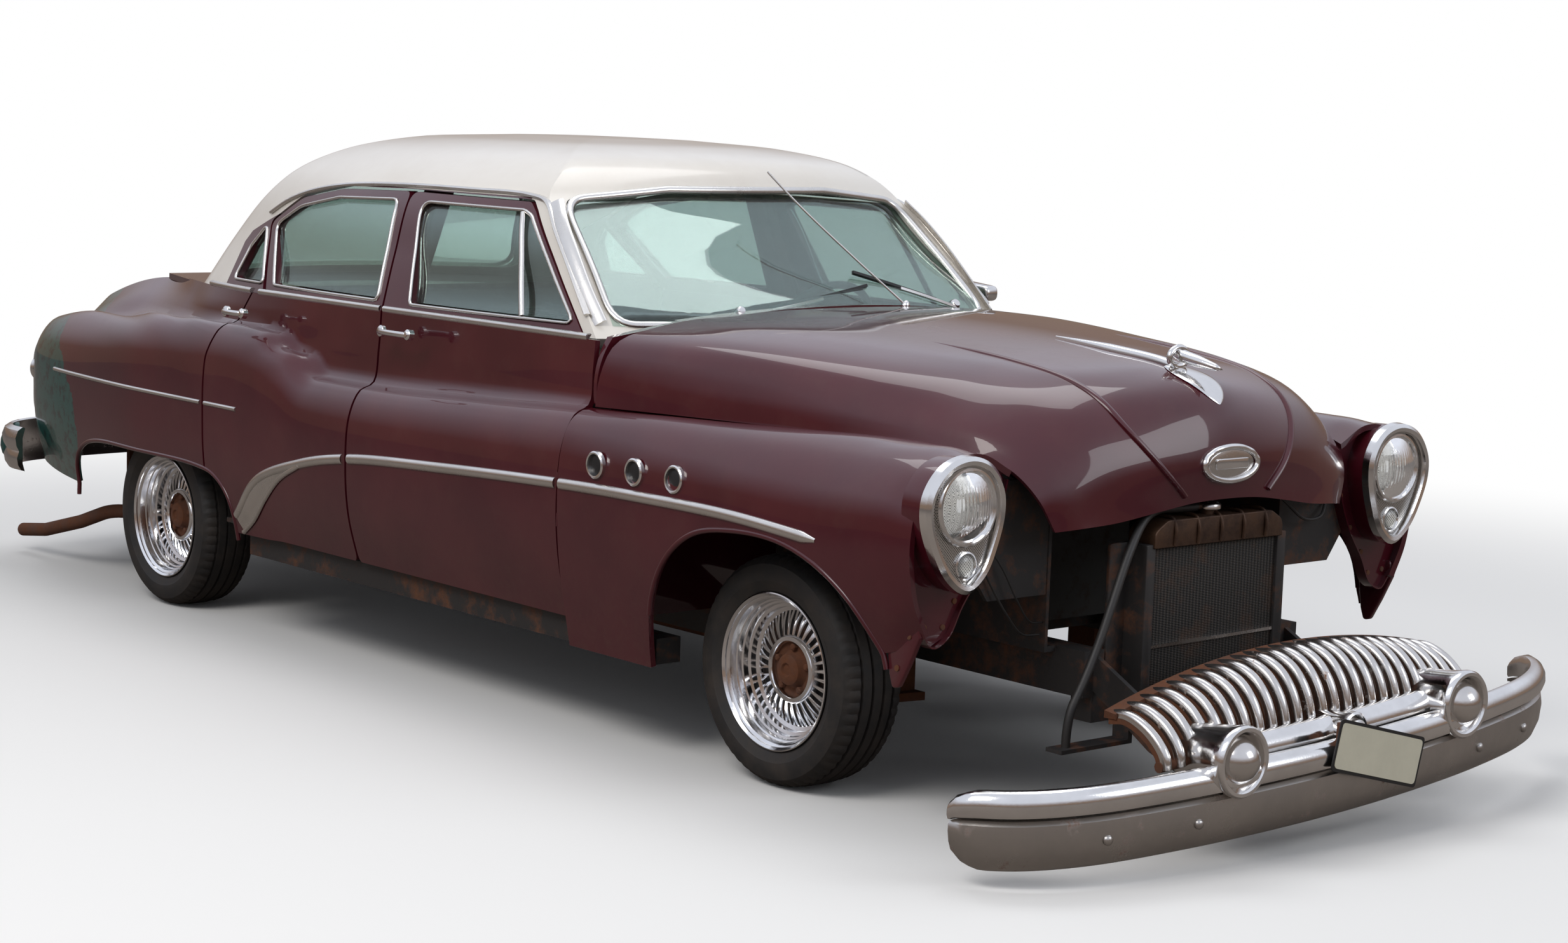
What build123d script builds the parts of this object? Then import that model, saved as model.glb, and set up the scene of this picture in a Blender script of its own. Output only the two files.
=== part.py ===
from build123d import *
from math import cos, hypot, pi, radians, sin, sqrt, tan
import os

# A full-size four-door saloon of the early 1950s. Millimetres, +X forward,
# +Y to the car's left, +Z up. The origin is on the floor, half way between the axles.

# ---------------------------------------------------------------- driving sizes
WHEELBASE = 3086.0
HALF_LENGTH = 2820.0
AXLE_X = WHEELBASE / 2

TYRE_RADIUS = 300.0
TYRE_WIDTH = 205.0
TYRE_BEAD_RADIUS = 192.0
TYRE_SHOULDER = 34.0
FRONT_TYRE_Y = 700.0
REAR_TYRE_Y = 745.0
RIM_LIP_RADIUS = 204.0
RIM_LIP_WIDTH = 8.0
RIM_LIP_STEP = 28.0
RIM_WALL = 8.0
SEAT_GAP = 0.3
RIM_DISH = 22.0
RIM_DISC = 12.0
HUB_RADIUS = 62.0
HUB_BORE_RADIUS = 20.0
SPOKE_COUNT = 15
SPOKE_WIDTH = 12.0
STUD_CIRCLE_RADIUS = 63.5
STUD_HOLE_RADIUS = 7.0
STUD_COUNT = 5
DRUM_RADIUS = 140.0
DRUM_WIDTH = 46.0

KINGPIN_Y = 610.0
KINGPIN_RADIUS = 22.0
KINGPIN_HALF = 85.0
SPINDLE_RADIUS = HUB_BORE_RADIUS - SEAT_GAP

FRAME_IN_Y = 330.0
FRAME_OUT_Y = 400.0
FRAME_FRONT_X = 2250.0
FRAME_REAR_X = -2450.0
FRAME_MID_LOW = 240.0
FRAME_MID_HIGH = 330.0
FRAME_FRONT_LOW = 330.0
FRAME_FRONT_HIGH = 430.0
FRAME_KICK_LOW = 385.0
FRAME_KICK_HIGH = 470.0
FRAME_TAIL_LOW = 370.0

PANEL = 20.0
ROOF_THICK = 30.0
FRAME_THICK = 28.0
GLASS_SET_IN = 9.0
GLASS_THICK = 5.0
BELT_Z = 1085.0
CANOPY_BASE_Z = 1080.0
DOOR_BOTTOM_Z = 340.0
DOOR_INNER_TOP_Y = 782.0
DOOR_INNER_LOW_Y = 842.0
DOOR_FRONT_X = 829.0
B_LINE_X = -223.0
DOOR_REAR_GAP = 14.0
DOOR_REAR_X = -1063.0
SHUT_STEP = 20.0
SHUT_STEP_Y = 840.0
HINGE_LINE_Y = 955.0
HINGE_PIN_RADIUS = 3.2
HINGE_CLEAR = 0.3
HINGE_LEVELS = (590.0, 700.0)
HINGE_LEAF_HIGH = 36.0
SHUT_GAP = 7.0

HOOD_REAR_SIDE_X = 845.0
HOOD_REAR_CENTRE_X = 940.0
HOOD_THICK = 18.0
COWL_REAR_X = 700.0
FIREWALL_X = 862.0
FIREWALL_THICK = 18.0

FLOOR_Z = 330.0
FLOOR_THICK = 15.0
TRUNK_FLOOR_Z = FRAME_KICK_HIGH
SILL_OUT_Y = 880.0
SILL_IN_Y = 800.0
SILL_LOW_Z = 265.0

BUMPER_ROLL = 2.75
BUMPER_CENTRE_Z = 185.0
BUMPER_HIGH = 190.0
BUMPER_THICK = 32.0
BULLET_Y = 420.0
BULLET_RADIUS = 87.0
GRILLE_BARS = 25
GRILLE_BAR_WIDTH = 13.0
GRILLE_HALF_WIDTH = 560.0

LAMP_X = 2180.0
LAMP_Y = 802.0
LAMP_Z = 811.0
LENS_RADIUS = 85.0

HOSE_RADIUS = 11.0


def arcs(points):
    """Arcs through the points taken three at a time: 0-1-2, then 2-3-4 and so on."""
    for first, through, last in zip(points[0::2], points[1::2], points[2::2]):
        ThreePointArc(first, through, last)


def inset(points, depth):
    """The same chain of points moved by depth towards the inside of the car."""
    moved = []
    last = len(points) - 1
    for i, (y, z) in enumerate(points):
        y0, z0 = points[max(i - 1, 0)]
        y1, z1 = points[min(i + 1, last)]
        run = hypot(y1 - y0, z1 - z0)
        moved.append((y + depth * (z1 - z0) / run, z - depth * (y1 - y0) / run))
    return moved


def skin_section(x, outer, thick):
    """One cross-section of a skin panel, a band of the given thickness."""
    inner = inset(outer, thick)
    with BuildSketch(Plane.YZ.offset(x)) as section:
        with BuildLine():
            arcs(outer)
            Line(outer[-1], inner[-1])
            arcs(inner)
            Line(inner[0], outer[0])
        make_face()
    return section.sketch


# ---------------------------------------------------------------- greenhouse blanks
# columns: z, centre of front, front corner x and y, side x and y, rear corner x and y,
# centre of rear
CANOPY_LEVELS = [
    (CANOPY_BASE_Z, 905, 745, 775, -300, 840, -1450, 740, -1900),
    (1250, 745, 570, 735, -300, 775, -1370, 665, -1760),
    (1440, 485, 375, 672, -300, 690, -1180, 600, -1500),
    (1540, 390, 290, 545, -300, 560, -1010, 480, -1236),
    (1590, 200, 110, 370, -300, 385, -780, 320, -1000),
    (1606, -20, -70, 190, -300, 200, -520, 160, -640),
]


def canopy_blank(depth):
    """The solid inside the greenhouse surface, set in by depth all round."""
    with BuildPart() as blank:
        for z, x_front, x_fc, y_fc, x_side, y_side, x_rc, y_rc, x_rear in CANOPY_LEVELS:
            level = z - depth * (z - CANOPY_BASE_Z) / (CANOPY_LEVELS[-1][0] - CANOPY_BASE_Z)
            with BuildSketch(Plane.XY.offset(level if depth else z)):
                with BuildLine():
                    front, fc, side = (x_front - depth, 0), (x_fc - depth, y_fc - depth), (x_side,
                                                                                           y_side - depth)
                    rc, rear = (x_rc + depth, y_rc - depth), (x_rear + depth, 0)
                    ThreePointArc((fc[0], -fc[1]), front, fc)
                    ThreePointArc(fc, side, rc)
                    ThreePointArc(rc, rear, (rc[0], -rc[1]))
                    ThreePointArc((rc[0], -rc[1]), (side[0], -side[1]), (fc[0], -fc[1]))
                make_face()
        loft()
    return blank.part


canopy_outer = canopy_blank(0.0)
canopy_inner = canopy_blank(ROOF_THICK)
frame_inner = canopy_blank(FRAME_THICK)
glass_outer = canopy_blank(GLASS_SET_IN)
glass_inner = canopy_blank(GLASS_SET_IN + GLASS_THICK)

# ---------------------------------------------------------------- side view outlines (x, z)
FRONT_FRAME_OUTLINE = [(705, CANOPY_BASE_Z), (345, 1400), (312, 1428), (-290, 1432),
                       (B_LINE_X + 6, CANOPY_BASE_Z)]
FRONT_WINDOW_OUTLINE = [(640, 1118), (336, 1385), (308, 1402), (-196, 1404), (-95, 1118)]
REAR_FRAME_OUTLINE = [(B_LINE_X - 7, CANOPY_BASE_Z), (-304, 1432), (-700, 1424), (-945, 1386),
                      (-1110, 1300),
                      (-945, CANOPY_BASE_Z)]
REAR_WINDOW_OUTLINE = [(-270, 1118), (-340, 1406), (-694, 1398), (-930, 1360), (-1062, 1296), (-915, 1118)]
QUARTER_WINDOW_OUTLINE = [(-998, 1116), (-1142, 1286), (-1196, 1220), (-1218, 1116)]
APERTURE_OUTLINE = [(715, CANOPY_BASE_Z - 5), (352, 1407), (315, 1436), (-304, 1440), (-702, 1432),
                    (-950, 1394),
                    (-1124, 1304), (-979, 1092), (-979, CANOPY_BASE_Z - 5)]
# front view openings (half width, z): windscreen and back window
WINDSCREEN_HALF = [(712, 1112), (632, 1436), (560, 1456), (0, 1470)]
BACK_WINDOW_HALF = [(610, 1108), (505, 1392), (430, 1408), (0, 1412)]
PANE_GAP = 0.3


def side_prism(outline):
    """A prism over a side view outline that runs from the centre plane past the left skin."""
    with BuildPart() as prism:
        with BuildSketch(Plane.XZ):
            with BuildLine():
                Polyline(*outline, close=True)
            make_face()
        extrude(amount=-1100)
    return prism.part


def front_prism(half, x_low, x_high, shrink=0.0):
    """A prism along X over a symmetric front view outline."""
    with BuildPart() as prism:
        with BuildSketch(Plane.YZ.offset(x_low)):
            with BuildLine():
                other = [(-y, z) for y, z in reversed(half[:-1])]
                Polyline(*(half + other), close=True)
            make_face()
            if shrink:
                offset(amount=-shrink, kind=Kind.INTERSECTION, mode=Mode.REPLACE)
        extrude(amount=x_high - x_low)
    return prism.part


def inset_prism(outline):
    """A side prism shrunk by the pane's seating gap."""
    with BuildPart() as prism:
        with BuildSketch(Plane.XZ):
            with BuildLine():
                Polyline(*outline, close=True)
            make_face()
            offset(amount=-PANE_GAP, kind=Kind.INTERSECTION, mode=Mode.REPLACE)
        extrude(amount=-1100)
    return prism.part


def mirrored(part):
    """The same solid on the other side of the car."""
    return mirror(part, about=Plane.XZ)


def save(part, name):
    """Label a finished piece and write its file."""
    part.label = name
    export_step(part, "parts/" + name + ".step")


os.makedirs("parts", exist_ok=True)

windscreen_hole = front_prism(WINDSCREEN_HALF, 300, 1000)
back_window_hole = front_prism(BACK_WINDOW_HALF, -2000, -1330)
aperture = side_prism(APERTURE_OUTLINE)
quarter_hole = side_prism(QUARTER_WINDOW_OUTLINE)

# ---------------------------------------------------------------- roof, pillars and fixed glass
# the centre pillars stand behind the doors: (y, z) of their outer line, floor to roof
B_PILLAR_LINE = [(834, FLOOR_Z + FLOOR_THICK), (774, BELT_Z), (648, 1440), (615, 1475)]
B_PILLAR_DEPTH = 50.0
REAR_HINGE_X = B_LINE_X - 7 + HINGE_PIN_RADIUS + HINGE_CLEAR
B_PILLAR_X = (-300, -205)

with BuildPart() as roof_canopy:
    add(canopy_outer)
    add(canopy_inner, mode=Mode.SUBTRACT)
    add(windscreen_hole, mode=Mode.SUBTRACT)
    add(back_window_hole, mode=Mode.SUBTRACT)
    add(aperture, mode=Mode.SUBTRACT)
    add(mirrored(aperture), mode=Mode.SUBTRACT)
    add(quarter_hole, mode=Mode.SUBTRACT)
    add(mirrored(quarter_hole), mode=Mode.SUBTRACT)
    with BuildSketch(Plane.YZ.offset(B_PILLAR_X[0])):
        for side in (1, -1):
            with BuildLine():
                line_out = [(side * y, z) for y, z in B_PILLAR_LINE]
                line_in = [(side * (y - B_PILLAR_DEPTH), z) for y, z in reversed(B_PILLAR_LINE)]
                Polyline(*(line_out + line_in), close=True)
            make_face()
    extrude(amount=B_PILLAR_X[1] - B_PILLAR_X[0])
    for level in HINGE_LEVELS:
        with BuildSketch(Plane.XY.offset(level)):
            for side in (1, -1):
                with Locations((REAR_HINGE_X, side * (HINGE_LINE_Y + B_PILLAR_LINE[1][0]) / 2)):
                    Rectangle(2 * HINGE_PIN_RADIUS, HINGE_LINE_Y - B_PILLAR_LINE[1][0])
                with Locations((REAR_HINGE_X, side * HINGE_LINE_Y)):
                    Circle(HINGE_PIN_RADIUS)
        extrude(amount=HINGE_LEAF_HIGH)
save(roof_canopy.part, "roof_canopy")

glass_skin = glass_outer - glass_inner
with BuildPart() as body_glass:
    add(glass_skin & front_prism(WINDSCREEN_HALF, 300, 1000, PANE_GAP))
    add(glass_skin & front_prism(BACK_WINDOW_HALF, -2000, -1330, PANE_GAP))
    quarter_pane = glass_skin & inset_prism(QUARTER_WINDOW_OUTLINE)
    add(quarter_pane)
    add(mirrored(quarter_pane))
save(body_glass.part, "body_glass")

# ---------------------------------------------------------------- front fenders
# columns: x, then (y, z) of hood seam, crown, shoulder, widest and lower edge
FENDER_STATIONS = [
    (837, (850, 906), (895, 892), (942, 800), (958, 640), (905, 262)),
    (1180, (806, 909), (870, 908), (930, 825), (957, 640), (905, 262)),
    (1543, (733, 911), (838, 918), (924, 835), (957, 670), (905, 330)),
    (1905, (671, 911), (800, 928), (918, 850), (953, 690), (905, 420)),
    (LAMP_X, (622, 882), (780, 928), (915, 845), (944, 715), (880, 505)),
]
# side view of the front wheel opening
FRONT_ARCH = [(1184, 200), (1215, 420), (1296, 555), (1409, 640), (1559, 662), (1800, 654), (1960, 572),
              (2045, 490), (2080, 400), (2080, 200)]
FENDER_WALL = 20.0

with BuildPart() as fender_left:
    for x, *outer in FENDER_STATIONS:
        add(skin_section(x, outer, PANEL))
    loft()
    with BuildSketch(Plane.YZ.offset(LAMP_X - FENDER_WALL)):
        with BuildLine():
            nose = inset(FENDER_STATIONS[-1][1:], PANEL * 0.6)
            arcs(nose)
            Polyline(nose[-1], (650, 560), nose[0])
        make_face()
    extrude(amount=FENDER_WALL)
    with BuildSketch(Plane.XZ):
        with BuildLine():
            Polyline(*FRONT_ARCH, close=True)
        make_face()
    extrude(amount=-1100, mode=Mode.SUBTRACT)
fender_right = mirrored(fender_left.part)
save(fender_right, "fender_right")

# the hood turns on a barrel along its left seam
HOOD_HINGE_START = Vector(845, 856, 912)
HOOD_HINGE_END = Vector(2180, 622, 912)
HOOD_BARREL_X = 1905.0
HOOD_BARREL_RADIUS = 5.8
HOOD_BARREL_LONG = 50.0
hood_axis = (HOOD_HINGE_END - HOOD_HINGE_START).normalized()
barrel_centre = HOOD_HINGE_START + hood_axis * ((HOOD_BARREL_X - HOOD_HINGE_START.X) / hood_axis.X)
with BuildPart() as fender_hinged:
    add(fender_left.part)
    with BuildSketch(Plane(origin=barrel_centre - hood_axis * (HOOD_BARREL_LONG / 2), z_dir=hood_axis)):
        Circle(HOOD_BARREL_RADIUS)
    extrude(amount=HOOD_BARREL_LONG)
save(fender_hinged.part, "fender_left")

# ---------------------------------------------------------------- rear quarters
# columns: x, then (y, z) of top edge, slope, valley, hump, shoulder, widest and lower edge
QUARTER_STATIONS = [
    (-960, (836, BELT_Z), (848, 1035), (862, 988), (910, 980), (946, 908), (958, 645), (920, 290)),
    (-1500, (735, BELT_Z), (765, 1020), (806, 966), (880, 978), (948, 890), (959, 650), (925, 330)),
    (-2000, (584, 1062), (658, 1000), (742, 922), (826, 943), (912, 850), (932, 640), (888, 352)),
    (-2400, (578, 978), (632, 925), (706, 876), (782, 896), (858, 810), (872, 640), (835, 385)),
    (-2560, (576, 890), (618, 852), (672, 826), (740, 846), (798, 770), (806, 640), (780, 500)),
]
REAR_ARCH = [(-905, 200), (-915, 390), (-964, 468), (-1065, 522), (-1880, 527), (-1990, 482), (-2054, 394),
             (-2062, 200)]
TAIL_WALL = 20.0
LID_FRONT_X = -1956.0
LID_HALF = 566.0
# side view of the rear door's back edge
DOOR_BACK_EDGE = [(-965, 1100), (-1040, 962), (-1063, 880), (-1063, 200)]


def ahead_of_edge(shift):
    """A prism over all that lies ahead of the rear door's back edge, moved by shift."""
    edge = [(x + shift, z) for x, z in DOOR_BACK_EDGE]
    return side_prism([(500, edge[0][1])] + edge + [(500, edge[-1][1])])


with BuildPart() as quarter_left:
    for x, *outer in QUARTER_STATIONS:
        add(skin_section(x, outer, PANEL))
    loft()
    with BuildSketch(Plane.YZ.offset(QUARTER_STATIONS[-1][0])):
        with BuildLine():
            tail = inset(QUARTER_STATIONS[-1][1:], PANEL * 0.6)
            arcs(tail)
            Polyline(tail[-1], (tail[0][0], tail[-1][1]), tail[0])
        make_face()
    extrude(amount=TAIL_WALL)
    with BuildSketch(Plane.XZ):
        with BuildLine():
            Polyline(*REAR_ARCH, close=True)
        make_face()
    extrude(amount=-1100, mode=Mode.SUBTRACT)
    add(ahead_of_edge(-DOOR_REAR_GAP), mode=Mode.SUBTRACT)
    with BuildSketch(Plane.XY):
        with Locations((LID_FRONT_X - 400, 0)):
            Rectangle(800, 2 * (LID_HALF + SHUT_GAP))
    extrude(amount=1200, mode=Mode.SUBTRACT)
save(quarter_left.part, "quarter_left")
quarter_right = mirrored(quarter_left.part)
save(quarter_right, "quarter_right")

# ---------------------------------------------------------------- doors
# columns: x, then (y, z) of belt, hollow, crease, crown, shoulder, widest and bottom
FRONT_DOOR_STATIONS = [
    (DOOR_FRONT_X, (838, BELT_Z), (845, 1000), (852, 910), (904, 886), (945, 800), (958, 640),
     (907, DOOR_BOTTOM_Z)),
    (300, (839, BELT_Z), (846, 985), (860, 893), (910, 862), (946, 785), (958, 630), (907, DOOR_BOTTOM_Z)),
    (B_LINE_X + 7, (840, BELT_Z), (848, 975), (862, 880), (912, 852), (948, 775), (958, 620),
     (907, DOOR_BOTTOM_Z)),
]
REAR_DOOR_STATIONS = [
    (B_LINE_X - 7, (840, BELT_Z), (848, 975), (862, 880), (912, 852), (948, 775), (958, 620),
     (907, DOOR_BOTTOM_Z)),
    (-640, (838, BELT_Z), (847, 1025), (862, 952), (918, 944), (950, 860), (958, 630),
     (907, DOOR_BOTTOM_Z)),
    (DOOR_REAR_X, (835, BELT_Z), (848, 1036), (862, 993), (908, 985), (946, 915), (958, 650),
     (920, DOOR_BOTTOM_Z)),
]


def door_lower(stations):
    """The body of a door from its bottom edge up to the belt line."""
    with BuildPart() as lower:
        for x, *outer in stations:
            with BuildSketch(Plane.YZ.offset(x)):
                with BuildLine():
                    arcs(outer)
                    Polyline(outer[-1], (DOOR_INNER_LOW_Y, DOOR_BOTTOM_Z), (DOOR_INNER_TOP_Y, BELT_Z),
                             outer[0])
                make_face()
        loft()
    return lower.part


# the front door's back edge is bevelled inside this line, so that it swings past the hinge leaves
DOOR_BEVEL_OUT_Y = 930.0
frame_skin = canopy_outer - frame_inner
with BuildPart() as door_front_left:
    add(door_lower(FRONT_DOOR_STATIONS))
    with BuildSketch(Plane.XY):
        with BuildLine():
            Polyline((B_LINE_X, DOOR_BEVEL_OUT_Y), (B_LINE_X + 7, DOOR_BEVEL_OUT_Y), (B_LINE_X + 33, 700),
                     (B_LINE_X, 700), close=True)
        make_face()
    extrude(amount=BELT_Z - 100, mode=Mode.SUBTRACT)
    add(frame_skin & (side_prism(FRONT_FRAME_OUTLINE) - side_prism(FRONT_WINDOW_OUTLINE)))
save(door_front_left.part, "door_front_left")
door_front_right = mirrored(door_front_left.part)
save(door_front_right, "door_front_right")

with BuildPart() as door_rear_left:
    add(door_lower(REAR_DOOR_STATIONS) & ahead_of_edge(0))
    # the shut face steps in behind its outer flange, so that it swings past the quarter
    with BuildSketch(Plane.XZ):
        with BuildLine():
            shut_edge = [(x + SHUT_STEP, z) for x, z in DOOR_BACK_EDGE]
            Polyline(*shut_edge, (-1200, shut_edge[-1][1]), (-1200, shut_edge[0][1]), close=True)
        make_face()
    extrude(amount=-SHUT_STEP_Y, mode=Mode.SUBTRACT)
    add(frame_skin & (side_prism(REAR_FRAME_OUTLINE) - side_prism(REAR_WINDOW_OUTLINE)))
    with BuildSketch(Plane.XZ):
        with BuildLine():
            Polyline(*REAR_ARCH, close=True)
        make_face()
    extrude(amount=-1100, mode=Mode.SUBTRACT)
save(door_rear_left.part, "door_rear_left")
door_rear_right = mirrored(door_rear_left.part)
save(door_rear_right, "door_rear_right")

for place, outline in (("front", FRONT_WINDOW_OUTLINE), ("rear", REAR_WINDOW_OUTLINE)):
    pane = glass_skin & inset_prism(outline)
    save(pane, "door_glass_" + place + "_left")
    save(mirrored(pane), "door_glass_" + place + "_right")

# ---------------------------------------------------------------- hood and cowl
NOSE_X = 2180.0
# columns: x, then (y, z) of seam, side and knee, and z of the crown
HOOD_STATIONS = [
    (COWL_REAR_X - 10, (842, 914), (841, 1000), (815, 1086), 1150),
    (1000, (827, 915), (824, 1000), (775, 1094), 1170),
    (1443, (743, 918), (733, 990), (660, 1078), 1152),
    (1905, (665, 917), (650, 985), (545, 1062), 1118),
    (NOSE_X, (612, 888), (592, 960), (440, 1042), 1088),
    (2275, (530, 800), (520, 890), (390, 1000), 1058),
    (2322, (390, 782), (380, 870), (270, 960), 1015),
    (2340, (200, 800), (192, 868), (120, 915), 940),
]


def hood_section(station, depth):
    """One closed cross-section under the hood skin, set in by depth."""
    x, seam, side, knee, crown = station
    drop = depth * 2
    chain = [(seam[0] - depth, seam[1] - drop), (side[0] - depth, side[1] - depth * 0.5),
             (knee[0] - depth, knee[1] - depth)]
    back = [(-y, z) for y, z in reversed(chain)]
    with BuildSketch(Plane.YZ.offset(x - depth if x > NOSE_X else x)) as section:
        with BuildLine():
            arcs(chain)
            ThreePointArc(chain[-1], (0, crown - depth), back[0])
            arcs(back)
            Line(back[-1], chain[0])
        make_face()
    return section.sketch


def hood_blank(depth):
    """The solid under the hood skin: one smooth run, then the rounded nose."""
    with BuildPart() as blank:
        for station in HOOD_STATIONS:
            if station[0] <= NOSE_X:
                add(hood_section(station, depth))
        loft()
        for station in HOOD_STATIONS:
            if station[0] >= NOSE_X:
                add(hood_section(station, depth))
        loft(ruled=True)
    return blank.part


hood_skin = hood_blank(0.0) - hood_blank(HOOD_THICK)


def behind_seam(x_side, x_centre):
    """A prism over all that lies behind the curved seam between hood and cowl."""
    with BuildPart() as prism:
        with BuildSketch(Plane.XY.offset(600)):
            with BuildLine():
                ThreePointArc((x_side, -900), (x_centre, 0), (x_side, 900))
                Polyline((x_side, 900), (500, 900), (500, -900), (x_side, -900))
            make_face()
        extrude(amount=700)
    return prism.part


ORNAMENT = [(1737, 1136), (2150, 1120), (2306, 1056), (2297, 1044), (2140, 1085), (1737, 1125)]

with BuildPart() as hood:
    add(hood_skin)
    add(behind_seam(HOOD_REAR_SIDE_X, HOOD_REAR_CENTRE_X), mode=Mode.SUBTRACT)
    with BuildSketch(Plane.XZ.offset(-9)):
        with BuildLine():
            Polyline(*ORNAMENT, close=True)
        make_face()
    extrude(amount=18)
save(hood.part, "hood")

FRONT_HINGE_X = DOOR_FRONT_X + HINGE_PIN_RADIUS + HINGE_CLEAR
# the post that carries the front door's hinges, inside the fender skin: (y, z)
HINGE_POST = [(790, FLOOR_Z), (893, FLOOR_Z), (925, 480), (945, 620), (938, 720), (905, 810), (868, 872),
              (790, 872)]
HINGE_POST_LONG = 60.0
neighbours = [fender_left.part, fender_right]
with BuildPart() as cowl:
    add(hood_skin & behind_seam(HOOD_REAR_SIDE_X - SHUT_GAP, HOOD_REAR_CENTRE_X - SHUT_GAP))
    with BuildSketch(Plane.YZ.offset(FIREWALL_X)):
        with BuildLine():
            Polyline((-830, FLOOR_Z), (-800, 1030), (-745, 1050), (-680, 1088), (-600, 1110), (0, 1146),
                     (600, 1110),
                     (680, 1088), (745, 1050), (800, 1030), (830, FLOOR_Z), close=True)
        make_face()
    extrude(amount=FIREWALL_THICK)
    add(canopy_outer, mode=Mode.SUBTRACT)
    with BuildSketch(Plane.YZ.offset(500)):
        Rectangle(2000, 2260)
    extrude(amount=DOOR_FRONT_X + SHUT_GAP - 500, mode=Mode.SUBTRACT)
    with BuildSketch(Plane.YZ.offset(FIREWALL_X)):
        for side in (1, -1):
            with BuildLine():
                Polyline(*[(side * y, z) for y, z in HINGE_POST], close=True)
            make_face()
    extrude(amount=HINGE_POST_LONG)
    for near in neighbours:
        add(near, mode=Mode.SUBTRACT)
    for level in HINGE_LEVELS:
        with BuildSketch(Plane.XY.offset(level)):
            for side in (1, -1):
                with Locations((FRONT_HINGE_X, side * (HINGE_LINE_Y - 17))):
                    Rectangle(2 * HINGE_PIN_RADIUS, 34)
                with Locations((FRONT_HINGE_X, side * HINGE_LINE_Y)):
                    Circle(HINGE_PIN_RADIUS)
                with Locations(((FRONT_HINGE_X + FIREWALL_X + 5) / 2, side * (HINGE_LINE_Y - 37))):
                    Rectangle(FIREWALL_X + 5 - FRONT_HINGE_X, 22)
        extrude(amount=HINGE_LEAF_HIGH)
save(cowl.part, "cowl")

# ---------------------------------------------------------------- trunk lid and rear deck
LID_LOW_Z = 570.0
# columns: y, then (x, z) of front edge, top, brow, back and lower edge
LID_SECTIONS = [
    (-LID_HALF, (LID_FRONT_X, 1066), (-2220, 1016), (-2440, 930), (-2565, 800), (-2625, LID_LOW_Z)),
    (0, (LID_FRONT_X, 1080), (-2240, 1050), (-2500, 950), (-2640, 810), (-2692, LID_LOW_Z)),
    (LID_HALF, (LID_FRONT_X, 1066), (-2220, 1016), (-2440, 930), (-2565, 800), (-2625, LID_LOW_Z)),
]

with BuildPart() as trunk_lid:
    for y, *outer in LID_SECTIONS:
        inner = [(x, z) for x, z in inset([(-x, z) for x, z in outer], PANEL)]
        inner = [(-x, z) for x, z in inner]
        with BuildSketch(Plane.XZ.offset(-y)):
            with BuildLine():
                arcs(outer)
                Line(outer[-1], inner[-1])
                arcs(inner)
                Line(inner[0], outer[0])
            make_face()
    loft()
save(trunk_lid.part, "trunk_lid")

TRUNK_HINGE_Y = 200.0
TRUNK_HINGE_X = LID_FRONT_X + 3
TRUNK_HINGE_Z = CANOPY_BASE_Z + 2
TRUNK_BARREL_RADIUS = 4.4
TRUNK_BARREL_LONG = 40.0
TRUNK_LEAF_LONG = 14.0
TRUNK_LEAF_THICK = 4.0
DECK_FRONT_X = -1250.0
TAIL_PANEL_Z = (418, LID_LOW_Z - 8)
with BuildPart() as rear_deck:
    with BuildSketch(Plane.XY.offset(CANOPY_BASE_Z - PANEL)):
        with BuildLine():
            half = [(DECK_FRONT_X, 778), (-1500, 730), (-1720, 668), (LID_FRONT_X + SHUT_GAP, 598)]
            Polyline(*half, *[(x, -y) for x, y in reversed(half)], close=True)
        make_face()
    extrude(amount=PANEL)
    with BuildSketch(Plane.XY.offset(TAIL_PANEL_Z[0])):
        with BuildLine():
            ThreePointArc((-2560, 760), (-2695, 0), (-2560, -760))
            Line((-2560, -760), (-2535, -760))
            ThreePointArc((-2535, -760), (-2670, 0), (-2535, 760))
            Line((-2535, 760), (-2560, 760))
        make_face()
    extrude(amount=TAIL_PANEL_Z[1] - TAIL_PANEL_Z[0])
    add(quarter_left.part, mode=Mode.SUBTRACT)
    add(quarter_right, mode=Mode.SUBTRACT)
    for y in (-TRUNK_HINGE_Y, TRUNK_HINGE_Y):
        with BuildSketch(Plane.XZ.offset(-(y - TRUNK_BARREL_LONG / 2))):
            with Locations((TRUNK_HINGE_X, TRUNK_HINGE_Z)):
                Circle(TRUNK_BARREL_RADIUS)
            with Locations((TRUNK_HINGE_X + TRUNK_LEAF_LONG / 2, CANOPY_BASE_Z)):
                Rectangle(TRUNK_LEAF_LONG, TRUNK_LEAF_THICK)
        extrude(amount=-TRUNK_BARREL_LONG)
save(rear_deck.part, "rear_deck")

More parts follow.
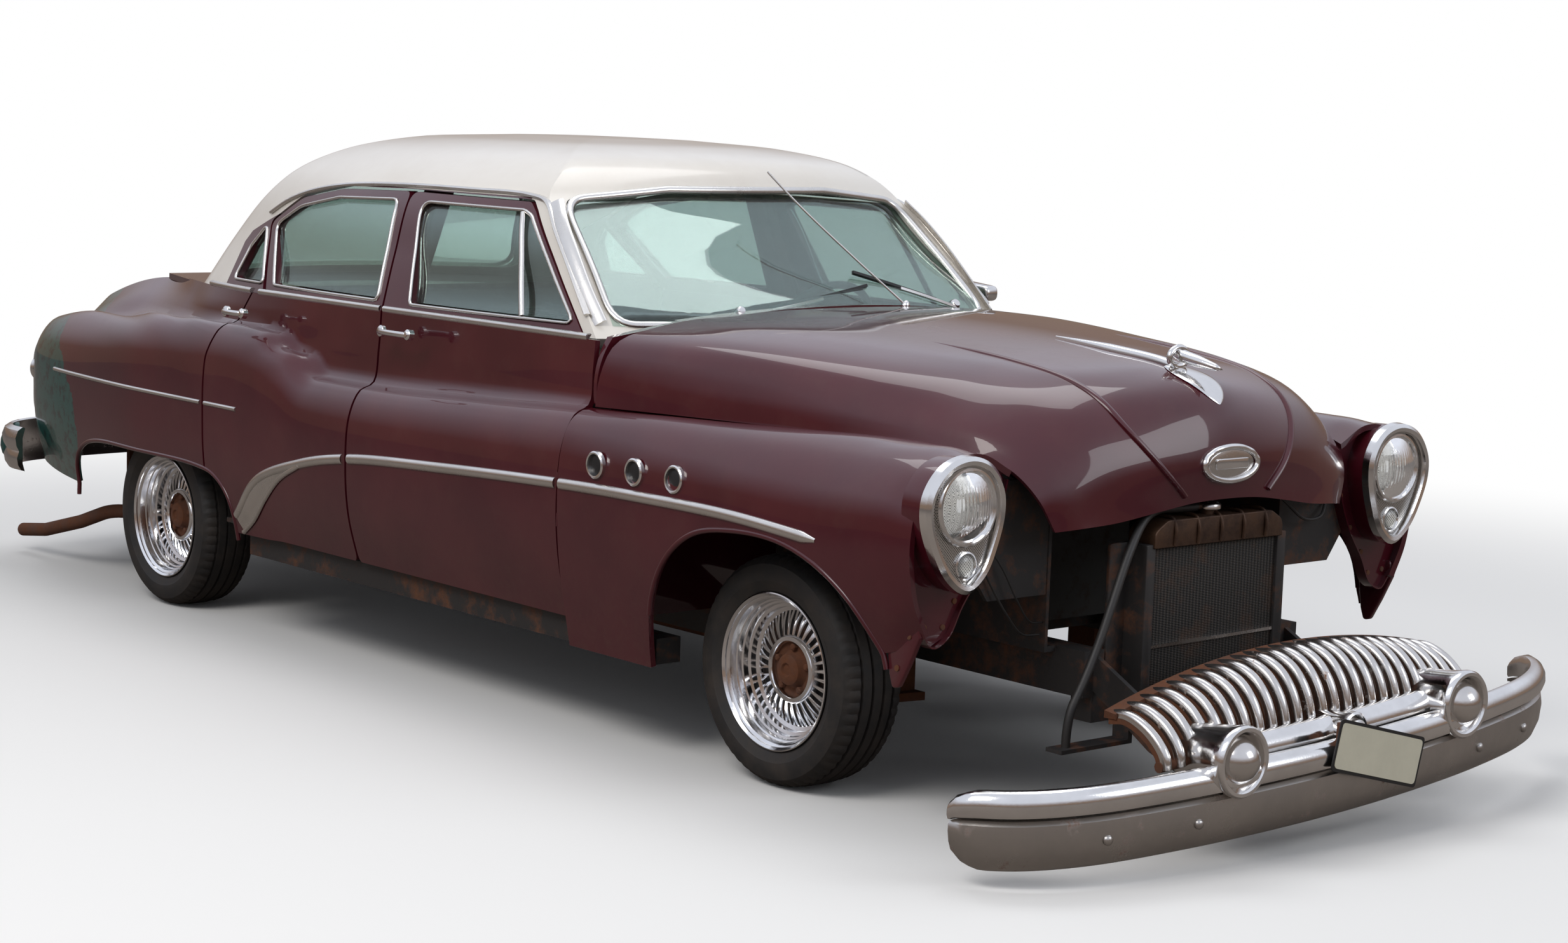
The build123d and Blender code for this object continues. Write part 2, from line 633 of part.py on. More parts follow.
# ---------------------------------------------------------------- ladder frame
CROSS_MEMBERS = [(2215, 70, 250, 300), (AXLE_X, 130, 330, 400), (700, 70, 240, 330), (-900, 70, 240, 330),
                 (-2350, 60, 385, 455)]
TOW_FACE_X = CROSS_MEMBERS[-1][0] - CROSS_MEMBERS[-1][1] / 2
TOW_BOLT_Z = (CROSS_MEMBERS[-1][2] + CROSS_MEMBERS[-1][3]) / 2
TOW_BOLT_SPACING = 200.0
TOW_BOLT_RADIUS = 6.5
RAIL_OUTLINE = [(FRAME_FRONT_X, FRAME_FRONT_HIGH), (1120, FRAME_FRONT_HIGH), (FIREWALL_X + 30, FRAME_MID_HIGH),
                (-1180, FRAME_MID_HIGH), (-1270, FRAME_KICK_HIGH), (FRAME_REAR_X, FRAME_KICK_HIGH),
                (FRAME_REAR_X, FRAME_TAIL_LOW), (-2000, FRAME_TAIL_LOW), (-1850, FRAME_KICK_LOW),
                (-1330, FRAME_KICK_LOW), (-1200, FRAME_MID_LOW), (880, FRAME_MID_LOW),
                (1040, FRAME_FRONT_LOW - 15), (FRAME_FRONT_X, FRAME_FRONT_LOW - 15)]
with BuildPart() as frame:
    for side in (1, -1):
        with BuildSketch(Plane.XZ.offset(-side * FRAME_IN_Y)):
            with BuildLine():
                Polyline(*RAIL_OUTLINE, close=True)
            make_face()
        extrude(amount=-side * (FRAME_OUT_Y - FRAME_IN_Y))
    for x, length, low, high in CROSS_MEMBERS:
        with BuildSketch(Plane.XY.offset(low)):
            with Locations((x, 0)):
                Rectangle(length, 2 * FRAME_IN_Y + 10)
        extrude(amount=high - low)
    for side in (1, -1):
        with BuildSketch(Plane.XY.offset(250)):
            with Locations((2215, side * (FRAME_IN_Y + 18))):
                Rectangle(70, 40)
        extrude(amount=FRAME_FRONT_LOW - 10 - 250)
    with BuildSketch(Plane.YZ.offset(TOW_FACE_X)):
        with Locations((TOW_BOLT_SPACING / 2, TOW_BOLT_Z), (-TOW_BOLT_SPACING / 2, TOW_BOLT_Z)):
            Circle(TOW_BOLT_RADIUS)
    extrude(amount=CROSS_MEMBERS[-1][1], mode=Mode.SUBTRACT)
save(frame.part, "frame")

# ---------------------------------------------------------------- floor pan with sills
REAR_STEP_X = -1160.0
WHEELHOUSE_Y = 612.0
WHEELHOUSE_TOP_Z = 650.0
WHEELHOUSE_OUT_Y = 930.0
WHEELHOUSE_X = (-1895, -1190)
WALL = 10.0
with BuildPart() as floor_pan:
    with BuildSketch(Plane.XY.offset(FLOOR_Z)):
        with Locations(((FIREWALL_X + REAR_STEP_X) / 2, 0)):
            Rectangle(FIREWALL_X - REAR_STEP_X, 2 * SILL_IN_Y + 30)
    extrude(amount=FLOOR_THICK)
    with BuildSketch(Plane.YZ.offset(REAR_ARCH[0][0] + 5)):
        for side in (1, -1):
            with BuildLine():
                Polyline((side * SILL_IN_Y, SILL_LOW_Z), (side * SILL_OUT_Y, SILL_LOW_Z),
                         (side * SILL_OUT_Y, DOOR_BOTTOM_Z - SHUT_GAP), (side * SILL_IN_Y,
                                                                         DOOR_BOTTOM_Z - SHUT_GAP),
                         close=True)
            make_face()
    extrude(amount=FRONT_ARCH[0][0] - REAR_ARCH[0][0] - 10)
    with BuildSketch(Plane.YZ.offset(REAR_STEP_X - FLOOR_THICK)):
        with Locations((0, (FLOOR_Z + TRUNK_FLOOR_Z + FLOOR_THICK) / 2)):
            Rectangle(2 * WHEELHOUSE_Y, TRUNK_FLOOR_Z + FLOOR_THICK - FLOOR_Z)
    extrude(amount=FLOOR_THICK)
    with BuildSketch(Plane.XY.offset(TRUNK_FLOOR_Z)):
        with Locations(((REAR_STEP_X - 2540) / 2, 0)):
            Rectangle(REAR_STEP_X + 2540, 2 * WHEELHOUSE_Y)
    extrude(amount=FLOOR_THICK)
    for side in (1, -1):
        with BuildSketch(Plane.XY.offset(TRUNK_FLOOR_Z)):
            with Locations((sum(WHEELHOUSE_X) / 2, side * (WHEELHOUSE_Y - WALL / 2))):
                Rectangle(WHEELHOUSE_X[1] - WHEELHOUSE_X[0], WALL)
        extrude(amount=WHEELHOUSE_TOP_Z - TRUNK_FLOOR_Z)
        with BuildSketch(Plane.XY.offset(WHEELHOUSE_TOP_Z - WALL)):
            with Locations((sum(WHEELHOUSE_X) / 2, side * (WHEELHOUSE_Y - WALL + WHEELHOUSE_OUT_Y) / 2)):
                Rectangle(WHEELHOUSE_X[1] - WHEELHOUSE_X[0], WHEELHOUSE_OUT_Y - WHEELHOUSE_Y + WALL)
        extrude(amount=WALL)
    for near in (fender_left.part, fender_right, quarter_left.part, quarter_right, roof_canopy.part,
                 cowl.part,
                 frame.part, rear_deck.part):
        add(near, mode=Mode.SUBTRACT)
save(floor_pan.part, "floor_pan")

# ---------------------------------------------------------------- engine, radiator and inner fenders
ENGINE_X = (980, 1780)
ENGINE_HALF = 255.0
ENGINE_Z = (400, 905)
with BuildPart() as engine:
    with BuildSketch(Plane.XY.offset(ENGINE_Z[0])):
        with Locations((sum(ENGINE_X) / 2, 0)):
            Rectangle(ENGINE_X[1] - ENGINE_X[0], 2 * ENGINE_HALF)
    extrude(amount=ENGINE_Z[1] - ENGINE_Z[0])
save(engine.part, "engine")

RADIATOR_X = (2235, 2310)
RADIATOR_HALF = 248.0
CORE_Z = (300, 680)
TANK_TOP_Z = 745.0
CAP_RADIUS = 32.0
CAP_HIGH = 36.0
NIPPLE_RADIUS = 9.0
NIPPLE_OUT_Y = 46.0
NIPPLE_Z = TANK_TOP_Z + 22
with BuildPart() as radiator:
    with BuildSketch(Plane.XY.offset(CORE_Z[0])):
        with Locations((sum(RADIATOR_X) / 2, 0)):
            Rectangle(RADIATOR_X[1] - RADIATOR_X[0], 2 * RADIATOR_HALF)
    extrude(amount=CORE_Z[1] - CORE_Z[0])
    with BuildSketch(Plane.XY.offset(CORE_Z[1])):
        with Locations((sum(RADIATOR_X) / 2, 0)):
            Rectangle(RADIATOR_X[1] - RADIATOR_X[0] + 16, 2 * RADIATOR_HALF - 30)
    extrude(amount=TANK_TOP_Z - CORE_Z[1])
    with BuildSketch(Plane.XY.offset(TANK_TOP_Z)):
        with Locations((sum(RADIATOR_X) / 2, 0)):
            Circle(CAP_RADIUS)
    extrude(amount=CAP_HIGH)
    with BuildSketch(Plane.XZ.offset(0)):
        with Locations((sum(RADIATOR_X) / 2, NIPPLE_Z)):
            Circle(NIPPLE_RADIUS)
    extrude(amount=NIPPLE_OUT_Y)
    for side in (1, -1):
        with BuildSketch(Plane.XY.offset(CORE_Z[0])):
            with Locations((RADIATOR_X[0] + 6, side * (RADIATOR_HALF + 30))):
                Rectangle(12, 90)
        extrude(amount=CORE_Z[1] - CORE_Z[0] + 20)
save(radiator.part, "radiator")

APRON_X = (1130, 2150)
APRON_Y = 428.0
APRON_TOP_Z = 850.0
TIE_X = 2135.0
with BuildPart() as inner_fenders:
    for side in (1, -1):
        with BuildSketch(Plane.YZ.offset(APRON_X[0])):
            with BuildLine():
                Polyline((side * FRAME_OUT_Y, FRAME_FRONT_HIGH - 14),
                         (side * (APRON_Y + 10), FRAME_FRONT_HIGH - 14),
                         (side * (APRON_Y + 10), APRON_TOP_Z - 10), (side * 600, APRON_TOP_Z - 10),
                         (side * 600, APRON_TOP_Z), (side * APRON_Y, APRON_TOP_Z), (side * APRON_Y,
                                                                                    FRAME_FRONT_HIGH),
                         (side * FRAME_OUT_Y, FRAME_FRONT_HIGH), close=True)
            make_face()
        extrude(amount=APRON_X[1] - APRON_X[0])
        with BuildSketch(Plane.YZ.offset(TIE_X)):
            with BuildLine():
                Polyline((side * (APRON_Y + 5), 560), (side * 640, 560), (side * 700, 640),
                         (side * 700, 880),
                         (side * 600, 870), (side * 560, APRON_TOP_Z), (side * (APRON_Y + 5),
                                                                        APRON_TOP_Z), close=True)
            make_face()
        extrude(amount=12)
    add(fender_left.part, mode=Mode.SUBTRACT)
    add(fender_right, mode=Mode.SUBTRACT)
save(inner_fenders.part, "inner_fenders")

# ---------------------------------------------------------------- front suspension and steering knuckles
ARM_THICK = 22.0
ARM_EYE_RADIUS = 30.0
KNUCKLE_LOW_Z = TYRE_RADIUS - KINGPIN_HALF
KNUCKLE_HIGH_Z = TYRE_RADIUS + KINGPIN_HALF

with BuildPart() as front_suspension:
    for side in (1, -1):
        for low in (KNUCKLE_LOW_Z - SEAT_GAP - ARM_THICK, KNUCKLE_HIGH_Z + SEAT_GAP):
            with BuildSketch(Plane.XY.offset(low)):
                with BuildLine():
                    Polyline((AXLE_X - 90, side * (FRAME_OUT_Y - 60)),
                             (AXLE_X + 90, side * (FRAME_OUT_Y - 60)),
                             (AXLE_X + ARM_EYE_RADIUS, side * KINGPIN_Y), (AXLE_X - ARM_EYE_RADIUS,
                                                                           side * KINGPIN_Y),
                             close=True)
                make_face()
                with Locations((AXLE_X, side * KINGPIN_Y)):
                    Circle(ARM_EYE_RADIUS)
            extrude(amount=ARM_THICK)
        with BuildSketch(Plane.XY.offset(KNUCKLE_LOW_Z - SEAT_GAP - ARM_THICK)):
            with Locations((AXLE_X, side * (FRAME_OUT_Y - 35))):
                Rectangle(100, 50)
        extrude(amount=FRAME_FRONT_LOW - 15 - (KNUCKLE_LOW_Z - SEAT_GAP - ARM_THICK))
    add(frame.part, mode=Mode.SUBTRACT)
save(front_suspension.part, "front_suspension")

with BuildPart() as knuckle_left:
    with BuildSketch(Plane.XY.offset(KNUCKLE_LOW_Z)):
        with Locations((AXLE_X, KINGPIN_Y)):
            Circle(KINGPIN_RADIUS)
    extrude(amount=2 * KINGPIN_HALF)
    with BuildSketch(Plane.XZ.offset(-KINGPIN_Y)):
        with Locations((AXLE_X, TYRE_RADIUS)):
            Circle(SPINDLE_RADIUS)
    extrude(amount=-(FRONT_TYRE_Y + 24 - KINGPIN_Y))
    with BuildSketch(Plane.XZ.offset(-(KINGPIN_Y - 8))):
        with Locations((AXLE_X, TYRE_RADIUS)):
            Circle(50)
    extrude(amount=-24)
save(knuckle_left.part, "knuckle_left")
save(mirrored(knuckle_left.part), "knuckle_right")

# ---------------------------------------------------------------- rear axle and exhaust
AXLE_TUBE_RADIUS = 42.0
DIFF_RADIUS = 130.0
with BuildPart() as rear_axle:
    with BuildSketch(Plane.XZ.offset(REAR_TYRE_Y - 75)):
        with Locations((-AXLE_X, TYRE_RADIUS)):
            Circle(AXLE_TUBE_RADIUS)
    extrude(amount=-2 * (REAR_TYRE_Y - 75))
    with BuildSketch(Plane.XZ.offset(REAR_TYRE_Y + 24)):
        with Locations((-AXLE_X, TYRE_RADIUS)):
            Circle(SPINDLE_RADIUS)
    extrude(amount=-2 * (REAR_TYRE_Y + 24))
    with BuildSketch(Plane.YZ.offset(-AXLE_X)):
        with Locations((0, TYRE_RADIUS)):
            Circle(DIFF_RADIUS)
    extrude(amount=90, both=True, taper=18)
    for side in (1, -1):
        with BuildSketch(Plane.XY.offset(TYRE_RADIUS)):
            with Locations((-AXLE_X, side * (FRAME_OUT_Y - 35))):
                Circle(48)
        extrude(amount=FRAME_KICK_LOW - TYRE_RADIUS)
save(rear_axle.part, "rear_axle")

PIPE_RADIUS = 24.0
PIPE_ROUTE = [(900, -230, 205), (-950, -230, 205), (-1250, -480, 205), (-1880, -480, 200),
              (-2150, -700, 235),
              (-2330, -735, 170), (-2600, -738, 105), (-2780, -738, 82)]
PIPE_BENDS = [160, 160, 160, 200, 120, 200]
MUFFLER_RADIUS = 78.0
with BuildPart() as exhaust:
    with BuildLine():
        pipe_path = FilletPolyline(*PIPE_ROUTE, radius=PIPE_BENDS)
    with BuildSketch(Plane(origin=pipe_path @ 0, z_dir=pipe_path % 0)):
        Circle(PIPE_RADIUS)
    sweep()
    with BuildSketch(Plane.YZ.offset(-700)):
        with Locations((-230, 205)):
            Ellipse(MUFFLER_RADIUS, 62)
    extrude(amount=600)
    for x in (300, -820):
        with BuildSketch(Plane.XY.offset(205)):
            with Locations((x, -230)):
                Rectangle(20, 30)
        extrude(amount=FLOOR_Z - 205)
    with BuildSketch(Plane.XY.offset(250)):
        with Locations((-2100, -660)):
            Rectangle(20, 26)
    extrude(amount=TRUNK_FLOOR_Z - 250)
save(exhaust.part, "exhaust")

# ---------------------------------------------------------------- seats and dashboard
SEAT_FLOOR_Z = FLOOR_Z + FLOOR_THICK
FRONT_SEAT = [(250, SEAT_FLOOR_Z), (270, 600), (-210, 570), (-330, 1060), (-430, 1060),
              (-330, SEAT_FLOOR_Z)]
REAR_SEAT = [(-640, SEAT_FLOOR_Z), (-620, 590), (-1060, 560), (-1130, 1020), (-1220, 1020), (-1250, 600),
             (-1180, TRUNK_FLOOR_Z + FLOOR_THICK), (REAR_STEP_X,
                                                    TRUNK_FLOOR_Z + FLOOR_THICK), (REAR_STEP_X,
                                                                                   SEAT_FLOOR_Z)]
for name, outline, half in (("front_seat", FRONT_SEAT, 690), ("rear_seat", REAR_SEAT, 600)):
    with BuildPart() as seat:
        with BuildSketch(Plane.XZ.offset(-half)):
            with BuildLine():
                Polyline(*outline, close=True)
            make_face()
        extrude(amount=2 * half)
    save(seat.part, name)

STEERING_CENTRE = (300.0, 400.0, 1000.0)
COLUMN_SLOPE = 30.0
COLUMN_RADIUS = 28.0
column_plane = Plane(origin=STEERING_CENTRE, x_dir=(0, 1, 0),
                     z_dir=(cos(radians(COLUMN_SLOPE)), 0, -sin(radians(COLUMN_SLOPE))))
WHEEL_HUB_DEPTH = 40.0
DASH_OUTLINE = [(FIREWALL_X, 1050), (650, 1050), (612, 990), (630, 795), (710, 780), (FIREWALL_X, 860)]
DASH_HALF = 735.0
with BuildPart() as dashboard:
    with BuildSketch(Plane.XZ.offset(-DASH_HALF)):
        with BuildLine():
            Polyline(*DASH_OUTLINE, close=True)
        make_face()
    extrude(amount=2 * DASH_HALF)
    with BuildSketch(column_plane.offset(WHEEL_HUB_DEPTH + SEAT_GAP)):
        Circle(COLUMN_RADIUS)
    extrude(amount=700)
    split(bisect_by=Plane(origin=(FIREWALL_X, 0, 0), z_dir=(-1, 0, 0)))
save(dashboard.part, "dashboard")

STEERING_RADIUS = 213.0
STEERING_GRIP = 12.0
with BuildPart() as steering_wheel:
    with BuildSketch(Plane(origin=STEERING_CENTRE, x_dir=column_plane.z_dir,
                           z_dir=column_plane.x_dir.cross(column_plane.z_dir) * -1)):
        with Locations((0, STEERING_RADIUS)):
            Circle(STEERING_GRIP)
    revolve(axis=Axis(STEERING_CENTRE, column_plane.z_dir))
    with BuildSketch(column_plane):
        Circle(40)
    extrude(amount=WHEEL_HUB_DEPTH)
    with BuildSketch(column_plane.offset(4)):
        for angle in (0, 180, 270):
            with Locations(Rotation(0, 0, angle)):
                with Locations((STEERING_RADIUS / 2, 0)):
                    Rectangle(STEERING_RADIUS - 4, 26)
    extrude(amount=9)
save(steering_wheel.part, "steering_wheel")

# ---------------------------------------------------------------- front bumper, irons and grille
# The whole front unit hangs low on its irons and is rolled, its right end down.
roll = radians(BUMPER_ROLL)
slung = Plane(origin=(0, 0, BUMPER_CENTRE_Z), x_dir=(1, 0, 0), z_dir=(0, -sin(roll), cos(roll)))
BUMPER_BENDS = [260, 2600, 260]
BUMPER_NOSE_X = HALF_LENGTH
# the bumper's line: how far behind the bullets' noses, and how far out
BUMPER_PATH = [(BUMPER_NOSE_X - back, y) for back, y in
               ((340, -1047), (130, -800), (52, 0), (130, 800), (340, 1047))]
CROSS_TUBE_RADIUS = 38.0
CROSS_TUBE_Z = 92.0
CROSS_TUBE_X = BUMPER_NOSE_X - 120
BULLET_Z = 100.0
SMALL_BULLET_RADIUS = 48.0
SMALL_BULLET_SET_BACK = 20.0

# columns: distance behind the nose, radius as a share of the bullet's radius
BULLET_OUTLINE = [(0, 0.0), (12, 0.36), (38, 0.56), (62, 0.64), (66, 1.0), (150, 0.86)]

with BuildPart() as front_bumper:
    with BuildLine(slung):
        bumper_path = FilletPolyline(*BUMPER_PATH, radius=BUMPER_BENDS)
    with BuildSketch(Plane(origin=bumper_path @ 0, x_dir=slung.z_dir, z_dir=bumper_path % 0)):
        RectangleRounded(BUMPER_HIGH, BUMPER_THICK, BUMPER_THICK * 0.45)
    sweep()
    for y, radius, nose_x in ((-BULLET_Y, BULLET_RADIUS, BUMPER_NOSE_X),
                              (BULLET_Y, BULLET_RADIUS, BUMPER_NOSE_X),
                              (0, SMALL_BULLET_RADIUS, BUMPER_NOSE_X - SMALL_BULLET_SET_BACK)):
        tail_x = nose_x - BULLET_OUTLINE[-1][0]
        with BuildSketch(slung.offset(BULLET_Z)):
            with BuildLine():
                rim = [(nose_x - back, y + share * radius) for back, share in BULLET_OUTLINE]
                Polyline(*rim, (tail_x, y), (nose_x, y))
            make_face()
        revolve(axis=Axis(slung.from_local_coords((0, y, BULLET_Z)), slung.x_dir))
    with BuildSketch(Plane(origin=slung.from_local_coords((CROSS_TUBE_X, -BULLET_Y, CROSS_TUBE_Z)),
                           x_dir=(1, 0, 0), z_dir=slung.y_dir)):
        Circle(CROSS_TUBE_RADIUS)
    extrude(amount=2 * BULLET_Y)
save(front_bumper.part, "front_bumper")

GRILLE_BACK = (BUMPER_NOSE_X - 315, 262)
GRILLE_FRONT = (BUMPER_NOSE_X - 144, 112)
GRILLE_BULGE = (BUMPER_NOSE_X - 192, 232)
GRILLE_RAIL_RADIUS = 15.0
GRILLE_SIDE_DROP = 70.0
with BuildPart() as grille:
    for i in range(GRILLE_BARS):
        y = GRILLE_HALF_WIDTH * (2 * i / (GRILLE_BARS - 1) - 1)
        drop = GRILLE_SIDE_DROP * (y / GRILLE_HALF_WIDTH) ** 2
        back = (GRILLE_BACK[0], GRILLE_BACK[1] - drop)
        bulge = (GRILLE_BULGE[0], GRILLE_BULGE[1] - drop)
        with BuildSketch(Plane(origin=slung.from_local_coords((0, y - GRILLE_BAR_WIDTH / 2, 0)),
                               x_dir=(1, 0, 0),
                               z_dir=slung.y_dir * -1)):
            with BuildLine():
                ThreePointArc(back, bulge, GRILLE_FRONT)
                Line(GRILLE_FRONT, (GRILLE_FRONT[0] - 14, GRILLE_FRONT[1]))
                ThreePointArc((GRILLE_FRONT[0] - 14, GRILLE_FRONT[1]), (bulge[0] - 12, bulge[1] - 14),
                              (back[0], back[1] - 18))
                Line((back[0], back[1] - 18), back)
            make_face()
        extrude(amount=-GRILLE_BAR_WIDTH)
    with BuildLine():
        top_rail = ThreePointArc(slung.from_local_coords((GRILLE_BACK[0], -GRILLE_HALF_WIDTH - 10,
                                                          GRILLE_BACK[1] - GRILLE_SIDE_DROP - 9)),
                                 slung.from_local_coords((GRILLE_BACK[0], 0, GRILLE_BACK[1] - 9)),
                                 slung.from_local_coords((GRILLE_BACK[0], GRILLE_HALF_WIDTH + 10,
                                                          GRILLE_BACK[1] - GRILLE_SIDE_DROP - 9)))
    with BuildSketch(Plane(origin=top_rail @ 0, z_dir=top_rail % 0)):
        Circle(GRILLE_RAIL_RADIUS)
    sweep(path=top_rail)
    with BuildSketch(Plane(origin=slung.from_local_coords((GRILLE_FRONT[0] - 14, -GRILLE_HALF_WIDTH - 10,
                                                           GRILLE_FRONT[1])),
                           x_dir=(1, 0, 0), z_dir=slung.y_dir)):
        Rectangle(26, 22)
    extrude(amount=2 * GRILLE_HALF_WIDTH + 20)
    add(front_bumper.part, mode=Mode.SUBTRACT)
save(grille.part, "grille")

IRON_FRONT_X = BUMPER_NOSE_X - 92
IRON_OUTLINE = [(FRAME_FRONT_X, 420), (FRAME_FRONT_X, 330), (IRON_FRONT_X - 288, 215), (IRON_FRONT_X - 28, 120),
                (IRON_FRONT_X, 120), (IRON_FRONT_X, 218), (IRON_FRONT_X - 248, 300)]
IRON_TIE_X = IRON_FRONT_X - 173
IRON_Y = 352.0
IRON_THICK = 14.0
HOSE_TAB_THICK = 10.0
HOSE_TAB_OUT_Y = 596.0
HOSE_TAB_WIDE = 52.0
HOSE_TAB_LEG = 110.0
# the hose leaves the radiator neck to the car's right, arches over and comes down to its tab
HOSE_ROUTE = [(sum(RADIATOR_X) / 2, -NIPPLE_OUT_Y, NIPPLE_Z),
              (sum(RADIATOR_X) / 2, -NIPPLE_OUT_Y - 70, NIPPLE_Z),
              (2280, -190, 773), (2295, -262, 755), (2317, -336, 672), (2333, -398, 570), (2341, -450, 470),
              (2346, -505, 378), (2347, -556, 305), (2347, -556, 232)]
with BuildPart() as bumper_irons:
    for side in (1, -1):
        with BuildSketch(Plane.XZ.offset(-side * IRON_Y)):
            with BuildLine():
                Polyline(*IRON_OUTLINE, close=True)
            make_face()
        extrude(amount=-side * IRON_THICK)
    with BuildSketch(Plane.XZ.offset(IRON_Y)):
        with Locations((IRON_TIE_X, 272)):
            Rectangle(60, 12)
    extrude(amount=-2 * IRON_Y)
    for side in (1, -1):
        for y in (0.55 * IRON_Y,):
            with BuildSketch(Plane.XZ.offset(-side * y)):
                with BuildLine():
                    Polyline((IRON_TIE_X - 30, 268), (IRON_TIE_X + 30, 268), (IRON_TIE_X - 15, 415),
                             (IRON_TIE_X - 57, 415), close=True)
                make_face()
            extrude(amount=-side * 10)
    with BuildSketch(Plane.XY.offset(HOSE_ROUTE[-1][2] - HOSE_TAB_THICK)):
        with Locations((HOSE_ROUTE[-1][0], -(IRON_Y + HOSE_TAB_OUT_Y) / 2)):
            Rectangle(HOSE_TAB_WIDE, HOSE_TAB_OUT_Y - IRON_Y)
    extrude(amount=HOSE_TAB_THICK)
    with BuildSketch(Plane.XY.offset(HOSE_ROUTE[-1][2] - HOSE_TAB_THICK)):
        with Locations((HOSE_ROUTE[-1][0], -(IRON_Y + IRON_THICK / 2))):
            Rectangle(HOSE_TAB_WIDE, IRON_THICK)
    extrude(amount=HOSE_TAB_LEG)
    add(front_bumper.part, mode=Mode.SUBTRACT)
    add(grille.part, mode=Mode.SUBTRACT)
save(bumper_irons.part, "bumper_irons")

# ---------------------------------------------------------------- overflow hose
hose_radii = []
for before, here, after in zip(HOSE_ROUTE, HOSE_ROUTE[1:], HOSE_ROUTE[2:]):
    run_in = Vector(*here) - Vector(*before)
    run_out = Vector(*after) - Vector(*here)
    turn = radians(run_in.get_angle(run_out))
    hose_radii.append(0.45 * min(run_in.length, run_out.length) / tan(turn / 2))
print("hose radii", [round(radius) for radius in hose_radii])

with BuildPart() as overflow_hose:
    with BuildLine():
        hose_path = FilletPolyline(*HOSE_ROUTE, radius=hose_radii)
    with BuildSketch(Plane(origin=hose_path @ 0, z_dir=hose_path % 0)):
        Circle(HOSE_RADIUS)
    sweep()
print("hose volume", round(overflow_hose.part.volume), "of",
      round(pi * HOSE_RADIUS ** 2 * hose_path.length))
save(overflow_hose.part, "overflow_hose")

# ---------------------------------------------------------------- rear bumper
REAR_BUMPER_FACE_X = -(HALF_LENGTH - 5)
REAR_BUMPER_PATH = [(REAR_BUMPER_FACE_X + ahead, y) for ahead, y in
                    ((385, -902), (73, -806), (0, 0), (73, 806), (385, 902))]
REAR_BUMPER_BENDS = [90, 3000, 90]
REAR_BUMPER_Z = 425.0
REAR_BUMPER_HIGH = 165.0
with BuildPart() as rear_bumper:
    with BuildLine(Plane.XY.offset(REAR_BUMPER_Z)):
        rear_path = FilletPolyline(*REAR_BUMPER_PATH, radius=REAR_BUMPER_BENDS)
    with BuildSketch(Plane(origin=rear_path @ 0, x_dir=(0, 0, 1), z_dir=rear_path % 0)):
        RectangleRounded(REAR_BUMPER_HIGH, BUMPER_THICK, BUMPER_THICK * 0.45)
    sweep()
    for side in (1, -1):
        with BuildSketch(Plane.YZ.offset(REAR_BUMPER_FACE_X + 25)):
            with Locations((side * (FRAME_IN_Y + FRAME_OUT_Y) / 2,
                            (FRAME_TAIL_LOW + FRAME_KICK_HIGH) / 2 - 28)):
                Rectangle(40, 34)
        extrude(amount=FRAME_REAR_X - REAR_BUMPER_FACE_X - 25)
save(rear_bumper.part, "rear_bumper")

# ---------------------------------------------------------------- headlamps
# columns: x, height above and below the lens centre, half width outboard and inboard
LAMP_LEVELS = [(LAMP_X, 116, 205, 138, 116), (2222, 108, 196, 128, 108), (2246, 92, 178, 108, 92)]
with BuildPart() as headlamps:
    for side in (1, -1):
        for x, up, down, outboard, inboard in LAMP_LEVELS:
            with BuildSketch(Plane.YZ.offset(x)):
                with BuildLine():
                    top, low = (side * LAMP_Y, LAMP_Z + up), (side * (LAMP_Y - 5), LAMP_Z - down)
                    out, inn = (side * (LAMP_Y + outboard), LAMP_Z + 5), (side * (LAMP_Y - inboard),
                                                                          LAMP_Z + 5)
                    ThreePointArc(top, (side * (LAMP_Y + 0.72 * outboard), LAMP_Z + 0.75 * up), out)
                    ThreePointArc(out, (side * (LAMP_Y + 0.66 * outboard), LAMP_Z - 0.62 * down), low)
                    ThreePointArc(low, (side * (LAMP_Y - 0.66 * inboard), LAMP_Z - 0.62 * down), inn)
                    ThreePointArc(inn, (side * (LAMP_Y - 0.72 * inboard), LAMP_Z + 0.75 * up), top)
                make_face()
        loft()
        with BuildSketch(Plane.YZ.offset(LAMP_LEVELS[-1][0])):
            with Locations((side * LAMP_Y, LAMP_Z)):
                Circle(LENS_RADIUS)
        extrude(amount=14, taper=40)
save(headlamps.part, "headlamps")

# ---------------------------------------------------------------- wheels
TYRE_CROWN = 6.0


def tyre_at(x, y):
    """A tyre with rounded shoulders, its axis along Y through (x, y)."""
    half = TYRE_WIDTH / 2
    tread = half - TYRE_SHOULDER
    with BuildPart() as tyre:
        with BuildSketch(Plane(origin=(x, y, TYRE_RADIUS), x_dir=(0, 1, 0), z_dir=(1, 0, 0))):
            with BuildLine():
                Line((-half * 0.62, TYRE_BEAD_RADIUS), (half * 0.62, TYRE_BEAD_RADIUS))
                ThreePointArc((half * 0.62, TYRE_BEAD_RADIUS),
                              (half, (TYRE_BEAD_RADIUS + TYRE_RADIUS) / 2 - 2),
                              (tread, TYRE_RADIUS - TYRE_CROWN))
                ThreePointArc((tread, TYRE_RADIUS - TYRE_CROWN), (0, TYRE_RADIUS),
                              (-tread, TYRE_RADIUS - TYRE_CROWN))
                ThreePointArc((-tread, TYRE_RADIUS - TYRE_CROWN),
                              (-half, (TYRE_BEAD_RADIUS + TYRE_RADIUS) / 2 - 2),
                              (-half * 0.62, TYRE_BEAD_RADIUS))
            make_face()
        revolve(axis=Axis((x, y, TYRE_RADIUS), (0, 1, 0)))
    return tyre.part


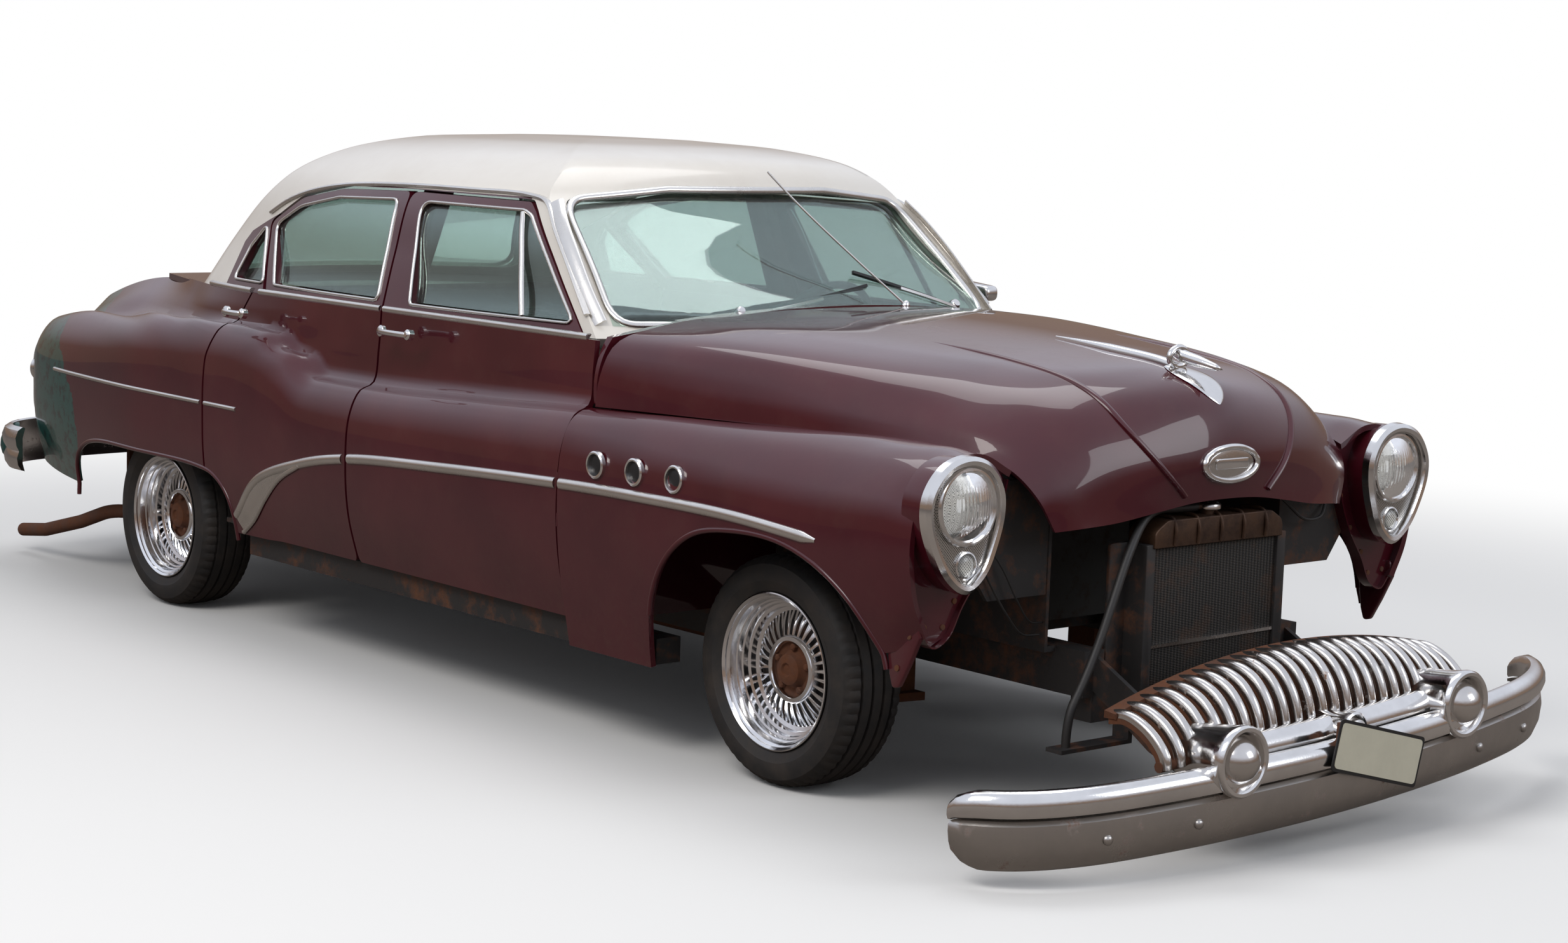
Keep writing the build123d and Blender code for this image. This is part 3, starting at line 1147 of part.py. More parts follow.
def rim_at(x, y):
    """A deep rim, its spoked dish, hub and brake drum. Outboard is +Y."""
    seat = TYRE_BEAD_RADIUS - SEAT_GAP
    half = TYRE_WIDTH / 2 * 0.62
    lip = half + RIM_LIP_STEP
    dish = half - RIM_DISH
    hub_axis = Axis((x, y, TYRE_RADIUS), (0, 1, 0))
    with BuildPart() as rim:
        with BuildSketch(Plane(origin=(x, y, TYRE_RADIUS), x_dir=(0, 1, 0), z_dir=(1, 0, 0))):
            with BuildLine():
                Polyline((-half, seat), (half + 2, seat), (lip - 2, seat + 3), (lip, RIM_LIP_RADIUS),
                         (lip + RIM_LIP_WIDTH, RIM_LIP_RADIUS), (lip + RIM_LIP_WIDTH, seat - RIM_WALL),
                         (-half, seat - RIM_WALL), close=True)
            make_face()
        revolve(axis=hub_axis)
        with BuildSketch(Plane.XZ.offset(-(y + dish - RIM_DISC))):
            with Locations((x, TYRE_RADIUS)):
                Circle(seat - RIM_WALL + 2)
                Circle(seat - RIM_WALL - 38, mode=Mode.SUBTRACT)
                Circle(HUB_RADIUS + 26)
                with PolarLocations(seat / 2, SPOKE_COUNT):
                    Rectangle(seat - 20, SPOKE_WIDTH)
                with PolarLocations(STUD_CIRCLE_RADIUS, STUD_COUNT):
                    Circle(STUD_HOLE_RADIUS, mode=Mode.SUBTRACT)
        extrude(amount=-RIM_DISC)
        with BuildSketch(Plane.XZ.offset(-(y - 2))):
            with Locations((x, TYRE_RADIUS)):
                Circle(STUD_CIRCLE_RADIUS - STUD_HOLE_RADIUS - 6)
        extrude(amount=-(dish + 8))
        with BuildSketch(Plane.XZ.offset(-(y - DRUM_WIDTH))):
            with Locations((x, TYRE_RADIUS)):
                Circle(DRUM_RADIUS)
        extrude(amount=-DRUM_WIDTH)
        with BuildSketch(Plane.XZ.offset(-(y - DRUM_WIDTH - 1))):
            with Locations((x, TYRE_RADIUS)):
                Circle(HUB_BORE_RADIUS)
        extrude(amount=-(DRUM_WIDTH + 26), mode=Mode.SUBTRACT)
    return rim.part


for place, x, y in (("front", AXLE_X, FRONT_TYRE_Y), ("rear", -AXLE_X, REAR_TYRE_Y)):
    tyre, rim = tyre_at(x, y), rim_at(x, y)
    save(tyre, "tyre_" + place + "_left")
    save(mirrored(tyre), "tyre_" + place + "_right")
    save(rim, "rim_" + place + "_left")
    save(mirrored(rim), "rim_" + place + "_right")
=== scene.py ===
"""A maroon and white four-door saloon of the early 1950s, dressed over its working solids."""

import logging
import math
from dataclasses import dataclass, field
from enum import Enum
from typing import Callable, Iterable, Optional, Sequence, Union

import bmesh
import bpy
import numpy as np
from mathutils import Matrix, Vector


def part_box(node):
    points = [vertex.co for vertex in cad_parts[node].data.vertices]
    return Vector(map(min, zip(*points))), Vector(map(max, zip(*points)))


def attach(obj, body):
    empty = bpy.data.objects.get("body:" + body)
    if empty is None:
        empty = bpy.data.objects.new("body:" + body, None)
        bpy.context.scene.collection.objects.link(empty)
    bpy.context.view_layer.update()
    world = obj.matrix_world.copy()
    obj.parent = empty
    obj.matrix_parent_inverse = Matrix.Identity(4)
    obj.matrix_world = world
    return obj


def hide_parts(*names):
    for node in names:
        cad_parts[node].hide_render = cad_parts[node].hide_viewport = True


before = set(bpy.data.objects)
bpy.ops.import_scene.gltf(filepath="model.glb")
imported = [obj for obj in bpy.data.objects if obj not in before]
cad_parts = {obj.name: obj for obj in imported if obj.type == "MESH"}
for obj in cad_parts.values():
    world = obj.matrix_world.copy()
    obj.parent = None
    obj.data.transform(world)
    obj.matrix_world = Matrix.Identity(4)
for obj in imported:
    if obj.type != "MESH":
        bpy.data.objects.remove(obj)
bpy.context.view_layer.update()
log = logging.getLogger("saloon")

Point = Sequence[float]
Outline = Sequence[Sequence[float]]
Material = bpy.types.Material
Piece = bpy.types.Object
Socket = bpy.types.NodeSocket
Colour = Union[Socket, Point]
Value = Union[Socket, float]


# ------------------------------------------------------------------ curves and outlines
def mm(values: Iterable) -> np.ndarray:
    """Millimetres to metres, as an array."""
    return np.asarray(values, float) / 1000.0


def spline(points: Sequence, count: int, closed: bool = False) -> np.ndarray:
    """A smooth curve through points.

    Args:
        points: The points that the curve passes through, in any number of dimensions.
        count: How many points to return.
        closed: Whether the curve returns to its start.

    Returns:
        An array of points evenly spaced along the curve.
    """
    knots = np.asarray(points, float)
    if closed:
        knots = np.vstack([knots[-1:], knots, knots[:2]])
    else:
        knots = np.vstack([2 * knots[0] - knots[1], knots, 2 * knots[-1] - knots[-2]])
    gaps = np.sqrt(np.linalg.norm(np.diff(knots, axis=0), axis=1)) + 1e-9
    t = np.concatenate([[0], np.cumsum(gaps)])
    fine = []
    for i in range(1, len(knots) - 2):
        s = np.linspace(t[i], t[i + 1], 24, endpoint=False)[:, None]
        a1 = ((t[i] - s) * knots[i - 1] + (s - t[i - 1]) * knots[i]) / (t[i] - t[i - 1])
        a2 = ((t[i + 1] - s) * knots[i] + (s - t[i]) * knots[i + 1]) / (t[i + 1] - t[i])
        a3 = ((t[i + 2] - s) * knots[i + 1] + (s - t[i + 1]) * knots[i + 2]) / (t[i + 2] - t[i + 1])
        b1 = ((t[i + 1] - s) * a1 + (s - t[i - 1]) * a2) / (t[i + 1] - t[i - 1])
        b2 = ((t[i + 2] - s) * a2 + (s - t[i]) * a3) / (t[i + 2] - t[i])
        fine.append(((t[i + 1] - s) * b1 + (s - t[i]) * b2) / (t[i + 1] - t[i]))
    fine.append(knots[-2][None, :])
    return resample(np.vstack(fine), count)


def resample(points: np.ndarray, count: int) -> np.ndarray:
    """The same line with count evenly spaced points.

    Args:
        points: The line.
        count: How many points to return.

    Returns:
        The new line.
    """
    steps = np.linalg.norm(np.diff(points, axis=0), axis=1)
    along = np.concatenate([[0], np.cumsum(steps)])
    wanted = np.linspace(0, along[-1], count)
    return np.stack([np.interp(wanted, along, column) for column in points.T], axis=1)


def monotone(knots: np.ndarray, values: np.ndarray, at: np.ndarray) -> np.ndarray:
    """Interpolates without overshoot.

    Args:
        knots: Rising places.
        values: One row of values for each knot.
        at: The places to read.

    Returns:
        One row of values for each place in at.
    """
    flat = values.reshape(len(knots), -1)
    step = np.diff(knots)[:, None]
    slope = np.diff(flat, axis=0) / step
    tangent = np.zeros_like(flat)
    tangent[0], tangent[-1] = slope[0], slope[-1]
    left, right = slope[:-1], slope[1:]
    same = left * right > 0
    weight_left = 2 * step[1:] + step[:-1]
    weight_right = step[1:] + 2 * step[:-1]
    with np.errstate(divide="ignore", invalid="ignore"):
        blend = (weight_left + weight_right) / (weight_left / left + weight_right / right)
    tangent[1:-1] = np.where(same, blend, 0)
    i = np.clip(np.searchsorted(knots, at, side="right") - 1, 0, len(knots) - 2)
    h = (knots[i + 1] - knots[i])[:, None]
    s = ((at - knots[i])[:, None]) / h
    out = (
        (2 * s**3 - 3 * s**2 + 1) * flat[i]
        + (s**3 - 2 * s**2 + s) * h * tangent[i]
        + (-2 * s**3 + 3 * s**2) * flat[i + 1]
        + (s**3 - s**2) * h * tangent[i + 1]
    )
    return out.reshape((len(at),) + values.shape[1:])


def rounded(outline: Outline, radius: float, count: int = 5) -> list[tuple[float, float]]:
    """A closed outline with its corners turned into arcs.

    Args:
        outline: Corners, each (a, b) or (a, b, its own radius).
        radius: The radius of corners that name none.
        count: Points on each arc.

    Returns:
        The new closed outline.
    """
    corners = [(p[0], p[1], p[2] if len(p) > 2 else radius) for p in outline]
    out = []
    for i, (a, b, r) in enumerate(corners):
        here = np.array([a, b])
        before = np.array(corners[i - 1][:2]) - here
        after = np.array(corners[(i + 1) % len(corners)][:2]) - here
        lb, la = np.linalg.norm(before), np.linalg.norm(after)
        before, after = before / lb, after / la
        turn = math.acos(float(np.clip(before @ after, -1, 1)))
        reach = min(r / math.tan(turn / 2) if turn > 0.02 else 0, 0.45 * lb, 0.45 * la)
        if r <= 0 or turn > 3.1 or reach <= 0:
            out.append((a, b))
            continue
        start, end = here + before * reach, here + after * reach
        for s in np.linspace(0, 1, count):
            out.append(tuple((1 - s) ** 2 * start + 2 * s * (1 - s) * here + s**2 * end))
    return out


# ------------------------------------------------------------------ meshes
def mesh_piece(name: str, verts: np.ndarray, faces: Sequence, smooth: bool = True) -> Piece:
    """A new object from vertices and faces.

    Args:
        name: The object's name.
        verts: The vertices, in metres.
        faces: The corners of each face.
        smooth: Whether it is shaded smooth.

    Returns:
        The object.
    """
    data = bpy.data.meshes.new(name)
    data.from_pydata([tuple(map(float, v)) for v in verts], [], [tuple(map(int, f)) for f in faces])
    data.validate()
    data.polygons.foreach_set("use_smooth", [smooth] * len(data.polygons))
    piece = bpy.data.objects.new(name, data)
    bpy.context.scene.collection.objects.link(piece)
    return piece


def grid_faces(rows: int, columns: int, close_rows: bool = False, close_columns: bool = False) -> list:
    """Quads of a grid whose vertices run row by row.

    Args:
        rows: How many rows.
        columns: How many columns.
        close_rows: Whether the last row meets the first.
        close_columns: Whether the last column meets the first.

    Returns:
        Each quad's corners.
    """
    faces = []
    for i in range(rows if close_rows else rows - 1):
        for j in range(columns if close_columns else columns - 1):
            a, b = i * columns + j, i * columns + (j + 1) % columns
            c, d = ((i + 1) % rows) * columns + (j + 1) % columns, ((i + 1) % rows) * columns + j
            faces.append((a, b, c, d))
    return faces


def grid_piece(name: str, points: np.ndarray, close_rows: bool = False, close_columns: bool = False) -> Piece:
    """A smooth sheet through a grid of points, an array of rows, columns and three."""
    rows, columns = points.shape[:2]
    return mesh_piece(name, points.reshape(-1, 3), grid_faces(rows, columns, close_rows, close_columns))


def applied(piece: Piece) -> Piece:
    """The piece with its modifiers made part of its mesh.

    Args:
        piece: The piece.

    Returns:
        The same object.
    """
    bpy.context.view_layer.update()
    graph = bpy.context.evaluated_depsgraph_get()
    data = bpy.data.meshes.new_from_object(piece.evaluated_get(graph))
    old = piece.data
    piece.modifiers.clear()
    piece.data = data
    bpy.data.meshes.remove(old)
    return piece


def thicken(piece: Piece, thickness: float, side: float = -1.0) -> Piece:
    """Gives a sheet a wall, on the side that its normals point away from.

    Args:
        piece: The sheet.
        thickness: The wall, in metres.
        side: -1 for behind the sheet, 1 for in front.

    Returns:
        The same object.
    """
    wall = piece.modifiers.new("wall", "SOLIDIFY")
    wall.thickness = thickness
    wall.offset = side
    wall.use_even_offset = False
    return applied(piece)


def crisp(piece: Piece, angle: float = 32.0) -> Piece:
    """Smooth shading, with edges sharper than angle degrees left hard.

    Args:
        piece: The piece.
        angle: The least angle that stays hard.

    Returns:
        The same object.
    """
    piece.data.polygons.foreach_set("use_smooth", [True] * len(piece.data.polygons))
    piece.data.set_sharp_from_angle(angle=math.radians(angle))
    return piece


def eased(piece: Piece, width: float, segments: int = 2, angle: float = 35.0) -> Piece:
    """Rounds a piece's hard edges a little.

    Args:
        piece: The piece.
        width: The bevel's width.
        segments: The bevel's steps.
        angle: The least angle that is rounded, in degrees.

    Returns:
        The same object.
    """
    bevel = piece.modifiers.new("ease", "BEVEL")
    bevel.width = width
    bevel.segments = segments
    bevel.limit_method = "ANGLE"
    bevel.angle_limit = math.radians(angle)
    bevel.use_clamp_overlap = True
    return crisp(applied(piece), 50)


def copied(piece: Piece, name: str) -> Piece:
    """Another object with its own copy of the mesh.

    Args:
        piece: The piece.
        name: The copy's name.

    Returns:
        The copy.
    """
    twin = bpy.data.objects.new(name, piece.data.copy())
    bpy.context.scene.collection.objects.link(twin)
    return twin


def mirrored(piece: Piece, name: str) -> Piece:
    """The piece's twin on the other side of the car.

    Args:
        piece: The piece.
        name: The twin's name.

    Returns:
        The twin.
    """
    twin = copied(piece, name)
    count = len(twin.data.vertices)
    place = np.empty(count * 3)
    twin.data.vertices.foreach_get("co", place)
    place = place.reshape(-1, 3) * (1, -1, 1)
    twin.data.vertices.foreach_set("co", place.ravel())
    twin.data.flip_normals()
    twin.data.update()
    return twin


def removed(piece: Piece) -> None:
    """Deletes an object that was only a tool.

    Args:
        piece: The piece.
    """
    data = piece.data
    bpy.data.objects.remove(piece)
    bpy.data.meshes.remove(data)


def cut(
    piece: Piece, tools: Sequence[Piece], operation: str = "DIFFERENCE", keep_tools: bool = False,
) -> Piece:
    """Boolean of a piece with each tool in turn.

    Args:
        piece: The piece.
        tools: The closed pieces that cut it.
        operation: What Blender calls the operation.
        keep_tools: Whether the tools stay.

    Returns:
        The same object.
    """
    for tool in tools:
        step = piece.modifiers.new("cut", "BOOLEAN")
        step.operation = operation
        step.solver = "EXACT"
        step.object = tool
    applied(piece)
    if not keep_tools:
        for tool in tools:
            removed(tool)
    return piece


def joined(name: str, pieces: Sequence[Piece]) -> Piece:
    """One object from several, with their materials kept.

    Args:
        name: The object's name.
        pieces: The pieces, which are used up.

    Returns:
        The new object.
    """
    verts, faces, slots, slot_of, smooth = [], [], [], [], []
    for piece in pieces:
        base = len(verts)
        verts.extend(tuple(piece.matrix_world @ v.co) for v in piece.data.vertices)
        places = []
        for material in piece.data.materials:
            if material not in slots:
                slots.append(material)
            places.append(slots.index(material))
        for face in piece.data.polygons:
            faces.append([base + i for i in face.vertices])
            slot_of.append(places[face.material_index] if places else 0)
            smooth.append(face.use_smooth)
    whole = mesh_piece(name, np.array(verts), faces)
    for material in slots:
        whole.data.materials.append(material)
    whole.data.polygons.foreach_set("material_index", slot_of)
    for piece in pieces:
        removed(piece)
    return crisp(whole, 40)


def prism(name: str, outline: Outline, low: float, high: float, axis: str = "y") -> Piece:
    """A prism over a closed outline.

    Args:
        name: The object's name.
        outline: Corners (a, b): (x, z) for axis y, (y, z) for axis x, (x, y) for axis z.
        low: Where the prism starts along its axis.
        high: Where it ends.
        axis: The direction that it runs in.

    Returns:
        The closed prism.
    """
    count = len(outline)

    def place(a: float, b: float, along: float) -> tuple[float, float, float]:
        """One corner in space."""
        return {"x": (along, a, b), "y": (a, along, b), "z": (a, b, along)}[axis]

    verts = [place(p[0], p[1], low) for p in outline] + [place(p[0], p[1], high) for p in outline]
    faces = [tuple(range(count)), tuple(range(2 * count - 1, count - 1, -1))]
    faces += [(i, i + count, (i + 1) % count + count, (i + 1) % count) for i in range(count)]
    piece = mesh_piece(name, np.array(verts), faces, smooth=False)
    fix_normals(piece)
    return piece


def fix_normals(piece: Piece) -> Piece:
    """Turns every face of a closed mesh outwards.

    Args:
        piece: The piece.

    Returns:
        The same object.
    """
    work = bmesh.new()
    work.from_mesh(piece.data)
    bmesh.ops.recalc_face_normals(work, faces=work.faces)
    work.to_mesh(piece.data)
    work.free()
    return piece


def frames(path: np.ndarray, up: Point) -> tuple[np.ndarray, np.ndarray, np.ndarray]:
    """Tangent, side and upward directions along a path, as near to up as they can be.

    Args:
        path: Points of the path.
        up: The direction to stay near.

    Returns:
        Three arrays of unit vectors.
    """
    tangent = np.gradient(path, axis=0)
    tangent /= np.linalg.norm(tangent, axis=1)[:, None] + 1e-12
    ups = np.broadcast_to(np.asarray(up, float), path.shape)
    side = np.cross(tangent, ups)
    side /= np.linalg.norm(side, axis=1)[:, None] + 1e-12
    return tangent, side, np.cross(side, tangent)


def swept(
    name: str,
    path: np.ndarray,
    profile: Outline,
    up: Point = (0, 0, 1),
    scale: Optional[Callable[[float], float]] = None,
    closed: bool = False,
) -> Piece:
    """A bar of one section along a path.

    Args:
        name: The object's name.
        path: Points of the path in metres.
        profile: The closed section as (side, up) pairs in metres.
        up: The direction that the section's second number follows. It may be one row for each point.
        scale: The section's size at each share of the path, from 0 to 1.
        closed: Whether the path is a ring.

    Returns:
        The closed bar.
    """
    path = np.asarray(path, float)
    if closed:
        wide = np.vstack([path[-1:], path, path[:1]])
        ups = np.asarray(up, float)
        if ups.ndim == 2:
            ups = np.vstack([ups[-1:], ups, ups[:1]])
        _, side, upward = (part[1:-1] for part in frames(wide, ups))
    else:
        _, side, upward = frames(path, up)
    section = np.asarray(profile, float)
    count = len(path)
    sizes = np.array([scale(i / (count - 1)) if scale else 1.0 for i in range(count)])
    points = path[:, None, :] + sizes[:, None, None] * (
        section[None, :, :1] * side[:, None, :] + section[None, :, 1:2] * upward[:, None, :]
    )
    rows, columns = points.shape[:2]
    faces = grid_faces(rows, columns, close_rows=closed, close_columns=True)
    if not closed:
        faces += [tuple(range(columns)), tuple(rows * columns - 1 - i for i in range(columns))]
    return crisp(fix_normals(mesh_piece(name, points.reshape(-1, 3), faces)), 40)


def circle(radius: float, count: int = 14, squash: float = 1.0) -> list[tuple[float, float]]:
    """A round or oval section."""
    turns = np.linspace(0, 2 * math.pi, count, endpoint=False)
    return [(radius * math.cos(t), radius * squash * math.sin(t)) for t in turns]


def half_round(width: float, height: float, count: int = 9) -> list[tuple[float, float]]:
    """A moulding's section: flat below, domed above."""
    turns = np.linspace(0, math.pi, count)
    return [(width / 2 * math.cos(t), height * math.sin(t)) for t in turns]


def lathed(
    name: str, profile: Outline, centre: Point, axis: Point, count: int = 48, closed_profile: bool = False
) -> Piece:
    """A turned piece.

    Args:
        name: The object's name.
        profile: (distance along the axis, radius) pairs.
        centre: The point that distances along the axis start from.
        axis: The direction of the axis.
        count: Steps round the axis.
        closed_profile: Whether the profile's last point meets its first.

    Returns:
        The turned piece.
    """
    ahead = np.asarray(axis, float) / np.linalg.norm(axis)
    helper = np.array([0, 0, 1.0]) if abs(ahead[2]) < 0.9 else np.array([1.0, 0, 0])
    side = np.cross(ahead, helper)
    side /= np.linalg.norm(side)
    up = np.cross(side, ahead)
    turns = np.linspace(0, 2 * math.pi, count, endpoint=False)
    ring = np.cos(turns)[:, None] * side + np.sin(turns)[:, None] * up
    shape = np.asarray(profile, float)
    points = np.asarray(centre, float) + shape[None, :, :1] * ahead + shape[None, :, 1:2] * ring[:, None, :]
    piece = grid_piece(name, points, close_rows=True, close_columns=closed_profile)
    work = bmesh.new()
    work.from_mesh(piece.data)
    bmesh.ops.remove_doubles(work, verts=work.verts, dist=1e-6)
    bmesh.ops.recalc_face_normals(work, faces=work.faces)
    work.to_mesh(piece.data)
    work.free()
    return crisp(piece, 38)


# ------------------------------------------------------------------ finishes
class Shader:
    """A material being wired up, with short calls for the nodes that the finishes share."""

    def __init__(self, name: str) -> None:
        """Starts a node material with one principled shader.

        Args:
            name: The material's name.
        """
        self.material = bpy.data.materials.new(name)
        self.material.use_nodes = True
        self.tree = self.material.node_tree
        self.body = self.tree.nodes["Principled BSDF"]

    def node(self, kind: str, **settings) -> bpy.types.Node:
        """Adds a node and sets its properties.

        Args:
            kind: The node's type.
            settings: Its properties.

        Returns:
            The node.
        """
        made = self.tree.nodes.new(kind)
        for key, value in settings.items():
            setattr(made, key, value)
        return made

    def link(self, source: Socket, target: Socket) -> None:
        """Joins two sockets."""
        self.tree.links.new(source, target)

    def place(self) -> Socket:
        """The point on the object, in metres."""
        return self.node("ShaderNodeTexCoord").outputs["Object"]

    def noise(
        self, scale: float, detail: float = 3.0, rough: float = 0.55, stretch: Optional[Point] = None,
    ) -> Socket:
        """Cloudy noise.

        Args:
            scale: Clouds in a metre.
            detail: Octaves.
            rough: How strong the small octaves are.
            stretch: Separate factors for the three directions.

        Returns:
            The noise value socket.
        """
        made = self.node("ShaderNodeTexNoise")
        made.inputs["Scale"].default_value = scale
        made.inputs["Detail"].default_value = detail
        made.inputs["Roughness"].default_value = rough
        place = self.place()
        if stretch:
            mapping = self.node("ShaderNodeMapping")
            mapping.inputs["Scale"].default_value = stretch
            self.link(place, mapping.inputs["Vector"])
            place = mapping.outputs["Vector"]
        self.link(place, made.inputs["Vector"])
        return made.outputs["Fac"]

    def ramp(self, source: Socket, stops: Sequence[tuple[float, float]]) -> Socket:
        """Turns a value into another by a ramp of (place, grey) stops.

        Args:
            source: The value to turn.
            stops: Places from 0 to 1, each with its grey.

        Returns:
            The ramp's socket.
        """
        made = self.node("ShaderNodeValToRGB")
        elements = made.color_ramp.elements
        while len(elements) < len(stops):
            elements.new(0.5)
        for element, (place, grey) in zip(elements, stops):
            element.position = place
            element.color = (grey, grey, grey, 1)
        self.link(source, made.inputs["Fac"])
        return made.outputs["Color"]

    def mix(self, factor: Value, first: Colour, second: Colour) -> Socket:
        """Blends two colours, each a socket or three numbers.

        Args:
            factor: The share of the second colour.
            first: The first colour.
            second: The second colour.

        Returns:
            The blend's socket.
        """
        made = self.node("ShaderNodeMix", data_type="RGBA")
        for socket, value in ((made.inputs[0], factor), (made.inputs[6], first), (made.inputs[7], second)):
            if isinstance(value, Socket):
                self.link(value, socket)
            elif isinstance(value, (int, float)):
                socket.default_value = value
            else:
                socket.default_value = (*value, 1)
        return made.outputs[2]

    def math(self, operation: str, first: Value, second: Value = 0.0) -> Socket:
        """One sum on values, each a socket or a number.

        Args:
            operation: What Blender calls the operation.
            first: The first value.
            second: The second value.

        Returns:
            The sum's socket.
        """
        made = self.node("ShaderNodeMath", operation=operation)
        for socket, value in zip(made.inputs, (first, second)):
            if isinstance(value, Socket):
                self.link(value, socket)
            else:
                socket.default_value = value
        return made.outputs[0]

    def part(self, vector: Socket, axis: str) -> Socket:
        """One coordinate of a vector.

        Args:
            vector: The vector.
            axis: X, Y or Z.

        Returns:
            The coordinate's socket.
        """
        made = self.node("ShaderNodeSeparateXYZ")
        self.link(vector, made.inputs[0])
        return made.outputs[axis]

    def bump(self, height: Socket, strength: float, distance: float) -> None:
        """Bumps the surface by a height value.

        Args:
            height: The height value.
            strength: How strongly it shows.
            distance: How high it stands, in metres.
        """
        made = self.node("ShaderNodeBump")
        made.inputs["Strength"].default_value = strength
        made.inputs["Distance"].default_value = distance
        self.link(height, made.inputs["Height"])
        self.link(made.outputs["Normal"], self.body.inputs["Normal"])

    def set(self, **values) -> None:
        """Sets or links the principled shader's inputs, with spaces in their names written as _.

        Args:
            values: Values or sockets by input.
        """
        for key, value in values.items():
            socket = self.body.inputs[key.replace("_", " ")]
            if isinstance(value, Socket):
                self.link(value, socket)
            elif isinstance(value, (tuple, list)) and len(value) == 3 and len(socket.default_value) == 4:
                socket.default_value = (*value, 1)
            else:
                socket.default_value = value


@dataclass(frozen=True)
class Finish:
    """A surface finish, made once and shared."""

    name: str

    def shade(self, shader: Shader) -> None:
        """Wires the finish's nodes."""

    def material(self) -> Material:
        """The finish's material, under a name that no CAD material has.

        Returns:
            The material.
        """
        known = f"{self.name}_finish"
        found = bpy.data.materials.get(known)
        if found:
            return found
        shader = Shader(known)
        self.shade(shader)
        return shader.material


@dataclass(frozen=True)
class CarPaint(Finish):
    """Old glossy paint under a clear coat, with faded clouds, dust low down and fine waves."""

    colour: Point = (0.058, 0.0042, 0.0105)
    faded: Point = (0.082, 0.0085, 0.0150)
    dust: Point = (0.11, 0.065, 0.045)
    dust_share: float = 0.12
    rough: float = 0.30
    coat: float = 1.0
    # teal of a painted reflection on the right tail end, or none
    painted_reflection: Optional[Point] = None

    def shade(self, shader: Shader) -> None:
        """Wires the paint.

        Args:
            shader: The material to wire.
        """
        clouds = shader.ramp(shader.noise(2.2, 5), [(0.38, 0.0), (0.68, 1.0)])
        paint = shader.mix(clouds, self.colour, self.faded)
        height = shader.part(shader.place(), "Z")
        low = shader.node("ShaderNodeMapRange")
        low.inputs["From Min"].default_value = 0.62
        low.inputs["From Max"].default_value = 0.25
        shader.link(height, low.inputs["Value"])
        specks = shader.ramp(shader.noise(38, 6, 0.7), [(0.45, 0.0), (0.72, 1.0)])
        dirt = shader.math("MULTIPLY", low.outputs[0], specks)
        light_dust = shader.ramp(shader.noise(9, 6, 0.7), [(0.5, 0.0), (0.8, self.dust_share)])
        share = shader.math("MAXIMUM", shader.math("MULTIPLY", dirt, self.dust_share * 1.6), light_dust)
        # the teal patch on the right tail end is a painted reflection
        if self.painted_reflection:
            paint = self.tail_painted_reflection(shader, paint)
        shader.set(Base_Color=shader.mix(share, paint, self.dust))
        rough = shader.math("ADD", self.rough, shader.math("MULTIPLY", share, 0.6))
        shader.set(
            Roughness=rough, Specular_IOR_Level=0.2, Coat_Weight=self.coat, Coat_Roughness=0.035,
            Coat_IOR=1.44,
        )
        shader.bump(shader.noise(70, 2, 0.4), 0.05, 0.002)

    def tail_painted_reflection(self, shader: Shader, paint: Socket) -> Socket:
        """A painted reflection: flecked teal over the tail end of the right side only.

        Args:
            shader: The material.
            paint: The paint round the painted reflection.

        Returns:
            The two colours, mixed at a ragged edge.
        """
        place = shader.place()
        x, y, z = (shader.part(place, axis) for axis in "XYZ")
        ragged = shader.math("MULTIPLY", shader.math("SUBTRACT", shader.noise(7, 6, 0.7), 0.5), 0.16)
        slope = shader.math("ADD", shader.math("MULTIPLY", shader.math("SUBTRACT", 0.90, z), 0.9), -2.22)
        edge = shader.math("MINIMUM", slope, -1.99)
        behind = shader.math("LESS_THAN", shader.math("ADD", x, ragged), edge)
        right = shader.math("LESS_THAN", y, 0.0)
        share = shader.math("MULTIPLY", behind, right)
        # the painted reflection is flecked between two teals by noise
        flecked_reflection = shader.mix(
            shader.ramp(shader.noise(26, 6, 0.7), [(0.50, 0.0), (0.60, 1.0)]), self.painted_reflection,
            (0.006, 0.020, 0.020),
        )
        return shader.mix(share, paint, flecked_reflection)


@dataclass(frozen=True)
class TwoTone(Finish):
    """Roof paint above and behind a line in side view, body paint elsewhere."""

    upper: Point = (0.80, 0.765, 0.71)
    lower: Point = (0.060, 0.0045, 0.0110)

    def shade(self, shader: Shader) -> None:
        """Wires the two paints and the line between them.

        Args:
            shader: The material to wire.
        """
        place = shader.place()
        x, z = shader.part(place, "X"), shader.part(place, "Z")
        # the line follows the drip rail, then falls down the rear pillar
        back = shader.math("MAXIMUM", shader.math("SUBTRACT", shader.math("MULTIPLY", x, -1.0), 0.40), 0.0)
        fall = shader.math("MULTIPLY", shader.math("MULTIPLY", back, back), 0.25)
        over = shader.math("GREATER_THAN", shader.math("ADD", z, fall), 1.443)
        rise = shader.math("MAXIMUM", shader.math("SUBTRACT", z, 1.23), 0.0)
        behind = shader.math(
            "LESS_THAN", x, shader.math("SUBTRACT", shader.math("MULTIPLY", rise, 0.75), 1.27),
        )
        ahead = shader.math("GREATER_THAN", x, 0.30)
        white = shader.math("MAXIMUM", shader.math("MAXIMUM", over, behind), ahead)
        clouds = shader.ramp(shader.noise(3.5, 6, 0.65), [(0.42, 0.0), (0.78, 0.35)])
        upper = shader.mix(clouds, self.upper, (0.62, 0.55, 0.47))
        shader.set(Base_Color=shader.mix(white, self.lower, upper))
        shader.set(Roughness=0.3, Coat_Weight=0.7, Coat_Roughness=0.12)
        shader.bump(shader.noise(60, 2, 0.4), 0.05, 0.002)


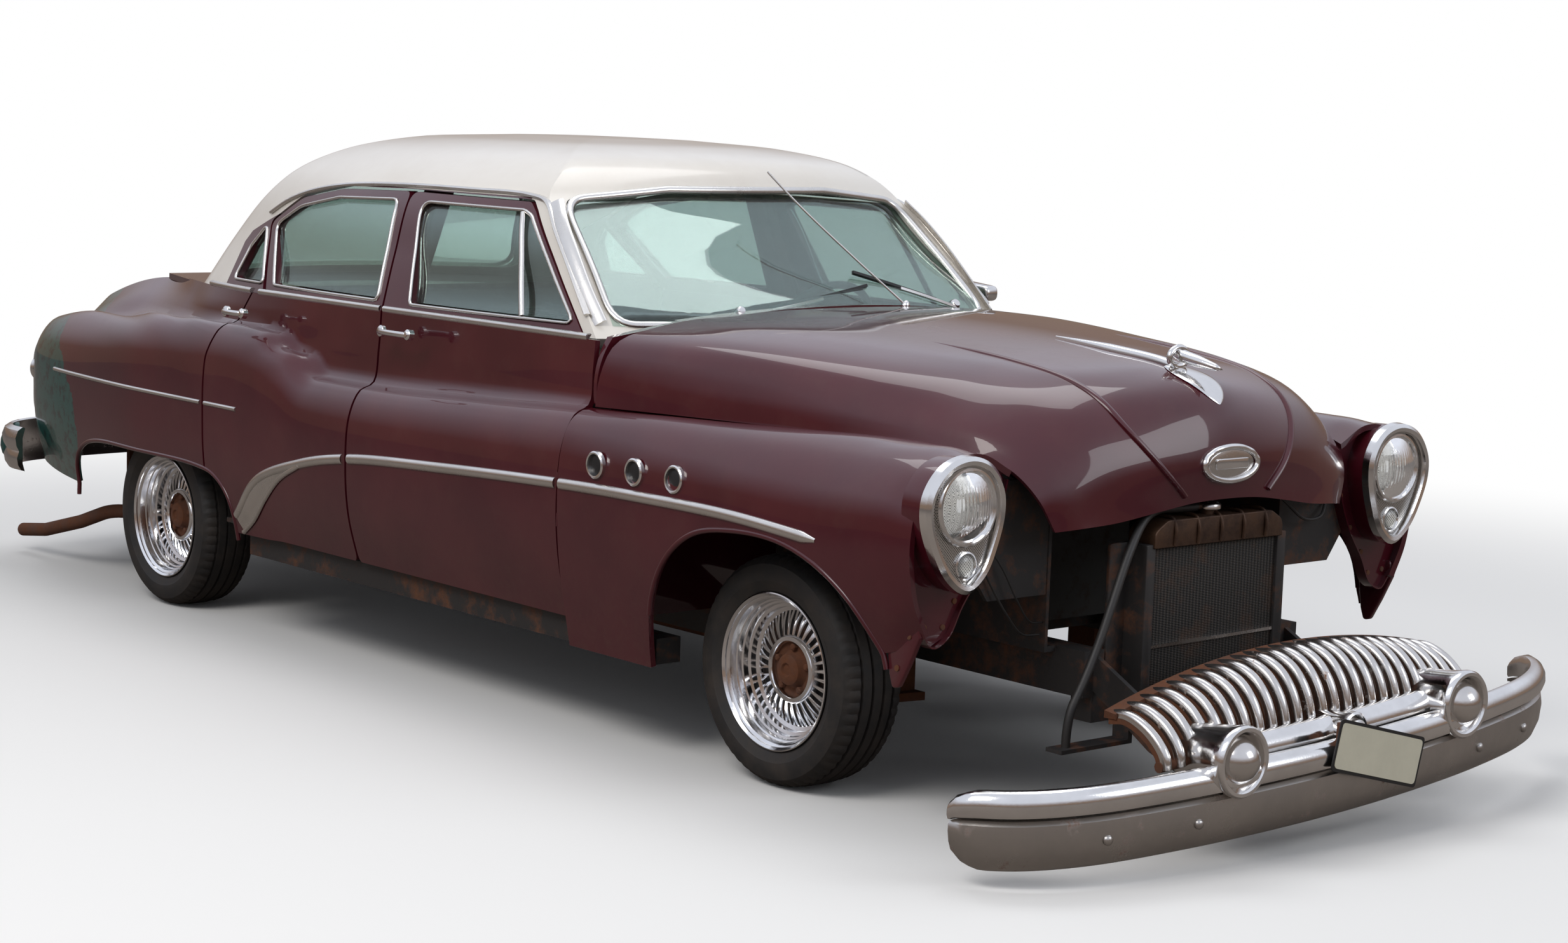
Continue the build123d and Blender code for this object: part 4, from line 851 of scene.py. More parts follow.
@dataclass(frozen=True)
class Plate(Finish):
    """Bright plated or polished metal, with pits and rust where it is old."""

    colour: Point = (0.80, 0.79, 0.78)
    rough: float = 0.10
    rust_colour: Point = (0.20, 0.075, 0.028)
    rust_from: float = 0.66
    rust_to: float = 0.74
    rust_scale: float = 16.0
    haze: float = 0.12

    def shade(self, shader: Shader) -> None:
        """Wires the plating, its haze and its pits.

        Args:
            shader: The material to wire.
        """
        large = shader.noise(self.rust_scale, 8, 0.72)
        rust = shader.ramp(large, [(self.rust_from, 0.0), (self.rust_to, 1.0)])
        haze = shader.ramp(shader.noise(7.0, 5, 0.6), [(0.35, 0.0), (0.75, 1.0)])
        shine = shader.mix(haze, self.colour, tuple(c * 0.82 for c in self.colour))
        shader.set(Base_Color=shader.mix(rust, shine, self.rust_colour))
        shader.set(Metallic=shader.math("SUBTRACT", 1.0, shader.math("MULTIPLY", rust, 0.85)))
        wear = shader.math("ADD", self.rough, shader.math("MULTIPLY", haze, self.haze))
        shader.set(Roughness=shader.math("ADD", wear, shader.math("MULTIPLY", rust, 0.6)))
        shader.bump(shader.math("ADD", rust, shader.noise(140, 2)), 0.12, 0.0012)


@dataclass(frozen=True)
class Iron(Finish):
    """Painted or bare steel gone dull, with rust patches."""

    colour: Point = (0.028, 0.026, 0.026)
    rust_colour: Point = (0.17, 0.07, 0.035)
    rust_from: float = 0.5
    rust_to: float = 0.68
    rough: float = 0.55
    metal: float = 0.2

    def shade(self, shader: Shader) -> None:
        """Wires the paint and its rust.

        Args:
            shader: The material to wire.
        """
        rust = shader.ramp(shader.noise(11, 8, 0.7), [(self.rust_from, 0.0), (self.rust_to, 1.0)])
        grain = shader.noise(90, 5, 0.7)
        tone = shader.mix(grain, self.rust_colour, tuple(c * 0.45 for c in self.rust_colour))
        shader.set(Base_Color=shader.mix(rust, self.colour, tone))
        shader.set(
            Roughness=shader.math("ADD", self.rough, shader.math("MULTIPLY", rust, 0.3)), Metallic=self.metal,
        )
        shader.bump(shader.math("ADD", grain, rust), 0.25, 0.0015)


@dataclass(frozen=True)
class Rubber(Finish):
    """Dark rubber with a brown bloom of dust."""

    colour: Point = (0.016, 0.015, 0.015)
    dust: Point = (0.075, 0.055, 0.042)
    dust_share: float = 0.5
    rough: float = 0.62

    def shade(self, shader: Shader) -> None:
        """Wires the rubber.

        Args:
            shader: The material to wire.
        """
        bloom = shader.ramp(shader.noise(12, 7, 0.7), [(0.42, 0.0), (0.8, self.dust_share)])
        shader.set(Base_Color=shader.mix(bloom, self.colour, self.dust))
        shader.set(Roughness=shader.math("ADD", self.rough, shader.math("MULTIPLY", bloom, 0.3)))
        shader.bump(shader.noise(260, 3, 0.6), 0.2, 0.0008)


@dataclass(frozen=True)
class Pane(Finish):
    """Thin clear glass with a slight tint and a film of dust."""

    tint: Point = (0.80, 0.90, 0.87)
    rough: float = 0.0
    film: float = 0.04
    shine: float = 0.5

    def shade(self, shader: Shader) -> None:
        """Wires clear glass that lets straight light through.

        Args:
            shader: The material to wire.
        """
        clear = shader.node("ShaderNodeBsdfTransparent")
        clear.inputs["Color"].default_value = (*self.tint, 1)
        gloss = shader.node("ShaderNodeBsdfGlossy")
        gloss.inputs["Roughness"].default_value = 0.02
        fresnel = shader.node("ShaderNodeFresnel")
        fresnel.inputs["IOR"].default_value = 1.5
        shine = shader.node("ShaderNodeMixShader")
        lift = shader.math("MINIMUM", shader.math("MULTIPLY", fresnel.outputs[0], self.shine), 0.5)
        shader.link(lift, shine.inputs[0])
        shader.link(clear.outputs[0], shine.inputs[1])
        shader.link(gloss.outputs[0], shine.inputs[2])
        dust = shader.node("ShaderNodeBsdfDiffuse")
        dust.inputs["Color"].default_value = (0.55, 0.53, 0.48, 1)
        cover = shader.ramp(shader.noise(5, 7, 0.7), [(0.4, self.film * 0.25), (0.85, self.film)])
        whole = shader.node("ShaderNodeMixShader")
        shader.link(cover, whole.inputs[0])
        shader.link(shine.outputs[0], whole.inputs[1])
        shader.link(dust.outputs[0], whole.inputs[2])
        shader.link(whole.outputs[0], shader.tree.nodes["Material Output"].inputs["Surface"])
        shader.tree.nodes.remove(shader.body)


@dataclass(frozen=True)
class Lens(Finish):
    """Moulded lamp glass, clear or coloured."""

    colour: Point = (0.95, 0.96, 0.95)
    transmission: float = 0.85
    rough: float = 0.06

    def shade(self, shader: Shader) -> None:
        """Wires the lens.

        Args:
            shader: The material to wire.
        """
        shader.set(
            Base_Color=shader.mix(shader.noise(30, 3), self.colour, tuple(c * 0.8 for c in self.colour))
        )
        shader.set(Roughness=self.rough, Transmission_Weight=self.transmission, IOR=1.45, Coat_Weight=0.6)
        shader.bump(shader.noise(120, 2), 0.08, 0.001)


@dataclass(frozen=True)
class Cloth(Finish):
    """Woven seat cloth, with ribs a few millimetres apart."""

    colour: Point = (0.42, 0.38, 0.33)
    shadow: Point = (0.26, 0.23, 0.20)
    pitch: float = 240.0

    def shade(self, shader: Shader) -> None:
        """Wires the weave.

        Args:
            shader: The material to wire.
        """
        place = shader.place()
        ribs = shader.math(
            "SINE", shader.math("MULTIPLY", shader.part(place, "Y"), self.pitch * math.pi),
        )
        rows = shader.math("SINE", shader.math("MULTIPLY", shader.part(place, "X"), self.pitch * math.pi))
        weave = shader.math("ADD", shader.math("MULTIPLY", ribs, 0.5), shader.math("MULTIPLY", rows, 0.5))
        worn = shader.ramp(shader.noise(6, 6, 0.7), [(0.35, 0.0), (0.75, 1.0)])
        shader.set(Base_Color=shader.mix(worn, self.colour, self.shadow), Roughness=0.85, Sheen_Weight=0.25)
        shader.bump(weave, 0.3, 0.0006)


@dataclass(frozen=True)
class Moulded(Finish):
    """Painted or moulded trim, satin."""

    colour: Point = (0.30, 0.27, 0.24)
    rough: float = 0.42
    grain: float = 300.0

    def shade(self, shader: Shader) -> None:
        """Wires the trim.

        Args:
            shader: The material to wire.
        """
        worn = shader.noise(8, 6, 0.7)
        shader.set(Base_Color=shader.mix(worn, self.colour, tuple(c * 0.72 for c in self.colour)))
        shader.set(Roughness=self.rough)
        shader.bump(shader.noise(self.grain, 3), 0.12, 0.0006)


@dataclass(frozen=True)
class Core(Finish):
    """A radiator's fins: fine rows with painted highlight, and painted shade in the gaps between them."""

    def shade(self, shader: Shader) -> None:
        """Wires the fins.

        Args:
            shader: The material to wire.
        """
        place = shader.place()
        fins = shader.math("SINE", shader.math("MULTIPLY", shader.part(place, "Z"), 1500.0))
        tubes = shader.math("SINE", shader.math("MULTIPLY", shader.part(place, "Y"), 520.0))
        lines = shader.math("ADD", shader.math("MULTIPLY", fins, 0.35), shader.math("MULTIPLY", tubes, 0.65))
        tone = shader.ramp(
            shader.math("ADD", shader.math("MULTIPLY", lines, 0.35), 0.5), [(0.3, 0.0), (0.8, 1.0)],
        )
        rust = shader.ramp(shader.noise(9, 6, 0.7), [(0.5, 0.0), (0.7, 0.5)])
        # near-black gaps between the rows are painted shade, the lighter rows a painted highlight
        metal = shader.mix(tone, (0.006, 0.006, 0.006), (0.06, 0.052, 0.045))
        shader.set(Base_Color=shader.mix(rust, metal, (0.10, 0.045, 0.022)), Roughness=0.6, Metallic=0.4)
        shader.bump(lines, 0.6, 0.002)


class Look:
    """The car's finishes."""

    MAROON = CarPaint("maroon_paint")
    # the tail paint carries the teal painted reflection on its right side
    TAIL = CarPaint("tail_paint", painted_reflection=(0.010, 0.075, 0.066))
    # teal paint for the dome on the bumper's right end: a painted reflection
    TEAL = CarPaint(
        "teal_painted_reflection", (0.004, 0.050, 0.045), (0.008, 0.085, 0.075), (0.10, 0.09, 0.06), 0.2, 0.42, 0.35,
    )
    TWO_TONE = TwoTone("roof_two_tone")
    CHROME = Plate("bright_chrome", rust_from=0.72, rust_to=0.80)
    PITTED = Plate("pitted_chrome", (0.66, 0.64, 0.62), 0.16, rust_from=0.60, rust_to=0.70, rust_scale=22)
    DULL_APRON = Plate("dull_apron", (0.50, 0.48, 0.46), 0.27, rust_from=0.58, rust_to=0.72, rust_scale=13)
    STAINLESS = Plate("stainless_trim", (0.74, 0.72, 0.69), 0.20, rust_from=0.90, rust_to=0.98, haze=0.15)
    ALLOY = Plate("polished_rim", (0.84, 0.84, 0.85), 0.09, rust_from=0.84, rust_to=0.92)
    BLACK = Iron("black_iron")
    RUSTY = Iron("rusty_iron", (0.10, 0.045, 0.028), (0.20, 0.075, 0.035), 0.35, 0.6, 0.75, 0.15)
    BRONZE = Iron("tank_bronze", (0.085, 0.045, 0.026), (0.045, 0.022, 0.014), 0.42, 0.66, 0.42, 0.55)
    GREY_CASTING = Iron("grey_casting", (0.09, 0.09, 0.088), (0.12, 0.06, 0.035), 0.52, 0.72, 0.6, 0.4)
    TYRE = Rubber("tyre_black")
    SEAL = Rubber("seal_rubber", (0.012, 0.012, 0.012), (0.05, 0.04, 0.035), 0.3)
    HOSE = Rubber("hose_rubber", (0.014, 0.013, 0.013), (0.05, 0.04, 0.03), 0.35, 0.5)
    GLASS = Pane("clear_glass")
    LENS = Lens("lamp_lens")
    RED_LENS = Lens("red_lens", (0.55, 0.02, 0.015), 0.55, 0.08)
    CLOTH = Cloth("seat_cloth")
    DASH = Moulded("dash_enamel", (0.20, 0.17, 0.15))
    CREAM = Moulded("cream_plate", (0.78, 0.75, 0.60), 0.5, 120.0)
    DARK = Moulded("dark_trim", (0.012, 0.012, 0.013), 0.5)
    CORE = Core("radiator_core")


def dressed(piece: Piece, finish: Finish) -> Piece:
    """Gives a piece one finish.

    Args:
        piece: The piece.
        finish: The finish.

    Returns:
        The same piece.
    """
    piece.data.materials.clear()
    piece.data.materials.append(finish.material())
    return piece


def fitted(piece: Piece, finish: Finish, body: str = "root") -> Piece:
    """Dresses a piece and sets it on a body.

    Args:
        piece: The piece, in place.
        finish: Its finish.
        body: The body that it moves with.

    Returns:
        The piece.
    """
    if finish is not None:
        dressed(piece, finish)
    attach(piece, body)
    return piece


SIDES = (("left", 1), ("right", -1))


# ------------------------------------------------------------------ body surfaces
@dataclass
class BodySide:
    """The car's left flank as two smooth skins: the front fender, and the doors with the rear fender.

    Each station is a place along the car, then (y, z) points down the section, in millimetres.
    """

    # seam, crown, shoulder, high side, widest, low side, lower edge
    fender: tuple = (
        (833, (850, 904), (884, 897), (922, 868), (950, 790), (958, 640), (945, 480), (905, 262)),
        (1180, (806, 910), (856, 914), (906, 882), (947, 800), (957, 640), (944, 480), (905, 262)),
        (1543, (733, 912), (812, 926), (882, 896), (940, 808), (957, 670), (944, 500), (905, 330)),
        (1905, (671, 912), (762, 938), (856, 908), (930, 820), (953, 690), (938, 540), (905, 420)),
        (2090, (640, 904), (738, 936), (845, 912), (926, 828), (949, 705), (932, 560), (896, 452)),
        (2190, (618, 880), (722, 926), (836, 908), (918, 826), (942, 716), (924, 590), (880, 500)),
    )
    # belt, slope, valley, crown, shoulder, widest, low side, lower edge
    flank: tuple = (
        (
            827, (838, 1085), (845, 1000), (854, 915), (903, 888), (943, 808), (958, 650), (945, 490),
            (907, 340),
        ),
        (
            300, (839, 1085), (846, 985), (861, 893), (910, 864), (946, 788), (958, 635), (945, 485),
            (907, 340),
        ),
        (
            -223, (840, 1085), (848, 970), (864, 874), (912, 850), (948, 775), (958, 625), (945, 480),
            (907, 340),
        ),
        (
            -480, (840, 1085), (849, 972), (865, 872), (913, 852), (949, 780), (958, 625), (945, 480),
            (907, 340),
        ),
        (
            -640, (839, 1085), (848, 1022), (858, 930), (908, 925), (948, 838), (958, 632), (945, 482),
            (909, 340),
        ),
        (
            -790, (838, 1085), (848, 1036), (858, 985), (903, 972), (946, 882), (958, 640), (946, 485),
            (914, 330),
        ),
        (
            -960, (836, 1085), (848, 1038), (860, 992), (900, 982), (944, 905), (958, 645), (946, 486),
            (920, 300),
        ),
        (
            -1250, (800, 1085), (824, 1033), (842, 982), (893, 983), (946, 898), (959, 648), (947, 488),
            (923, 312),
        ),
        (
            -1500, (735, 1085), (768, 1022), (806, 968), (878, 980), (946, 890), (959, 650), (948, 490),
            (925, 330),
        ),
        (
            -2000, (584, 1062), (660, 1002), (742, 924), (830, 946), (912, 856), (932, 640), (922, 500),
            (888, 352),
        ),
        (
            -2400, (578, 978), (634, 926), (706, 878), (786, 900), (858, 816), (872, 640), (866, 520),
            (835, 385),
        ),
        (
            -2560, (576, 890), (620, 856), (672, 828), (742, 850), (798, 776), (806, 640), (802, 560),
            (780, 500),
        ),
    )
    wall: float = 0.016
    rows: int = 46

    def skin(self, name: str, table: tuple, columns: int) -> Piece:
        """One smooth skin through a table of stations, with a wall behind it.

        Args:
            name: The object's name.
            table: The stations.
            columns: Steps along the car.

        Returns:
            A closed solid, thin as sheet metal.
        """
        stations = sorted(table, key=lambda row: row[0])
        knots = mm([row[0] for row in stations])
        rings = np.array([spline(mm(row[1:]), self.rows) for row in stations])
        along = np.linspace(knots[0], knots[-1], columns)
        sections = monotone(knots, rings, along)
        points = np.concatenate(
            [np.broadcast_to(along[:, None, None], sections.shape[:2] + (1,)), sections], axis=2,
        )
        piece = grid_piece(name, points[:, ::-1])
        facing = piece.data.polygons[len(piece.data.polygons) // 2].normal
        if facing.y < 0:
            piece.data.flip_normals()
        return thicken(piece, self.wall)

    def section_at(self, table: tuple, x: float) -> np.ndarray:
        """The (y, z) points of the flank's section at a place along the car, in metres.

        Args:
            table: The stations.
            x: The place along the car, in metres.

        Returns:
            The points.
        """
        stations = sorted(table, key=lambda row: row[0])
        knots = mm([row[0] for row in stations])
        rings = np.array([spline(mm(row[1:]), 120) for row in stations])
        return monotone(knots, rings, np.array([x]))[0]

    def out(self, x: float, z: float) -> float:
        """How far out the flank stands at (x, z), below its crown.

        Args:
            x: The place along the car, in metres.
            z: The height, in metres.

        Returns:
            The distance from the middle.
        """
        table = self.fender if x > 0.83 else self.flank
        section = self.section_at(table, x)
        crown = int(np.argmax(section[:, 0] > 0.5))
        lower = section[max(crown, 40):]
        order = np.argsort(lower[:, 1])
        return float(np.interp(z, lower[order, 1], lower[order, 0]))


FRONT_ARCH_LINE = mm(
    [(1188, 180), (1196, 330), (1222, 450), (1290, 565), (1400, 645), (1560, 676), (1740, 672), (1885, 628),
     (1985, 560), (2045, 480), (2078, 400), (2084, 180)]
)
REAR_ARCH_LINE = mm(
    [
        (-905, 180), (-915, 390), (-950, 462), (-1020, 510), (-1130, 528), (-1500, 532), (-1820, 528),
        (-1930, 505), (-2005, 462), (-2050, 394), (-2062, 180),
    ]
)


@dataclass
class Canopy:
    """The greenhouse surface that the roof, the pillars and the window frames share."""

    # z, front centre, front corner x and y, side x and y, rear corner x and y, rear centre
    levels: tuple = (
        (1080, 905, 745, 775, -300, 840, -1450, 740, -1900),
        (1250, 745, 570, 735, -300, 775, -1370, 665, -1760),
        (1440, 485, 375, 672, -300, 690, -1180, 600, -1500),
        (1540, 390, 290, 545, -300, 560, -1010, 480, -1236),
        (1590, 200, 110, 370, -300, 385, -780, 320, -1000),
        (1606, -20, -70, 190, -300, 200, -520, 160, -640),
    )
    steps: int = 46

    def ring(self, row: np.ndarray) -> np.ndarray:
        """The closed outline of one level, as (x, y) points.

        Args:
            row: The level's numbers after its height.

        Returns:
            The outline.
        """
        xf, xc, yc, xs, ys, xr, yr, xb = row
        front = arc_between((xc, -yc), (xf, 0), (xc, yc), self.steps)
        left = arc_between((xc, yc), (xs, ys), (xr, yr), 2 * self.steps)
        back = arc_between((xr, yr), (xb, 0), (xr, -yr), self.steps)
        right = arc_between((xr, -yr), (xs, -ys), (xc, -yc), 2 * self.steps)
        return np.vstack([front[:-1], left[:-1], back[:-1], right[:-1]])

    def grid(self, heights: np.ndarray) -> np.ndarray:
        """Rings at the given heights, as rows of points.

        Args:
            heights: Heights in metres.

        Returns:
            An array of rings, points and three.
        """
        table = mm(self.levels)
        rows = monotone(table[:, 0], table[:, 1:], heights)
        return np.array(
            [np.hstack([self.ring(r), np.full((6 * self.steps - 4, 1), z)]) for r, z in zip(rows, heights)]
        )

    def solid(self, name: str, wall: float) -> Piece:
        """The whole shell with its crown closed, as a closed solid.

        Args:
            name: The object's name.
            wall: The thickness, in metres.

        Returns:
            The shell.
        """
        low = np.linspace(1.080, 1.440, 26)
        high = 1.440 + 0.166 * np.sin(np.linspace(0, math.pi / 2, 26))[1:]
        rings = self.grid(np.concatenate([low, high]))
        crown = rings[-1]
        centre = crown.mean(axis=0)
        for share in (0.75, 0.5, 0.25, 0.06):
            ring = centre + (crown - centre) * share
            ring[:, 2] = crown[:, 2] + 0.0042 * (1 - share**2)
            rings = np.vstack([rings, ring[None]])
        rows, columns = rings.shape[:2]
        faces = grid_faces(rows, columns, close_columns=True) + [
            tuple((rows - 1) * columns + i for i in range(columns))
        ]
        piece = mesh_piece(name, rings.reshape(-1, 3), faces)
        if piece.data.polygons[5].normal.x < 0:
            piece.data.flip_normals()
        return thicken(piece, wall)

    def out(self, x: float, z: float) -> float:
        """How far out the left side stands at (x, z).

        Args:
            x: The place along the car, in metres.
            z: The height, in metres.

        Returns:
            The distance from the middle.
        """
        table = mm(self.levels)
        row = monotone(table[:, 0], table[:, 1:], np.array([z]))[0]
        left = self.ring(row)[self.steps - 1 : 3 * self.steps - 1]
        return float(np.interp(-x, -left[:, 0], left[:, 1]))

    def ahead(self, y: float, z: float) -> float:
        """How far forward the windscreen's plane stands at (y, z).

        Args:
            y: The distance out from the middle, in metres.
            z: The height, in metres.

        Returns:
            The place along the car.
        """
        row = monotone(mm(self.levels)[:, 0], mm(self.levels)[:, 1:], np.array([z]))[0]
        front = self.ring(row)[: self.steps]
        return float(np.interp(y, front[:, 1], front[:, 0]))

    def behind(self, y: float, z: float) -> float:
        """How far back the back window's plane stands at (y, z).

        Args:
            y: The distance out from the middle, in metres.
            z: The height, in metres.

        Returns:
            The place along the car.
        """
        row = monotone(mm(self.levels)[:, 0], mm(self.levels)[:, 1:], np.array([z]))[0]
        back = self.ring(row)[3 * self.steps - 2 : 4 * self.steps - 3]
        return float(np.interp(-y, -back[:, 1], back[:, 0]))


def arc_between(first: Point, through: Point, last: Point, count: int) -> np.ndarray:
    """An arc of a circle through three points in a plane.

    Args:
        first: Where the arc starts.
        through: A point on it.
        last: Where it ends.
        count: How many points to return.

    Returns:
        Points on the arc.
    """
    a, b, c = (np.asarray(p, float) for p in (first, through, last))
    twice = 2 * (a[0] * (b[1] - c[1]) + b[0] * (c[1] - a[1]) + c[0] * (a[1] - b[1]))
    if abs(twice) < 1e-9:
        return np.linspace(a, c, count)
    square = [p @ p for p in (a, b, c)]
    cx = (square[0] * (b[1] - c[1]) + square[1] * (c[1] - a[1]) + square[2] * (a[1] - b[1])) / twice
    cy = (square[0] * (c[0] - b[0]) + square[1] * (a[0] - c[0]) + square[2] * (b[0] - a[0])) / twice
    angles = [math.atan2(p[1] - cy, p[0] - cx) for p in (a, b, c)]
    turn = (angles[2] - angles[0]) % (2 * math.pi)
    if (angles[1] - angles[0]) % (2 * math.pi) > turn:
        turn -= 2 * math.pi
    radius = math.hypot(a[0] - cx, a[1] - cy)
    sweep = angles[0] + np.linspace(0, turn, count)
    return np.stack([cx + radius * np.cos(sweep), cy + radius * np.sin(sweep)], axis=1)


CANOPY = Canopy()
FLANK = BodySide()


class Window(Enum):
    """The side windows' outlines in side view, with corner radii, in millimetres."""

    FRONT = ((646, 1112, 14), (336, 1392, 26), (296, 1406, 30), (-204, 1408, 34), (-92, 1112, 16))
    REAR = (
        (-262, 1112, 16), (-338, 1408, 34), (-694, 1398, 200), (-930, 1360, 150), (-1066, 1296, 26),
        (-912, 1112, 18),
    )
    QUARTER = ((-992, 1112, 14), (-1140, 1290, 22), (-1200, 1220, 40), (-1222, 1112, 18))


@dataclass
class Shell:
    """The painted body: fenders, doors, quarters, roof and pillars."""

    outer_cut: float = 1.1

    # side view outlines in millimetres, with corner radii
    front_door: tuple = ((829, 1200, 0), (829, 336, 26), (-217, 336, 30), (-217, 1200, 0))
    rear_door: tuple = (
        (-227, 1200, 0), (-227, 336, 30), (-905, 336, 0), (-1063, 528, 0), (-1063, 880, 120),
        (-1040, 962, 60), (-965, 1100, 0), (-930, 1200, 0),
    )
    quarter: tuple = (
        (-940, 1200, 0), (-975, 1100, 0), (-1050, 962, 60), (-1073, 880, 120), (-1073, 200, 0),
        (-2600, 200, 0), (-2600, 1200, 0),
    )
    front_frame: tuple = ((700, 1078, 0), (344, 1404, 30), (306, 1430, 40), (-284, 1434, 30), (-217, 1078, 0))
    rear_frame: tuple = (
        (-227, 1078, 0), (-294, 1434, 30), (-700, 1424, 220), (-945, 1386, 160), (-1112, 1300, 26),
        (-945, 1078, 0),
    )
    aperture: tuple = (
        (715, 1070, 0), (352, 1408, 30), (315, 1437, 40), (-304, 1441, 30), (-702, 1433, 220),
        (-950, 1395, 160), (-1124, 1304, 26), (-979, 1092, 0), (-979, 1070, 0),
    )
    windscreen: tuple = ((712, 1112), (632, 1436), (560, 1458), (0, 1474))
    back_window: tuple = ((610, 1108), (505, 1392), (430, 1408), (0, 1412))

    def side_tool(self, outline: Sequence, low: float = 0.3) -> Piece:
        """A cutting prism over a side view outline given in millimetres."""
        line = [(a, b) for a, b in rounded([(x / 1000, z / 1000, r / 1000) for x, z, r in outline], 0, 8)]
        return prism("tool", line, low, self.outer_cut)

    def arch_tool(self, line: np.ndarray) -> Piece:
        """A cutting prism over a wheel opening."""
        return prism("tool", [tuple(p) for p in spline(line, 60)], 0.3, self.outer_cut)

    def front_tool(self, half: Sequence, low: float, high: float) -> Piece:
        """A cutting prism over a symmetrical front view outline given in millimetres.

        Args:
            half: The left half of the outline.
            low: Its rear end, in metres.
            high: Its front end, in metres.

        Returns:
            The prism.
        """
        right = [(-y, z) for y, z in reversed(half[:-1])]
        line = rounded([(y / 1000, z / 1000) for y, z in list(half) + right], 0.035, 7)
        return prism("tool", line, low, high, axis="x")

    def build(self) -> None:
        """Makes and fits every painted panel."""
        self.fenders()
        self.flanks()
        self.roof()

    def place_pair(self, piece: Piece, node: str, finish: Finish, body: Optional[str] = None) -> None:
        """Fits a left panel and its mirrored twin in place of their CAD nodes.

        Args:
            piece: The left panel.
            node: The CAD nodes' name without its side.
            finish: The finish.
            body: The body without its side, or nothing for the car itself.
        """
        twin = mirrored(piece, piece.name.replace("left", "right"))
        for panel, side in ((piece, "left"), (twin, "right")):
            crisp(panel)
            where = f"{body}_{side}" if body else "root"
            fitted(panel, finish, where)
            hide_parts(f"{node}_{side}")

    def fenders(self) -> None:
        """The front fenders, with their wheel openings."""
        fender = FLANK.skin("fender_skin_left", FLANK.fender, 90)
        cut(fender, [self.arch_tool(FRONT_ARCH_LINE)])
        self.place_pair(fender, "fender", Look.MAROON)
        self.arch_lips("front", FRONT_ARCH_LINE, 0.400)

    def arch_lips(self, name: str, line: np.ndarray, low: float) -> None:
        """A rolled lip round a wheel opening.

        Args:
            name: Which wheel opening.
            line: The opening in side view.
            low: The height where the lip ends.
        """
        points = spline(line, 90)
        points = points[points[:, 1] > low]
        path = np.array([(x, FLANK.out(float(x), float(z)) - 0.003, z) for x, z in points])
        lip = swept(f"arch_lip_{name}_left", path, circle(0.0075, 10), up=(0, 1, 0))
        for piece in (lip, mirrored(lip, f"arch_lip_{name}_right")):
            fitted(piece, Look.MAROON, "root")

    def flanks(self) -> None:
        """Doors and rear quarters, cut from one smooth flank, each door with its window frame."""
        whole = FLANK.skin("flank", FLANK.flank, 190)
        shell = CANOPY.solid("canopy", 0.026)
        for place, outline, ring, window in (
            ("front", self.front_door, self.front_frame, Window.FRONT),
            ("rear", self.rear_door, self.rear_frame, Window.REAR),
        ):
            panel = cut(copied(whole, f"door_{place}_panel"), [self.side_tool(outline)], "INTERSECT")
            if place == "rear":
                cut(panel, [self.arch_tool(REAR_ARCH_LINE)])
            sash = cut(copied(shell, "sash"), [self.side_tool(ring, 0.3)], "INTERSECT")
            cut(sash, [self.side_tool(window.value, 0.3)])
            self.place_pair(
                joined(f"door_{place}_left_skin", [panel, sash]), f"door_{place}", Look.MAROON,
                f"door_{place}",
            )
        quarter = cut(copied(whole, "quarter_left_skin"), [self.side_tool(self.quarter)], "INTERSECT")
        lid_clear = prism(
            "tool", [(-3.0, -0.2), (-1.949, -0.2), (-1.949, 0.573), (-3.0, 0.573)], 0.2, 1.3, axis="z",
        )
        cut(quarter, [self.arch_tool(REAR_ARCH_LINE), lid_clear])
        self.place_pair(quarter, "quarter", Look.TAIL)
        self.arch_lips("rear", REAR_ARCH_LINE, 0.30)
        removed(whole)
        removed(shell)

    def roof(self) -> None:
        """The roof with its pillars, and the centre pillars behind the doors."""
        roof = CANOPY.solid("roof_skin", 0.03)
        tools = [self.front_tool(self.windscreen, 0.3, 1.0), self.front_tool(self.back_window, -2.0, -1.33)]
        for outline in (self.aperture, Window.QUARTER.value):
            left = self.side_tool(outline)
            tools += [left, mirrored(left, "tool")]
        cut(roof, tools)
        fitted(crisp(roof), Look.TWO_TONE, "root")
        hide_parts("roof_canopy")
        line = mm([(834, 345), (774, 1085), (648, 1438), (612, 1462)])
        inner = line - (0.05, 0)
        outline = [tuple(p) for p in line] + [tuple(p) for p in inner[::-1]]
        pillar = eased(prism("centre_pillar_left", outline, -0.300, -0.205, axis="x"), 0.006)
        for piece in (pillar, mirrored(pillar, "centre_pillar_right")):
            fitted(piece, Look.MAROON, "root")


